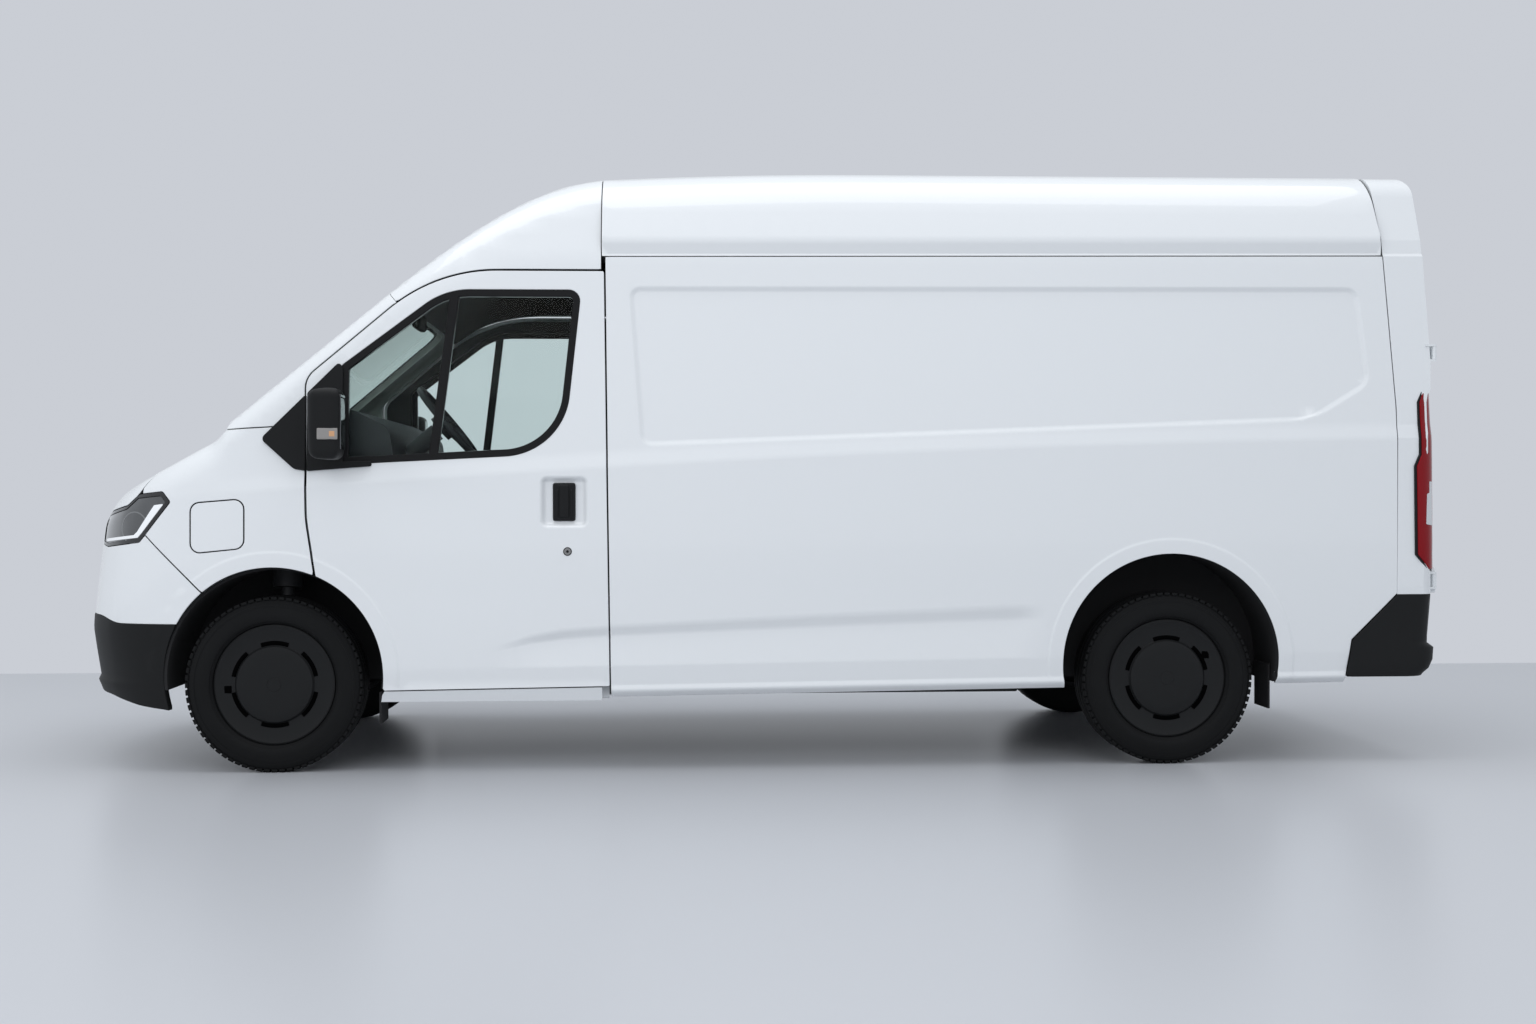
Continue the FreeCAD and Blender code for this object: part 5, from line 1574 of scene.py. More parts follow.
@dataclass
class Roof:
    """Load space roof and the cab's roof cap."""

    wall: float = 0.045

    def rear_x(self, z: Array) -> Array:
        """Side view line of the seam to the rear ring."""
        return np.interp(z, [2.0, 2.15, 2.52], [2.598, 2.596, 2.562])

    def build(self) -> None:
        """Builds both roof pieces."""
        x = np.arange(CAB_END_X + ROOF_GAP, 2.598, 0.03)
        left = laid(LOAD, LEFT, TUBE, columns(x, LINES.gutter(x) + 0.004))
        edge = TUBE.find(LEFT.place(LOAD, np.array([[2.598, float(LINES.gutter(2.598)) + 0.004]])))[0, 1]
        angles = np.linspace(edge, -edge, 70)
        rear = self.seam_over(LOAD, self.rear_x, angles, 2.58)
        front = columns(CAB_END_X + ROOF_GAP, angles)
        front[:, 1] *= left[0, 1] / edge
        outline = np.concatenate([left[1:-1], rear, mirrored(left, 1)[1:-1], front[::-1]])
        x = np.arange(CAB_END_X, 2.6, 0.03)
        rows = []
        for rise in (0.006, 0.012, 0.016, 0.05, 0.06, 0.068, 0.076, 0.086):
            row = laid(LOAD, LEFT, TUBE, columns(x, LINES.gutter(x) + rise))
            rows += [row, mirrored(row, 1)]
        shell = Shell("roof_skin", LOAD, TUBE, outline, PAINT, rows=rows, wall=self.wall, step=0.04).build()
        fit(shell, "root", Slot.WHITE_PAINT, "roof_panel")
        self.build_cap()

    def seam_over(self, body: Body, line: Callable[[Array], Array], angles: Array,
                  guess: float) -> Array:
        """Layout dots of a seam that follows a side view line over the roof.

        Args:
            body: the body under the seam.
            line: the seam's x from heights.
            angles: arcs of the dots.
            guess: an x near the seam.

        Returns:
            Layout dots.
        """
        x = np.full_like(angles, guess)
        for _ in range(5):
            p = TUBE.place(body, columns(x, angles))
            x = line(p[:, 2])
        return columns(x, angles)

    def build_cap(self) -> None:
        """Cap over the cab, from the windscreen's header to the load space."""
        seam = moved_in(rounded(DOOR), -DOOR_GAP)
        run = seam[(seam[:, 1] > 1.75) & (seam[:, 0] < -0.61)]
        run = run[np.argsort(-run[:, 0])]
        run = run[run[:, 0] > header_line(run[:, 1]) + 0.002]
        start = np.array([[CAB_END_X - ROOF_GAP, 2.008]])
        left = laid(CAB, LEFT, TUBE, np.concatenate([start, run]))
        angles = np.linspace(left[-1, 1], -left[-1, 1], 60)
        header = self.seam_over(CAB, header_line, angles, -1.47)
        rear = np.linspace(left[0, 1], -left[0, 1], 60)
        rear = columns(CAB_END_X - ROOF_GAP, rear)
        outline = np.concatenate([left[:-1], header, mirrored(left, 1)[1:], rear[::-1][1:-1]])
        shell = Shell("roof_cap_skin", CAB, TUBE, outline, PAINT, wall=self.wall, step=0.035, back=HEADLINER)
        shell.fit("root", Slot.WHITE_PAINT, "roof_front")


def header_line(z: Array) -> Array:
    """Side view line of the seam over the windscreen."""
    return -1.450 - (z - 1.908) * 30 / 34


@dataclass
class Screen:
    """Windscreen, its painted frame, the strip at its foot and the wipers."""
    def build(self) -> None:
        """Builds frame, glass and black edge."""
        glass = rounded(SCREEN, 0.02)
        hole = laid(CAB, SLOPE, TUBE, glass)
        seam = moved_in(rounded(DOOR), -DOOR_GAP)
        run = seam[(seam[:, 1] > 1.386) & (seam[:, 0] < -1.30)]
        run = run[np.argsort(run[:, 1])[::-1]]
        run = run[run[:, 0] < header_line(run[:, 1]) - 0.002]
        foot = np.array([(-1.7725, 1.384), (-1.85, 1.3805), (-1.95, 1.3748), (-2.05, 1.370),
                         (-2.0915, 1.368)])
        left = laid(CAB, LEFT, TUBE, dotted_open(np.concatenate([run, foot]), 0.02))
        v = np.linspace(-0.80, 0.80, 41)
        sill = SLOPE.place(CAB, columns(screen_foot_line(v), v))
        sill = TUBE.find(sill)
        angles = np.linspace(left[0, 1], -left[0, 1], 50)
        header = Roof().seam_over(CAB, lambda z: header_line(z) - 0.0006, angles, -1.47)
        outline = np.concatenate([left[1:], sill, mirrored(left, 1)[:-1], header[::-1]])
        shell = Shell("screen_frame_skin", CAB, TUBE, outline, PAINT, holes=[hole], wall=0.040, step=0.03,
                      back=PILLAR_TRIM, walls=PILLAR_TRIM)
        shell.fit("root", Slot.WHITE_PAINT, "windscreen_frame")
        pane = Shell("screen_glass", CAB, SLOPE, moved_in(glass, 0.0008), SCREEN_GLASS, drop=0.004,
                     wall=0.005, step=0.05, lip=0.001)
        pane.fit("root", Slot.WINDOW_GLASS, "windscreen")
        band = Shell("screen_edge", CAB, SLOPE, moved_in(glass, 0.0012), GLOSS_BLACK,
                     holes=[moved_in(glass, 0.022)], drop=0.0095, wall=0.002, step=0.05, lip=0.0005)
        band.fit("root", Slot.BLACK_PLASTIC)
        self.build_wiper("left", (-0.020, -0.50), (0.072, -0.10), (0.050, 0.085, -0.42, 0.22))
        self.build_wiper("right", (-0.030, 0.26), (0.072, 0.46), (0.048, 0.092, 0.16, 0.72))

    def build_wiper(self, name: str, foot: tuple, tip: tuple, blade: tuple) -> None:
        """One wiper at rest over the screen's foot, its arm over its blade.

        Args:
            name: which wiper.
            foot: layout point of the pivot.
            tip: layout point where the arm holds the blade.
            blade: layout height of the blade's ends and their places across.
        """
        low, high, start, end = blade
        rubber = strip((low, start), (high, end), 0.016)
        arm = strip(foot, tip, 0.020)
        parts = [Shell("wiper", CAB, SLOPE, line, SATIN_BLACK, drop=drop, wall=wall, step=0.03, lip=0.003)
                 for line, drop, wall in ((rubber, -0.012, 0.0125), (arm, -0.019, 0.008))]
        fit(join("wiper_" + name, [part.build() for part in parts]), "root", Slot.BLACK_PLASTIC)


def strip(a: tuple, b: tuple, width: float) -> Array:
    """Outline of a straight bar between two layout points, its ends rounded.

    Args:
        a: one end.
        b: the other end.
        width: the bar's width.

    Returns:
        Its outline.
    """
    start, end = np.array(a), np.array(b)
    along = (end - start) / np.linalg.norm(end - start)
    across = np.array([-along[1], along[0]]) * width / 2
    corners = [start - across, end - across, end + across, start + across]
    return rounded([(*c, width * 0.4) for c in corners], 0.012)


def dotted_open(points: Array, step: float) -> Array:
    """An open line with extra dots on its long runs.

    Args:
        points: points in rows.
        step: longest distance between dots.

    Returns:
        The dots.
    """
    result = [points[0]]
    for p, q in zip(points, points[1:]):
        pieces = max(1, math.ceil(np.linalg.norm(q - p) / step))
        result.extend(p + (q - p) * (k + 1) / pieces for k in range(pieces))
    return np.array(result)


@dataclass
class FrontEnd:
    """Bonnet, wings, charging flap, nose panel, bumper and headlamps."""

    bowl: tuple[float, float] = (-2.475, 0.975)
    bowl_radius: float = 0.066
    def lamp_line(self) -> Array:
        """Headlamp outline in side view."""
        return rounded(HEADLAMP, 0.012)

    def build(self) -> None:
        """Builds every piece of the nose."""
        self.build_bonnet()
        self.build_wings()
        self.build_nose()
        self.build_bumper()
        self.build_lamps()

    def build_bonnet(self) -> None:
        """Bonnet skin: over the lamps in front, then along the wings to the scuttle."""
        lamp = moved_in(oriented(self.lamp_line()), -0.003)
        edge = lamp[(lamp[:, 1] > 1.02) & (lamp[:, 0] < -2.462) & (lamp[:, 0] > -2.664)]
        edge = LEFT.place(NOSE, edge[np.argsort(edge[:, 0])])
        y_in = float(edge[0, 1])
        front = bonnet_front(np.linspace(y_in, -y_in, 70)[1:-1], HALF_SEAM)
        x = np.linspace(-2.452, -2.136, 32)
        seam = bonnet_seam(x, -HALF_SEAM)
        y = np.linspace(-0.795, 0.795, 60)
        foot = SLOPE.place(CAB, columns(screen_foot_line(y), y))
        rear = TOP.place(NOSE, columns(np.minimum(foot[:, 0] - 0.026, -2.132), y))
        left = GLOBE.find(np.concatenate([edge, seam]))
        outline = np.concatenate([GLOBE.find(front)[::-1], left, GLOBE.find(rear), mirrored(left, 0)])
        shell = Shell("bonnet_skin", NOSE, GLOBE, outline, PAINT, wall=0.024, step=0.035)
        shell.fit("bonnet", Slot.WHITE_PAINT, "bonnet")
        ahead = scuttle_line(y, 0.10)
        under = scuttle_line(y, -0.03)
        outline = np.concatenate([TOP.find(ahead), TOP.find(under)[::-1]])
        cowl = Shell("cowl", NOSE, TOP, oriented(outline), BLACK_PLASTIC, drop=0.030, wall=0.010, step=0.04)
        cowl.fit("root", Slot.BLACK_PLASTIC, "scuttle")

    def wing_outline(self) -> Array:
        """Left wing in side view: door seam, pillar foot, bonnet seam, lamp, lower seam and arch.

        Returns:
            The outline.
        """
        door = moved_in(rounded(DOOR), -DOOR_GAP - HALF_SEAM)
        door = door[(door[:, 0] < -1.70) & (door[:, 1] > 0.80) & (door[:, 1] < 1.372)]
        door = door[np.argsort(door[:, 1])]
        top = np.array([(-1.7742, 1.3775), (-1.85, 1.3765), (-1.95, 1.3705), (-2.05, 1.3655),
                        (-2.092, 1.3635)])
        x = np.linspace(-2.115, -2.440, 32)
        seam = bonnet_seam(x, HALF_SEAM)[:, [0, 2]]
        lamp = moved_in(oriented(self.lamp_line()), -0.0015)
        upper = lamp[(lamp[:, 1] > 1.100) & (lamp[:, 0] > -2.450) & (lamp[:, 0] < -2.345)]
        upper = upper[np.argsort(upper[:, 0])]
        low = lamp[(lamp[:, 0] > -2.345) | ((lamp[:, 0] > -2.416) & (lamp[:, 1] < 1.05))]
        low = low[np.argsort(-low[:, 1])]
        lower_seam = np.array([(-2.418, 0.9465), (-2.190, 0.7275)])
        dots = np.concatenate([door, top, seam, upper, low, lower_seam, [(-2.0, 0.60), (-1.76, 0.60)]])
        dots = dots[np.concatenate([[True], np.linalg.norm(np.diff(dots, axis=0), axis=1) > 0.002])]
        return cut_by_circle(oriented(dotted(dots, 0.014)), *LINES.front_arch)

    def build_wings(self) -> None:
        """Both wings and the flap in the left one."""
        outline = self.wing_outline()
        flap = rounded(FLAP)
        x = np.arange(-2.42, -1.75, 0.02)
        belt = [columns(x, LINES.belt(x) + k) for k in (-0.012, 0.0, 0.012, 0.04, 0.055, 0.07)]
        rows = [r[inside(r, outline)] for r in flare_rows(LINES.front_arch) + belt]
        for side in Side:
            view = SideView(side)
            holes = [laid(FRONT, view, GLOBE, moved_in(flap, -HALF_SEAM))] if side is Side.LEFT else []
            lines = [laid(FRONT, view, GLOBE, line) for line in [outline] + [r for r in rows if len(r)]]
            Shell("wing_skin_" + side.word, FRONT, GLOBE, lines[0], PAINT, holes=holes, rows=lines[1:],
                  wall=0.018, step=0.025).fit(
                "root", Slot.WHITE_PAINT, *side.first("wings"))
        Shell("flap_skin", FRONT, LEFT, moved_in(flap, HALF_SEAM), PAINT, wall=0.007, step=0.02).fit(
            "charge_flap", Slot.WHITE_PAINT, "charge_flap")
        # Painted shade: a dark bowl deep behind the flap, so that the gap round it reads dark.
        Shell("flap_bowl", FRONT, LEFT, moved_in(flap, -0.030), SHUT_LINE_SHADE, drop=0.058, wall=0.004,
              step=0.03).fit("root", Slot.BLACK_PLASTIC)

    def build_nose(self) -> None:
        """Painted nose panel between bumper, lamps and bonnet."""
        lamp = moved_in(oriented(self.lamp_line()), -0.0015)
        low = lamp[(lamp[:, 1] < 0.951) & (lamp[:, 0] > -2.664)]
        low = low[np.argsort(-low[:, 0])]
        cx, cz, radius = LINES.front_arch
        a0 = math.acos((BUMPER_TOP_Z + 0.0008 - cz) / radius)
        a1 = math.atan2(-(-2.193 - cx), 0.7275 - cz)
        angles = np.linspace(a0, a1, 14)
        arch = columns(cx - radius * np.sin(angles), cz + radius * np.cos(angles))
        seam = np.array([(-2.1935, 0.7235), (-2.420, 0.9425)])
        edge = np.concatenate([arch, seam, low[low[:, 0] < -2.424]])
        left = laid(FRONT, LEFT, GLOBE, dotted_open(edge, 0.02))
        rise = np.linspace(0.905, 1.024, 8)
        rise = LEFT.place(NOSE, columns(-2.6695, rise))
        up = GLOBE.find(rise)
        y_in = float(rise[-1, 1])
        across = GLOBE.find(bonnet_front(np.linspace(y_in, -y_in, 50)[1:-1], -HALF_SEAM))
        edge = LEFT.place(FRONT, np.array([(cx - radius * math.sin(a0), BUMPER_TOP_Z + 0.0008)]))
        arc = float(LEVEL.find(edge)[0, 0])
        turns = np.linspace(-arc, arc, 90)[1:-1]
        base = LEVEL.place(NOSE, columns(turns, bumper_top(turns) + 0.0008))
        outline = np.concatenate([left, up, across, mirrored(up, 0), mirrored(left, 0), GLOBE.find(base)])
        shell = Shell("nose_skin", NOSE, GLOBE, outline, PAINT, wall=0.030, step=0.03)
        shell.fit("root", Slot.WHITE_PAINT, "nose_panel")

    def build_bumper(self) -> None:
        """Black lower bumper, a little proud of the paint."""
        body = BumperBody()
        cx, cz, radius = LINES.front_arch
        zs = np.linspace(BUMPER_TOP_Z, BUMPER_LOW_Z, 24)
        arch = columns(cx - np.sqrt(radius ** 2 - (zs - cz) ** 2), zs)
        left = LEVEL.find(LEFT.place(body, arch))
        arc0, arc1 = left[0, 0], left[-1, 0]
        bottom = np.linspace(arc1, -arc1, 90)
        at = LEVEL.place(body, columns(bottom, 0.30))
        low = np.interp(at[:, 0], [-2.75, -2.60, -2.45, -2.31], [0.303, 0.297, 0.266, BUMPER_LOW_Z])
        top = np.linspace(-arc0, arc0, 90)
        outline = np.concatenate([left, columns(bottom, low)[1:-1], mirrored(left, 0),
                                  columns(top, bumper_top(top))[1:-1]])
        turns = np.linspace(-1.2, 1.2, 110)
        rows = [columns(turns, z) for z in (0.300, 0.322, 0.346, 0.357, 0.368, 0.380, 0.55, 0.57)]
        shell = Shell("front_bumper_skin", body, LEVEL, outline, BLACK_PLASTIC, rows=rows, wall=0.035,
                      step=0.03, lip=0.004)
        shell.fit("root", Slot.BLACK_PLASTIC, "front_bumper")

    def build_lamps(self) -> None:
        """Headlamps: smoked lens over a dark body, with the bent white light strip and the bowl's edge."""
        lens, (bowl_x, bowl_z), bowl_radius = rounded(LENS, 0.012), self.bowl, self.bowl_radius
        rim = moved_in(oriented(self.lamp_line()), 0.0012)
        pieces = (("rim", rim, GLOSS_BLACK, [lens], 0.0005, 0.02, 0.002),
                  ("lens", moved_in(lens, 0.0006), LAMP_SMOKE, [], 0.003, 0.015, 0.002),
                  ("strip", rounded(LIGHT_STRIP, 0.01), LAMP_WHITE, [], 0.0022, 0.003, 0.001),
                  ("bowl", circle(bowl_x, bowl_z, bowl_radius, 0.006), LAMP_BOWL,
                   [circle(bowl_x, bowl_z, bowl_radius - 0.006, 0.006)], 0.0026, 0.002, 0.0008))
        for side in Side:
            for kind, line, finish, holes, drop, wall, lip in pieces:
                slot = Slot.BLACK_PLASTIC if kind == "rim" else Slot.LAMP_CLEAR
                nodes = side.first("headlamps") if kind == "lens" else ()
                Shell(f"lamp_{kind}_{side.word}", NOSE, SideView(side), line, finish, holes=holes, drop=drop,
                      wall=wall, step=0.02, lip=lip).fit("root", slot, *nodes)


@dataclass
class FrontDoor:
    """One front door with its window."""

    side: Side
    frame_width: float = 0.028
    skin: float = 0.0245
    mirror_seam_x: float = -1.769
    key_drop: float = 0.1975

    def panes(self) -> list[Array]:
        """The two panes' outlines, front one first.

        Returns:
            Two outlines.
        """
        hole = moved_in(rounded(WINDOW), self.frame_width)
        front = clip(hole, (-1.297, 1.20), (-1.196, 1.99))
        rear = clip(hole, (-1.160, 1.99), (-1.261, 1.20))
        return [oriented(front), oriented(rear)]

    def build(self) -> None:
        """Builds skin, inner frame, window frame, panes, mirror and handle."""
        word = self.side.word
        body = word + "_door"
        view = SideView(self.side)
        arch_x, arch_z, radius = LINES.front_arch
        outline = cut_by_circle(rounded(DOOR), arch_x, arch_z, radius)
        window = rounded(WINDOW)
        skin = Shell("door_skin_" + word, CAB, view, outline, PAINT, holes=[window], rows=self.rows(outline),
                     wall=self.skin, step=0.03).build()
        inner = cut_by_circle(moved_in(rounded(DOOR), 0.018), arch_x, arch_z, radius + 0.018)
        panel = Shell("door_inner_" + word, CAB, view, inner, CABIN_TRIM, holes=[moved_in(window, -0.001)],
                      drop=self.skin - 0.0005, wall=0.0235, step=0.06).build()
        fit(join("door_skin_" + word, [skin, panel]), body, Slot.WHITE_PAINT, "door_panel_" + word)
        panes = self.panes()
        ring = Shell("window_frame_skin_" + word, CAB, view, moved_in(window, 0.0004), SEAL, holes=panes,
                     drop=-0.002, wall=0.030, step=0.02, lip=0.002)
        ring.fit(body, Slot.BLACK_PLASTIC, "window_frame_" + word)
        parts = [Shell("pane", CAB, view, moved_in(p, 0.0006), DOOR_GLASS, drop=0.009, wall=0.004, step=0.04,
                       lip=0.001).build() for p in panes]
        fit(join("door_pane_" + word, parts), body, Slot.WINDOW_GLASS, "door_glass_" + word)
        self.build_mirror(body, view)
        self.build_handle(body, view)

    def rows(self, outline: Array) -> list[Array]:
        """Dots along the door's creases and in the cup behind the handle.

        Args:
            outline: the door's outline.

        Returns:
            The rows of dots.
        """
        x = np.arange(-1.77, -0.57, 0.02)
        (hx, hz), (wide, high) = LINES.handle, LINES.cup_size
        signs = ((-1, -1), (1, -1), (1, 1), (-1, 1))
        cup = rounded([(hx + a * wide / 2, hz + b * high / 2, 0.03) for a, b in signs], 0.008)
        rows = [moved_in(cup, k) for k in (-0.003, 0.004, 0.010, 0.016, 0.022, 0.028)]
        rows += crease_rows(x, [(LINES.sill_crease, 0.010)]) + scoop_rows(x) + flare_rows(LINES.front_arch)
        return [r[inside(r, outline)] for r in rows if inside(r, outline).any()]

    def build_mirror(self, body: str, view: View) -> None:
        """Mirror's base on the door and its foot ahead of the seam, arm, head, glass and repeater.

        Args:
            body: name of the body it rides on.
            view: the door's side view.
        """
        base = rounded(MIRROR_BASE)
        word, out = self.side.word, self.side.value
        parts = []
        for name, x, top, low in (("plate", self.mirror_seam_x + 0.003, 1.8, 1.0),
                                  ("mirror_foot_" + word, self.mirror_seam_x - 0.003, 1.0, 1.8)):
            line = oriented(clip(base, (x, top), (x, low)))
            parts.append(Shell(name, CAB, view, line, BLACK_PLASTIC, drop=-0.014, wall=0.0137, step=0.02,
                               lip=0.004).build())
        plate, foot = parts
        fit(foot, "root", Slot.BLACK_PLASTIC, *self.side.first("mirror_feet"))
        head = blob("head", MirrorBody(self.side), BLACK_PLASTIC)
        arm = RoundBox((-1.668, out * 1.045, 1.296), (0.062, 0.150, 0.070), 0.022)
        arm = blob("arm", arm, BLACK_PLASTIC, 8)
        fit(join("mirror_head_" + word, [head, arm, plate]), body, Slot.BLACK_PLASTIC, "mirror_" + word)
        glass = RoundBox((-1.5950, out * 1.172, 1.385), (0.006, 0.094, 0.212), 0.0028)
        fit(blob("mirror_glass_" + word, glass, MIRROR_GLASS, 6), body, Slot.WINDOW_GLASS)
        lens = RoundBox((-1.6400, out * 1.2405, 1.338), (0.079, 0.008, 0.044), 0.0035)
        bulb = RoundBox((-1.622, out * 1.2430, 1.338), (0.022, 0.0035, 0.022), 0.0016)
        parts = [blob("lens", lens, REPEATER, 6), blob("bulb", bulb, AMBER, 6)]
        fit(join("mirror_repeater_" + word, parts), body, Slot.LAMP_CLEAR)

    def build_handle(self, body: str, view: View) -> None:
        """Black handle in its cup, and the key cylinder under it.

        Args:
            body: name of the body it rides on.
            view: the door's side view.
        """
        cx, cz = LINES.handle
        key_x, key_z = cx + 0.0135, cz - self.key_drop
        y, y_key = (float(p[1]) for p in view.place(CAB, np.array([[cx, cz], [key_x, key_z]])))
        word, out = self.side.word, self.side.value
        shapes = [((cx, y + out * 0.004, cz), (0.091, 0.020, 0.153), 0.0095),
                  ((cx, y + out * 0.0125, cz + 0.004), (0.040, 0.014, 0.132), 0.0068),
                  ((cx - 0.028, y + out * 0.012, cz - 0.006), (0.011, 0.010, 0.110), 0.0045),
                  ((cx + 0.028, y + out * 0.012, cz - 0.006), (0.011, 0.010, 0.110), 0.0045)]
        parts = [blob("handle", RoundBox(*shape), SATIN_BLACK, 10) for shape in shapes]
        fit(join("door_handle_" + word, parts), body, Slot.BLACK_PLASTIC)
        place = (key_x, y_key - out * 0.0004, key_z)
        discs = ((0.0172, 0.0024, SATIN_BLACK), (0.0140, 0.0036, KEY_METAL), (0.0058, 0.0042, SATIN_BLACK))
        rings = [lathe("key", disc(radius, height), place, self.side, finish, 40, 35.0)
                 for radius, height, finish in discs]
        fit(join("door_key_" + word, rings), body, Slot.BLACK_PLASTIC)


@dataclass
class Tail:
    """Tail lamps, rear bumper and the furniture of the rear doors."""

    def build(self) -> None:
        """Builds lamps and door furniture."""
        for side in Side:
            self.build_lamp(side)
        self.build_bumper()
        self.build_furniture()

    def build_bumper(self) -> None:
        """Black rear bumper wrapping both corners."""
        body = RearBumperBody()
        edge = [(2.6345, 0.6895), (2.6135, 0.6685), (2.4490, 0.5030), (2.4270, 0.3520)]
        left = REAR_LEVEL.find(LEFT.place(body, dotted_open(np.array(edge), 0.02)))
        top = np.linspace(left[0, 0], -left[0, 0], 110)[1:-1]
        low = np.linspace(left[-1, 0], -left[-1, 0], 110)[1:-1]
        top = columns(top, 0.6895)
        low = columns(low, 0.352)
        outline = np.concatenate([left, low, mirrored(left, 0), top[::-1]])
        turns = np.linspace(-1.1, 1.1, 140)
        rows = [columns(turns, z) for z in (0.362, 0.385, 0.42, 0.45, 0.47, 0.48, 0.49, 0.50)]
        shell = Shell("rear_bumper_skin", body, REAR_LEVEL, outline, BLACK_PLASTIC, rows=rows, wall=0.040,
                      step=0.03, lip=0.004)
        shell.fit("root", Slot.BLACK_PLASTIC, "rear_bumper")

    def build_furniture(self) -> None:
        """Handle, lower hinges and blank plate of the rear doors."""
        handle = RoundBox((2.7985, 0.085, 1.060), (0.016, 0.130, 0.042), 0.0075)
        cup = RoundBox((2.7950, 0.085, 1.060), (0.010, 0.165, 0.080), 0.0045)
        fit(blob("rear_handle", handle, SATIN_BLACK, 10), "right_rear_door", Slot.BLACK_PLASTIC)
        fit(blob("rear_cup", cup, BLACK_PLASTIC, 10), "right_rear_door", Slot.BLACK_PLASTIC)
        for side in Side:
            hinge = RoundBox((2.806, side.value * 0.930, 0.745), (0.024, 0.050, 0.104), 0.006)
            fit(blob("rear_hinge_" + side.word, hinge, PAINT, 8), side.word + "_rear_door", Slot.WHITE_PAINT)
        plate = RoundBox((2.7975, -0.420, 0.880), (0.006, 0.520, 0.112), 0.0025)
        fit(blob("blank_plate", plate, PLATE, 10), "left_rear_door", Slot.WHITE_PAINT)

    def build_lamp(self, side: Side) -> None:
        """Tall tail lamp round the corner post.

        Args:
            side: side of the van.
        """
        corners = np.array([(2.766, 0.778), (2.705, 0.852), (2.703, 1.214), (2.724, 1.262), (2.724, 1.475),
                            (2.742, 1.520)])
        dots = LEFT.place(LOAD, dotted_open(corners, 0.012))
        back = np.linspace(1.52, 0.786, 50)
        inner = BACK.place(LOAD, columns(-0.916, back))
        top = self.across(dots[-1], inner[0], 1.52)
        low = self.across(inner[-1], dots[0], 0.786)
        ring = np.concatenate([dots, top, inner, low])
        ring[:, 1] *= -side.value
        outline = oriented(TAIL_GLOBE.find(ring))
        Shell("tail_seal_" + side.word, LOAD, TAIL_GLOBE, outline, SEAL, drop=-0.0095, wall=0.016, step=0.02,
              lip=0.0015).fit("root", Slot.BLACK_PLASTIC)
        Shell("tail_lens_" + side.word, LOAD, TAIL_GLOBE, moved_in(outline, 0.0045), LAMP_RED, drop=-0.0135,
              wall=0.016, step=0.015, lip=0.004).fit("root", Slot.LAMP_RED, *side.first("tail_lamps"))
        clear = [(2.748, 0.975, 0.004), (2.752, 1.098, 0.004), (2.764, 1.105, 0.0), (2.764, 1.150, 0.0),
                 (2.778, 1.150, 0.0), (2.778, 0.970, 0.0)]
        Shell("tail_clear_" + side.word, LOAD, SideView(side), oriented(rounded(clear, 0.008)), LAMP_CLEAR,
              drop=-0.0150, wall=0.004, step=0.01, lip=0.001).fit("root", Slot.LAMP_CLEAR)

    def across(self, a: Array, b: Array, z: float) -> Array:
        """Level dots round the corner from one point to another.

        Args:
            a: first point.
            b: last point.
            z: their height.

        Returns:
            Points between them.
        """
        t = np.linspace(0, 1, 12)[1:-1, None]
        guess = a + (b - a) * t
        guess[:, 2] = z
        d = guess - TAIL_GLOBE.centre
        d /= np.linalg.norm(d, axis=1, keepdims=True)
        return LOAD.reach(np.tile(TAIL_GLOBE.centre, (len(d), 1)), d, 0.05, 2.2)


def lathe(name: str, profile: list[tuple[float, float]], place: tuple[float, float, float], side: Side,
          finish: Finish, count: int = 96, sharp: float = 30.0) -> bpy.types.Object:
    """A body turned about a crosswise axis.

    Args:
        name: object name.
        profile: closed outline of (radius, distance inwards from the place).
        place: a point on the axis.
        side: the side of the van that it faces.
        finish: its finish.
        count: facets round.
        sharp: angle over which edges stay sharp, in degrees.

    Returns:
        The object.
    """
    x, y, z = place
    n = len(profile)
    verts = []
    faces = []
    for k in range(count):
        angle = 2 * math.pi * k / count
        a, b = k * n, ((k + 1) % count) * n
        for i, (r, d) in enumerate(profile):
            verts.append((x + r * math.cos(angle), y - side.value * d, z + r * math.sin(angle)))
            j = (i + 1) % n
            if r == 0 and profile[j][0] == 0:
                continue
            quad = [a + i, a + j, b + j] + ([b + i] if r else [])
            if profile[j][0] == 0:
                quad = [a + i, a + j, b + i]
            faces.append(quad if side is Side.RIGHT else quad[::-1])
    made = make_object(name, np.array(verts), faces, finish)
    tidy_mesh(made)
    made.data.set_sharp_from_angle(angle=math.radians(sharp))
    return made


def tidy_mesh(obj: bpy.types.Object) -> None:
    """Merges doubles and points the faces outwards.

    Args:
        obj: the piece.
    """
    mesh = bmesh.new()
    mesh.from_mesh(obj.data)
    bmesh.ops.remove_doubles(mesh, verts=mesh.verts, dist=1e-5)
    bmesh.ops.recalc_face_normals(mesh, faces=mesh.faces)
    mesh.to_mesh(obj.data)
    mesh.free()


class RoundBox(Body):
    """A box with rounded edges."""

    def __init__(self, centre: tuple, size: tuple, radius: float) -> None:
        """Keeps the middle, half of the size and the rounding.

        Args:
            centre: its middle.
            size: its size each way.
            radius: rounding of its edges.
        """
        self.centre = np.array(centre, float)
        self.half = np.array(size, float) / 2
        self.radius = radius

    def distance(self, p: Array) -> Array:
        """Signed distance of each point."""
        q = np.abs(p - self.centre) - self.half + self.radius
        return np.linalg.norm(np.maximum(q, 0), axis=1) + np.minimum(q.max(axis=1), 0) - self.radius


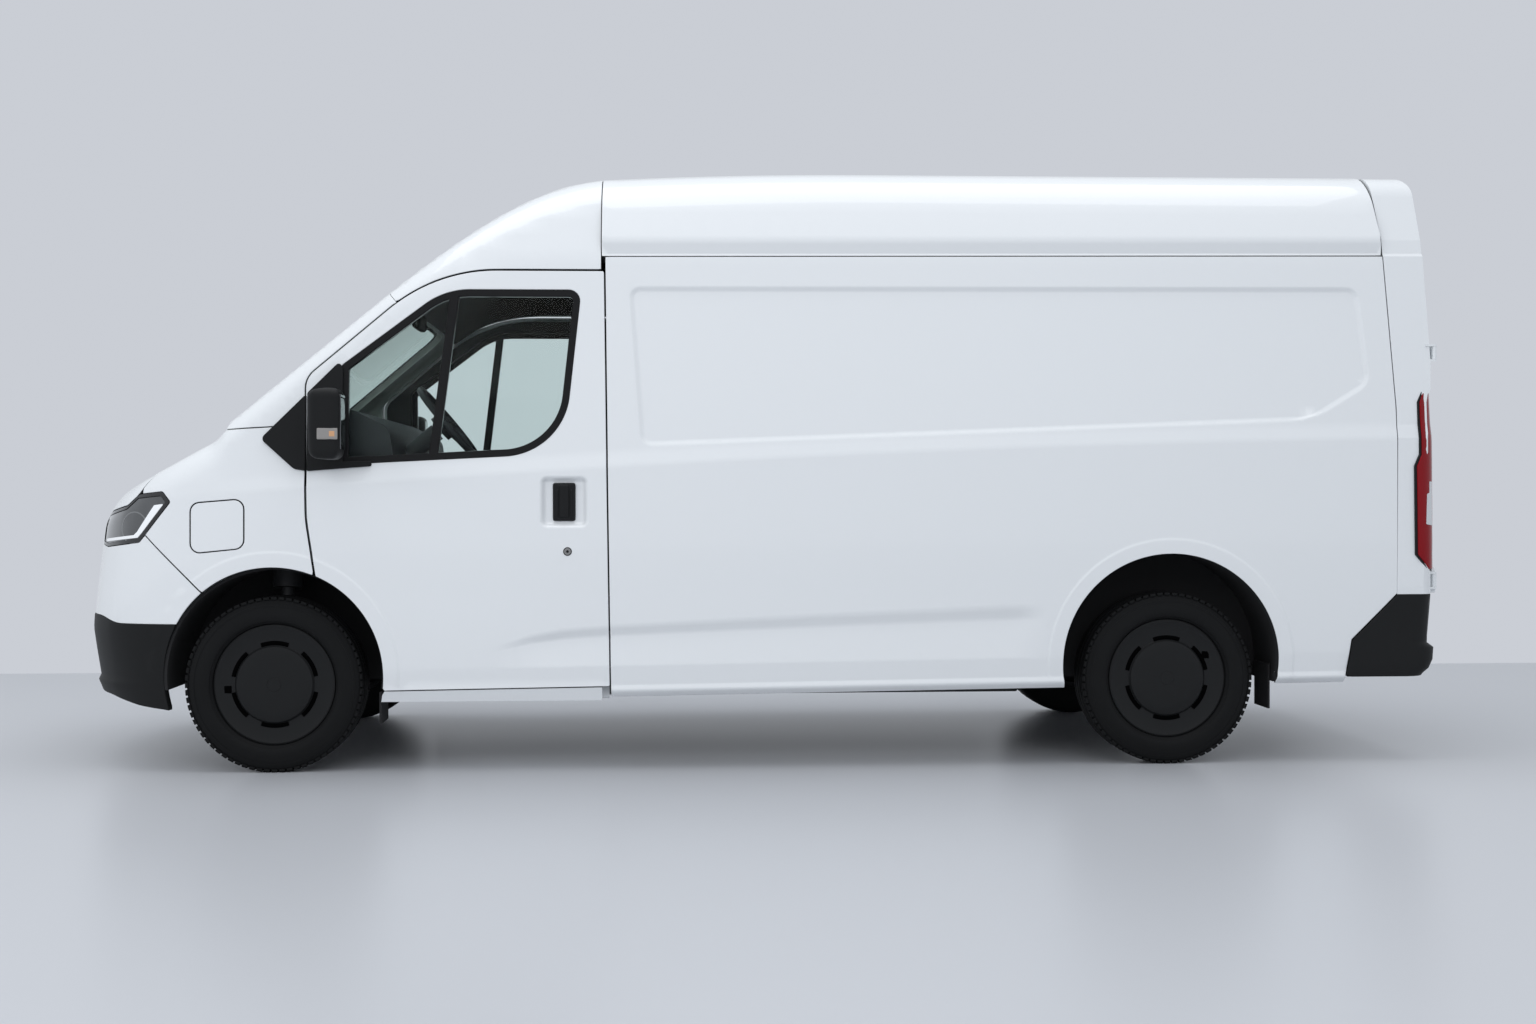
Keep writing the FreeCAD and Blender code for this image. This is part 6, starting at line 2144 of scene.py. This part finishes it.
class MirrorBody(RoundBox):
    """Door mirror's head: a rounded box, slimmer ahead and below."""

    def __init__(self, side: Side) -> None:
        """Places the head on one side."""
        super().__init__((-1.6570, side.value * 1.1725, 1.378), (0.128, 0.144, 0.276), 0.034)

    def distance(self, p: Array) -> Array:
        """Signed distance of each point.

        Args:
            p: points in rows of x, y, z.

        Returns:
            Distances, negative inside.
        """
        q = p - self.centre
        ahead = np.clip(-q[:, 0] / self.half[0], -1, 1)
        low = np.clip(-q[:, 2] / self.half[2], -1, 1)
        slim = 1 - 0.16 * (0.5 + 0.5 * ahead) ** 2
        q = q / columns(1 - 0.06 * np.maximum(low, 0), slim, 1 - 0.05 * np.maximum(ahead, 0))
        return super().distance(q + self.centre)


def blob(name: str, body: RoundBox, finish: Finish, count: int = 14) -> bpy.types.Object:
    """A closed piece found by rays from its centre over a cube's grid.

    Args:
        name: object name.
        body: the shape.
        finish: its finish.
        count: steps across each side of the cube.

    Returns:
        The object.
    """
    even = np.linspace(-1, 1, count + 1)
    ticks = np.sign(even) * (1 - (1 - np.abs(even)) ** 1.7)
    index: dict[tuple, int] = {}
    dots: list[Array] = []
    faces = []
    for axis in range(3):
        for sign in (-1.0, 1.0):
            grid = np.zeros((count + 1, count + 1), int)
            for i, a in enumerate(ticks):
                for j, b in enumerate(ticks):
                    d = np.insert(np.array([a, b]), axis, sign)
                    key = tuple(np.round(d, 6))
                    if key not in index:
                        index[key] = len(dots)
                        dots.append(d)
                    grid[i, j] = index[key]
            for i in range(count):
                for j in range(count):
                    quad = [grid[i, j], grid[i + 1, j], grid[i + 1, j + 1], grid[i, j + 1]]
                    a, b, c = (dots[k] for k in quad[:3])
                    faces.append(quad if np.cross(b - a, c - a) @ (a + c) > 0 else quad[::-1])
    d = np.array(dots) * body.half
    far = float(np.linalg.norm(body.half)) * 1.3
    d /= np.linalg.norm(d, axis=1, keepdims=True)
    p = body.reach(np.tile(body.centre, (len(d), 1)), d, 0.0, far)
    return make_object(name, p, faces, finish, body.normals(p))


def disc(radius: float, height: float) -> list[tuple[float, float]]:
    """Profile of a small round cap that stands out by its height."""
    return [(0.0, -height), (radius * 0.92, -height), (radius, -height * 0.6), (radius, 0.004), (0.0, 0.004)]


@dataclass
class Repeat:
    """Pieces set round a wheel by a node tree: bent dark bars of painted shade in the slots, or tread blocks.
    """

    name: str
    finish: Finish
    count: int
    radius: float
    sweep: float
    size: tuple[float, float]
    depth: float
    first: float = 90.0

    def group(self) -> bpy.types.NodeTree:
        """The node tree: a bent bar, set round a ring, made real and given its finish.

        Returns:
            The tree, built once.
        """
        if "Ring Of Pieces" in bpy.data.node_groups:
            return bpy.data.node_groups["Ring Of Pieces"]
        group = bpy.data.node_groups.new("Ring Of Pieces", "GeometryNodeTree")
        face = group.interface
        face.new_socket(name="Geometry", in_out="INPUT", socket_type="NodeSocketGeometry")
        for name, kind in (("Count", "Int"), ("Radius", "Float"), ("Sweep", "Float"), ("Width", "Float"),
                           ("Height", "Float"), ("First", "Float"), ("Finish", "Material")):
            face.new_socket(name=name, in_out="INPUT", socket_type="NodeSocket" + kind)
        face.new_socket(name="Geometry", in_out="OUTPUT", socket_type="NodeSocketGeometry")
        nodes = Nodes(group)
        start = nodes.add("NodeGroupInput")
        end = nodes.add("NodeGroupOutput")
        arc = nodes.add("GeometryNodeCurveArc", Resolution=9)
        half = nodes.add("ShaderNodeMath", operation="MULTIPLY")
        half.inputs[1].default_value = -0.5
        bar = nodes.add("GeometryNodeCurvePrimitiveQuadrilateral")
        sweep = nodes.add("GeometryNodeCurveToMesh", Fill_Caps=True)
        line = nodes.add("GeometryNodeMeshLine", Offset=(0.0, 0.0, 0.0))
        index = nodes.add("GeometryNodeInputIndex")
        share = nodes.add("ShaderNodeMath", operation="DIVIDE")
        turn = nodes.add("ShaderNodeMath", operation="MULTIPLY_ADD")
        turn.inputs[1].default_value = 2 * math.pi
        spin = nodes.add("ShaderNodeCombineXYZ")
        place = nodes.add("GeometryNodeInstanceOnPoints")
        real = nodes.add("GeometryNodeRealizeInstances")
        paint = nodes.add("GeometryNodeSetMaterial")
        nodes.link((start, "Radius", arc, "Radius"), (start, "Sweep", arc, "Sweep Angle"),
                   (start, "Sweep", half, 0), (half, 0, arc, "Start Angle"),
                   (start, "Width", bar, "Width"), (start, "Height", bar, "Height"),
                   (arc, "Curve", sweep, "Curve"), (bar, "Curve", sweep, "Profile Curve"),
                   (start, "Count", line, "Count"), (index, 0, share, 0), (start, "Count", share, 1),
                   (share, 0, turn, 0), (start, "First", turn, 2), (turn, 0, spin, "Z"),
                   (line, "Mesh", place, "Points"), (sweep, "Mesh", place, "Instance"),
                   (spin, "Vector", place, "Rotation"), (place, "Instances", real, "Geometry"),
                   (real, "Geometry", paint, "Geometry"), (start, "Finish", paint, "Material"),
                   (paint, "Geometry", end, "Geometry"))
        return group

    def build(self, x: float, side: Side) -> bpy.types.Object:
        """The pieces as one mesh at a wheel, finished and closed.

        Args:
            x: axle position.
            side: side of the van.

        Returns:
            The pieces' object.
        """
        seed = make_object(self.name + "_seed", np.zeros((1, 3)), [], self.finish, flat=True)
        group = self.group()
        modifier = seed.modifiers.new("Ring", "NODES")
        modifier.node_group = group
        values = {"Count": self.count, "Radius": self.radius, "Sweep": math.radians(self.sweep),
                  "Width": self.size[0], "Height": self.size[1], "First": math.radians(self.first),
                  "Finish": self.finish.material()}
        for item in group.interface.items_tree:
            if item.in_out == "INPUT" and item.name in values:
                modifier[item.identifier] = values[item.name]
        depsgraph = bpy.context.evaluated_depsgraph_get()
        mesh = bpy.data.meshes.new_from_object(seed.evaluated_get(depsgraph))
        bpy.data.objects.remove(seed)
        for v in mesh.vertices:
            u, w, d = v.co
            v.co = (x + u, side.value * (WHEEL_PLANE_Y - self.depth + d), WHEEL_RADIUS + w)
        made = bpy.data.objects.new(self.name, mesh)
        mesh.name = self.name
        bpy.context.scene.collection.objects.link(made)
        tidy_mesh(made)
        return made


@dataclass
class Wheel:
    """Wheel with its closed cover, and the tyre."""

    x: float
    side: Side
    valve_radius: float = 0.186
    cover: tuple = ((0.0, 0.0155), (0.026, 0.0155), (0.0275, 0.0165), (0.029, 0.0155), (0.060, 0.0158),
                    (0.110, 0.0172), (0.140, 0.0195), (0.150, 0.0225), (0.154, 0.0285), (0.158, 0.0315),
                    (0.170, 0.0315), (0.185, 0.0295), (0.215, 0.0265), (0.226, 0.0225), (0.233, 0.0205),
                    (0.2385, 0.0225), (0.240, 0.0285), (0.232, 0.034), (0.150, 0.040), (0.0, 0.040))
    rim: tuple = ((0.0, 0.094), (0.09, 0.094), (0.134, 0.068), (0.192, 0.108), (0.204, 0.112), (0.218, 0.062),
                  (0.236, 0.030), (0.239, 0.034), (0.2175, 0.066), (0.2175, 0.211), (0.214, 0.217),
                  (0.192, 0.201), (0.192, 0.112), (0.130, 0.080), (0.09, 0.1065), (0.0, 0.1065))
    tyre: tuple = ((0.2183, 0.064), (0.2183, 0.213), (0.240, 0.219), (0.262, 0.2235), (0.280, 0.2248),
                   (0.300, 0.222), (0.320, 0.216), (0.334, 0.209), (0.3425, 0.200), (0.3475, 0.185),
                   (0.3495, 0.170), (0.3498, 0.1605), (0.3420, 0.1600), (0.3420, 0.1500), (0.3500, 0.1495),
                   (0.3500, 0.1185), (0.3420, 0.1180), (0.3420, 0.1070), (0.3500, 0.1065), (0.3500, 0.0755),
                   (0.3420, 0.0750), (0.3420, 0.0650), (0.3498, 0.0645), (0.3495, 0.055), (0.3475, 0.038),
                   (0.3440, 0.0365), (0.3400, 0.0220), (0.328, 0.0130), (0.320, 0.0090), (0.3195, 0.0075),
                   (0.312, 0.0055), (0.3115, 0.0068), (0.290, 0.0015), (0.275, 0.0002), (0.262, 0.0022),
                   (0.2535, 0.0068), (0.2530, 0.0092), (0.2445, 0.0185), (0.243, 0.024))

    def build(self) -> None:
        """Builds cover, rim, the painted shade in its slots and valve hole, and tyre."""
        end, word = "front" if self.x < 0 else "rear", self.side.word
        body = f"{end}_{word}_wheel"
        place = (self.x, self.side.value * WHEEL_PLANE_Y, WHEEL_RADIUS)
        parts = [lathe("cover", self.cover, place, self.side, SATIN_BLACK, 120),
                 lathe("rim", self.rim, place, self.side, CHASSIS),
                 # dark bars of painted shade stand in for the slots' holes
                 Repeat("slots", HOLE_SHADE, 6, 0.1655, 38.0, (0.0155, 0.003), 0.0300).build(self.x, self.side),
                 self.valve_hole_shade()]
        fit(join(f"{end}_wheel_{word}_dressed", parts), body, Slot.COVER_PLASTIC, f"{end}_wheel_{word}")
        rubber = lathe("rubber", self.tyre, place, self.side, RUBBER, 128, 25.0)
        lugs = Repeat("lugs", RUBBER, 72, 0.3430, 3.6, (0.0125, 0.020), 0.0255, 0.0).build(self.x, self.side)
        fit(join(f"{end}_tyre_{word}_dressed", [rubber, lugs]), body, Slot.TYRE_RUBBER, f"{end}_tyre_{word}")

    def valve_hole_shade(self) -> bpy.types.Object:
        """Thin dark piece of painted shade over the valve's hole in the cover, at the turn that the
        photograph shows.

        Returns:
            Its object.
        """
        angle = math.radians(186 if self.x < 0 else 30)
        place = (self.x + self.valve_radius * math.cos(angle), self.side.value * (WHEEL_PLANE_Y - 0.0295),
                 WHEEL_RADIUS + self.valve_radius * math.sin(angle))
        return blob("valve", RoundBox(place, (0.030, 0.003, 0.030), 0.0014), HOLE_SHADE, 6)


@dataclass
class Seat:
    """One padded cushion or back, swollen by cloth simulation and then sewn."""

    name: str
    profile: list
    y: float
    width: float
    channels: tuple
    along: int = 0
    fill: float = 0.75
    voxel: float = 0.014
    travel: float = 0.024
    pressure: float = 4.0
    frames: int = 20

    def block(self) -> bpy.types.Object:
        """Even mesh of the cushion, a little smaller than it ends up.

        Returns:
            Its object.
        """
        line = rounded([(*c, 0.03) for c in self.profile], 0.02)
        line = moved_in(line, 0.012)
        half = self.width / 2 - 0.014
        ends = [columns(line[:, 0], self.y + s * half, line[:, 1]) for s in (-1, 1)]
        n = len(line)
        faces = [list(range(n)), list(range(2 * n - 1, n - 1, -1))]
        faces += [[i, i + n, (i + 1) % n + n, (i + 1) % n] for i in range(n)]
        made = make_object(self.name + "_start", np.concatenate(ends), faces, CLOTH)
        tidy_mesh(made)
        remesh = made.modifiers.new("Voxel", "REMESH")
        remesh.mode = "VOXEL"
        remesh.voxel_size = self.voxel
        return baked(self.name, made)

    def swell(self, pad: bpy.types.Object) -> None:
        """Inflates the pad for twenty frames, its travel capped.

        Args:
            pad: the cushion so far.
        """
        scene = bpy.context.scene
        start = coordinates(pad.data)
        cloth = pad.modifiers.new("Swell", "CLOTH")
        cloth.settings.quality = 4
        cloth.settings.mass = 0.3
        cloth.settings.use_pressure = True
        cloth.settings.uniform_pressure_force = self.pressure
        cloth.settings.effector_weights.gravity = 0.0
        cloth.collision_settings.use_collision = False
        cloth.point_cache.frame_start = 1
        cloth.point_cache.frame_end = self.frames
        for frame_number in range(1, self.frames + 1):
            scene.frame_set(frame_number)
            bpy.context.view_layer.update()
        seen = pad.evaluated_get(bpy.context.evaluated_depsgraph_get())
        moved = coordinates(seen.data) - start
        pad.modifiers.remove(cloth)
        scene.frame_set(1)
        length = np.linalg.norm(moved, axis=1, keepdims=True)
        moved *= np.minimum(1.0, self.travel / np.maximum(length, 1e-9))
        rest = start[:, 2].min()
        points = start + moved
        points[:, 2] = np.maximum(points[:, 2], rest - 0.010)
        pad.data.vertices.foreach_set("co", points.ravel())
        pad.data.update()

    def sew(self, pad: bpy.types.Object) -> None:
        """Sinks the sewn channels into the face.

        Args:
            pad: the cushion so far.
        """
        points = coordinates(pad.data)
        normals = np.empty(len(points) * 3)
        pad.data.vertices.foreach_get("normal", normals)
        normals = normals.reshape(-1, 3)
        for at in self.channels:
            away = (points[:, 1] - self.y - at) / 0.009
            face = smooth((normals[:, 2] - (0.2 if self.along == 0 else -1.0)) / 0.3)
            if self.along:
                face = smooth((-normals[:, 0] - 0.2) / 0.3)
            points = points - normals * (0.009 * np.exp(-away ** 2) * face)[:, None]
        pad.data.vertices.foreach_set("co", points.ravel())
        pad.data.update()

    def build(self, *nodes: str) -> None:
        """Builds, swells, smooths and sews the pad."""
        pad = self.block()
        self.swell(pad)
        pad.modifiers.new("Smooth", "SUBSURF")
        pad.modifiers["Smooth"].levels = pad.modifiers["Smooth"].render_levels = 1
        pad = baked(self.name, pad)
        self.sew(pad)
        fit(pad, "root", Slot.SEAT_CLOTH, *nodes)


def coordinates(mesh: bpy.types.Mesh) -> Array:
    """The mesh's points in rows.

    Args:
        mesh: any mesh.

    Returns:
        The points.
    """
    points = np.empty(len(mesh.vertices) * 3)
    mesh.vertices.foreach_get("co", points)
    return points.reshape(-1, 3)


def baked(name: str, obj: bpy.types.Object) -> bpy.types.Object:
    """A new object with the old one's modifiers applied; the old one goes.

    Args:
        name: name of the new object.
        obj: the old object.

    Returns:
        The new object.
    """
    mesh = bpy.data.meshes.new_from_object(obj.evaluated_get(bpy.context.evaluated_depsgraph_get()))
    bpy.data.objects.remove(obj)
    made = bpy.data.objects.new(name, mesh)
    mesh.name = name
    mesh.polygons.foreach_set("use_smooth", [True] * len(mesh.polygons))
    if not mesh.materials:
        mesh.materials.append(CLOTH.material())
    bpy.context.scene.collection.objects.link(made)
    return made


@dataclass
class Cabin:
    """Seats and the small pieces seen through the glass."""

    cushion: tuple = ((-1.240, 0.901), (-0.800, 0.901), (-0.800, 0.990), (-1.230, 1.020))
    back: tuple = ((-0.790, 0.925), (-0.662, 0.925), (-0.642, 1.550), (-0.735, 1.550), (-0.790, 1.010))
    case_low_z: float = 0.262

    def build(self) -> None:
        """Builds the seats, the battery case and the inner mirror."""
        cushion, back = list(self.cushion), list(self.back)
        Seat("driver_cushion", cushion, -0.430, 0.500, (-0.150, 0.150)).build("seats")
        Seat("driver_back", back, -0.430, 0.480, (-0.145, 0.145), 1).build()
        Seat("bench_cushion", cushion, 0.440, 0.900, (-0.300, 0.0, 0.300)).build()
        Seat("bench_back", back, 0.440, 0.880, (-0.290, 0.0, 0.290), 1).build()
        points = coordinates(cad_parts["battery_pack"].data)
        low, high = points.min(axis=0), points.max(axis=0)
        low[2] = self.case_low_z
        pack = RoundBox(tuple((low + high) / 2), tuple(high - low), 0.012)
        fit(blob("battery_case", pack, CHASSIS, 12), "root", Slot.CHASSIS_BLACK, "battery_pack")
        mirror = RoundBox((-1.462, 0.0, 1.888), (0.040, 0.230, 0.075), 0.018)
        stalk = RoundBox((-1.480, 0.0, 1.918), (0.030, 0.030, 0.050), 0.008)
        fit(join("inner_mirror", [blob("mirror", box, HEADLINER, 10) for box in (mirror, stalk)]), "root",
            Slot.BLACK_PLASTIC)


# Plain finishes on frame nodes

NODE_FINISH: dict[str, Finish] = {
    "floor": FLOOR_PAINT, "bulkhead": FLOOR_PAINT, "arch_liners": LINER, "chassis_rails": CHASSIS,
    "battery_pack": CHASSIS, "drive_unit": CAST, "front_suspension": CHASSIS, "knuckle_left": CAST,
    "knuckle_right": CAST, "rear_axle": CHASSIS, "dashboard": DASH, "steering_wheel": DASH, "seats": CLOTH,
    "seat_bases": CHASSIS, "scuttle": BLACK_PLASTIC, "rear_bumper": BLACK_PLASTIC,
    "mirror_left": BLACK_PLASTIC, "mirror_right": BLACK_PLASTIC,
}


def dress_nodes() -> None:
    """Gives every frame node its plain finish; white paint where none is named."""
    for name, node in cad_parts.items():
        node.data.materials.clear()
        node.data.materials.append(NODE_FINISH.get(name, PAINT).material())


@dataclass
class Studio:
    """Camera, light and ground of the photograph."""

    lens: float = 41.95
    place: tuple[float, float, float] = (-0.314, -8.172, 1.08)
    yaw: float = 3.0
    pitch: float = -0.38
    roll: float = -0.13
    floor_end: float = 3.3

    def build(self) -> None:
        """Builds camera, ground, lamps and world."""
        data = bpy.data.cameras.new("Camera")
        data.lens = self.lens
        data.sensor_width = 36.0
        data.clip_end = 200.0
        camera = bpy.data.objects.new("Camera", data)
        camera.location = self.place
        turn = Euler((math.radians(90 + self.pitch), 0.0, math.radians(-self.yaw)), "XYZ").to_matrix()
        roll = Euler((0.0, 0.0, math.radians(self.roll)), "XYZ").to_matrix()
        camera.rotation_euler = (turn @ roll).to_euler()
        bpy.context.scene.collection.objects.link(camera)
        bpy.context.scene.camera = camera
        self.build_ground()
        self.build_light()

    def build_ground(self) -> None:
        """Glossy studio ground."""
        size = 60.0
        end = self.floor_end
        verts = np.array([(-size, -size, 0), (size, -size, 0), (size, end, 0), (-size, end, 0)])
        ground = make_object("ground", verts, [[0, 1, 2, 3]],
                             Finish("Studio ground", (0.52, 0.535, 0.565), roughness=0.32), flat=True)

    def build_light(self) -> None:
        """Soft overhead light and an even world."""
        scene = bpy.context.scene
        world = bpy.data.worlds.new("Studio")
        scene.world = world
        world.use_nodes = True
        nodes = Nodes(world.node_tree)
        world.node_tree.nodes.clear()
        out = nodes.add("ShaderNodeOutputWorld")
        plain = nodes.add("ShaderNodeBackground", Strength=0.75)
        plain.inputs["Color"].default_value = (0.86, 0.90, 0.96, 1.0)
        seen = nodes.add("ShaderNodeBackground", Strength=1.0)
        seen.inputs["Color"].default_value = (0.59, 0.615, 0.665, 1.0)
        path = nodes.add("ShaderNodeLightPath")
        most = nodes.add("ShaderNodeMath", operation="MAXIMUM")
        mix = nodes.add("ShaderNodeMixShader")
        nodes.link((path, "Is Camera Ray", most, 0), (path, "Is Transmission Ray", most, 1),
                   (most, 0, mix, "Fac"), (plain, 0, mix, 1), (seen, 0, mix, 2), (mix, 0, out, "Surface"))
        self.area("Overhead", (0.0, -1.5, 7.5), (0.0, 0.0, 0.0), 9.0, 5.0, 200.0)
        self.area("Front fill", (-1.0, -9.0, 4.5), (math.radians(62), 0.0, 0.0), 9.0, 3.0, 170.0)
        self.area("Nose fill", (-8.5, -5.5, 3.6), (math.radians(66), 0.0, math.radians(-57)), 5.0, 3.0, 120.0)
        scene.view_settings.view_transform = "Standard"
        scene.view_settings.look = "None"
        scene.view_settings.exposure = 0.0

    def area(self, name: str, place: tuple, turn: tuple, width: float, depth: float, power: float) -> None:
        """One rectangular lamp.

        Args:
            name: the lamp's name.
            place: where it hangs.
            turn: its rotation.
            width: its width.
            depth: its depth.
            power: its power in watts.
        """
        data = bpy.data.lights.new(name, "AREA")
        data.shape = "RECTANGLE"
        data.size = width
        data.size_y = depth
        data.energy = power
        lamp = bpy.data.objects.new(name, data)
        lamp.location = place
        lamp.rotation_euler = turn
        lamp.visible_glossy = name == "Overhead"
        bpy.context.scene.collection.objects.link(lamp)


def main() -> None:
    """Builds the van's looks, piece by piece."""
    logging.basicConfig(level=logging.INFO, format="%(message)s")
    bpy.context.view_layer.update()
    dress_nodes()
    parts = [SideWalls(), Roof(), Screen(), FrontEnd(), *(FrontDoor(side) for side in Side), Tail(), Cabin()]
    parts += [Wheel(x, side) for x in (FRONT_AXLE_X, REAR_AXLE_X) for side in Side]
    for part in parts:
        part.build()
        log.info("built %s", type(part).__name__)
    Studio().build()


if __name__ == "__main__":
    main()
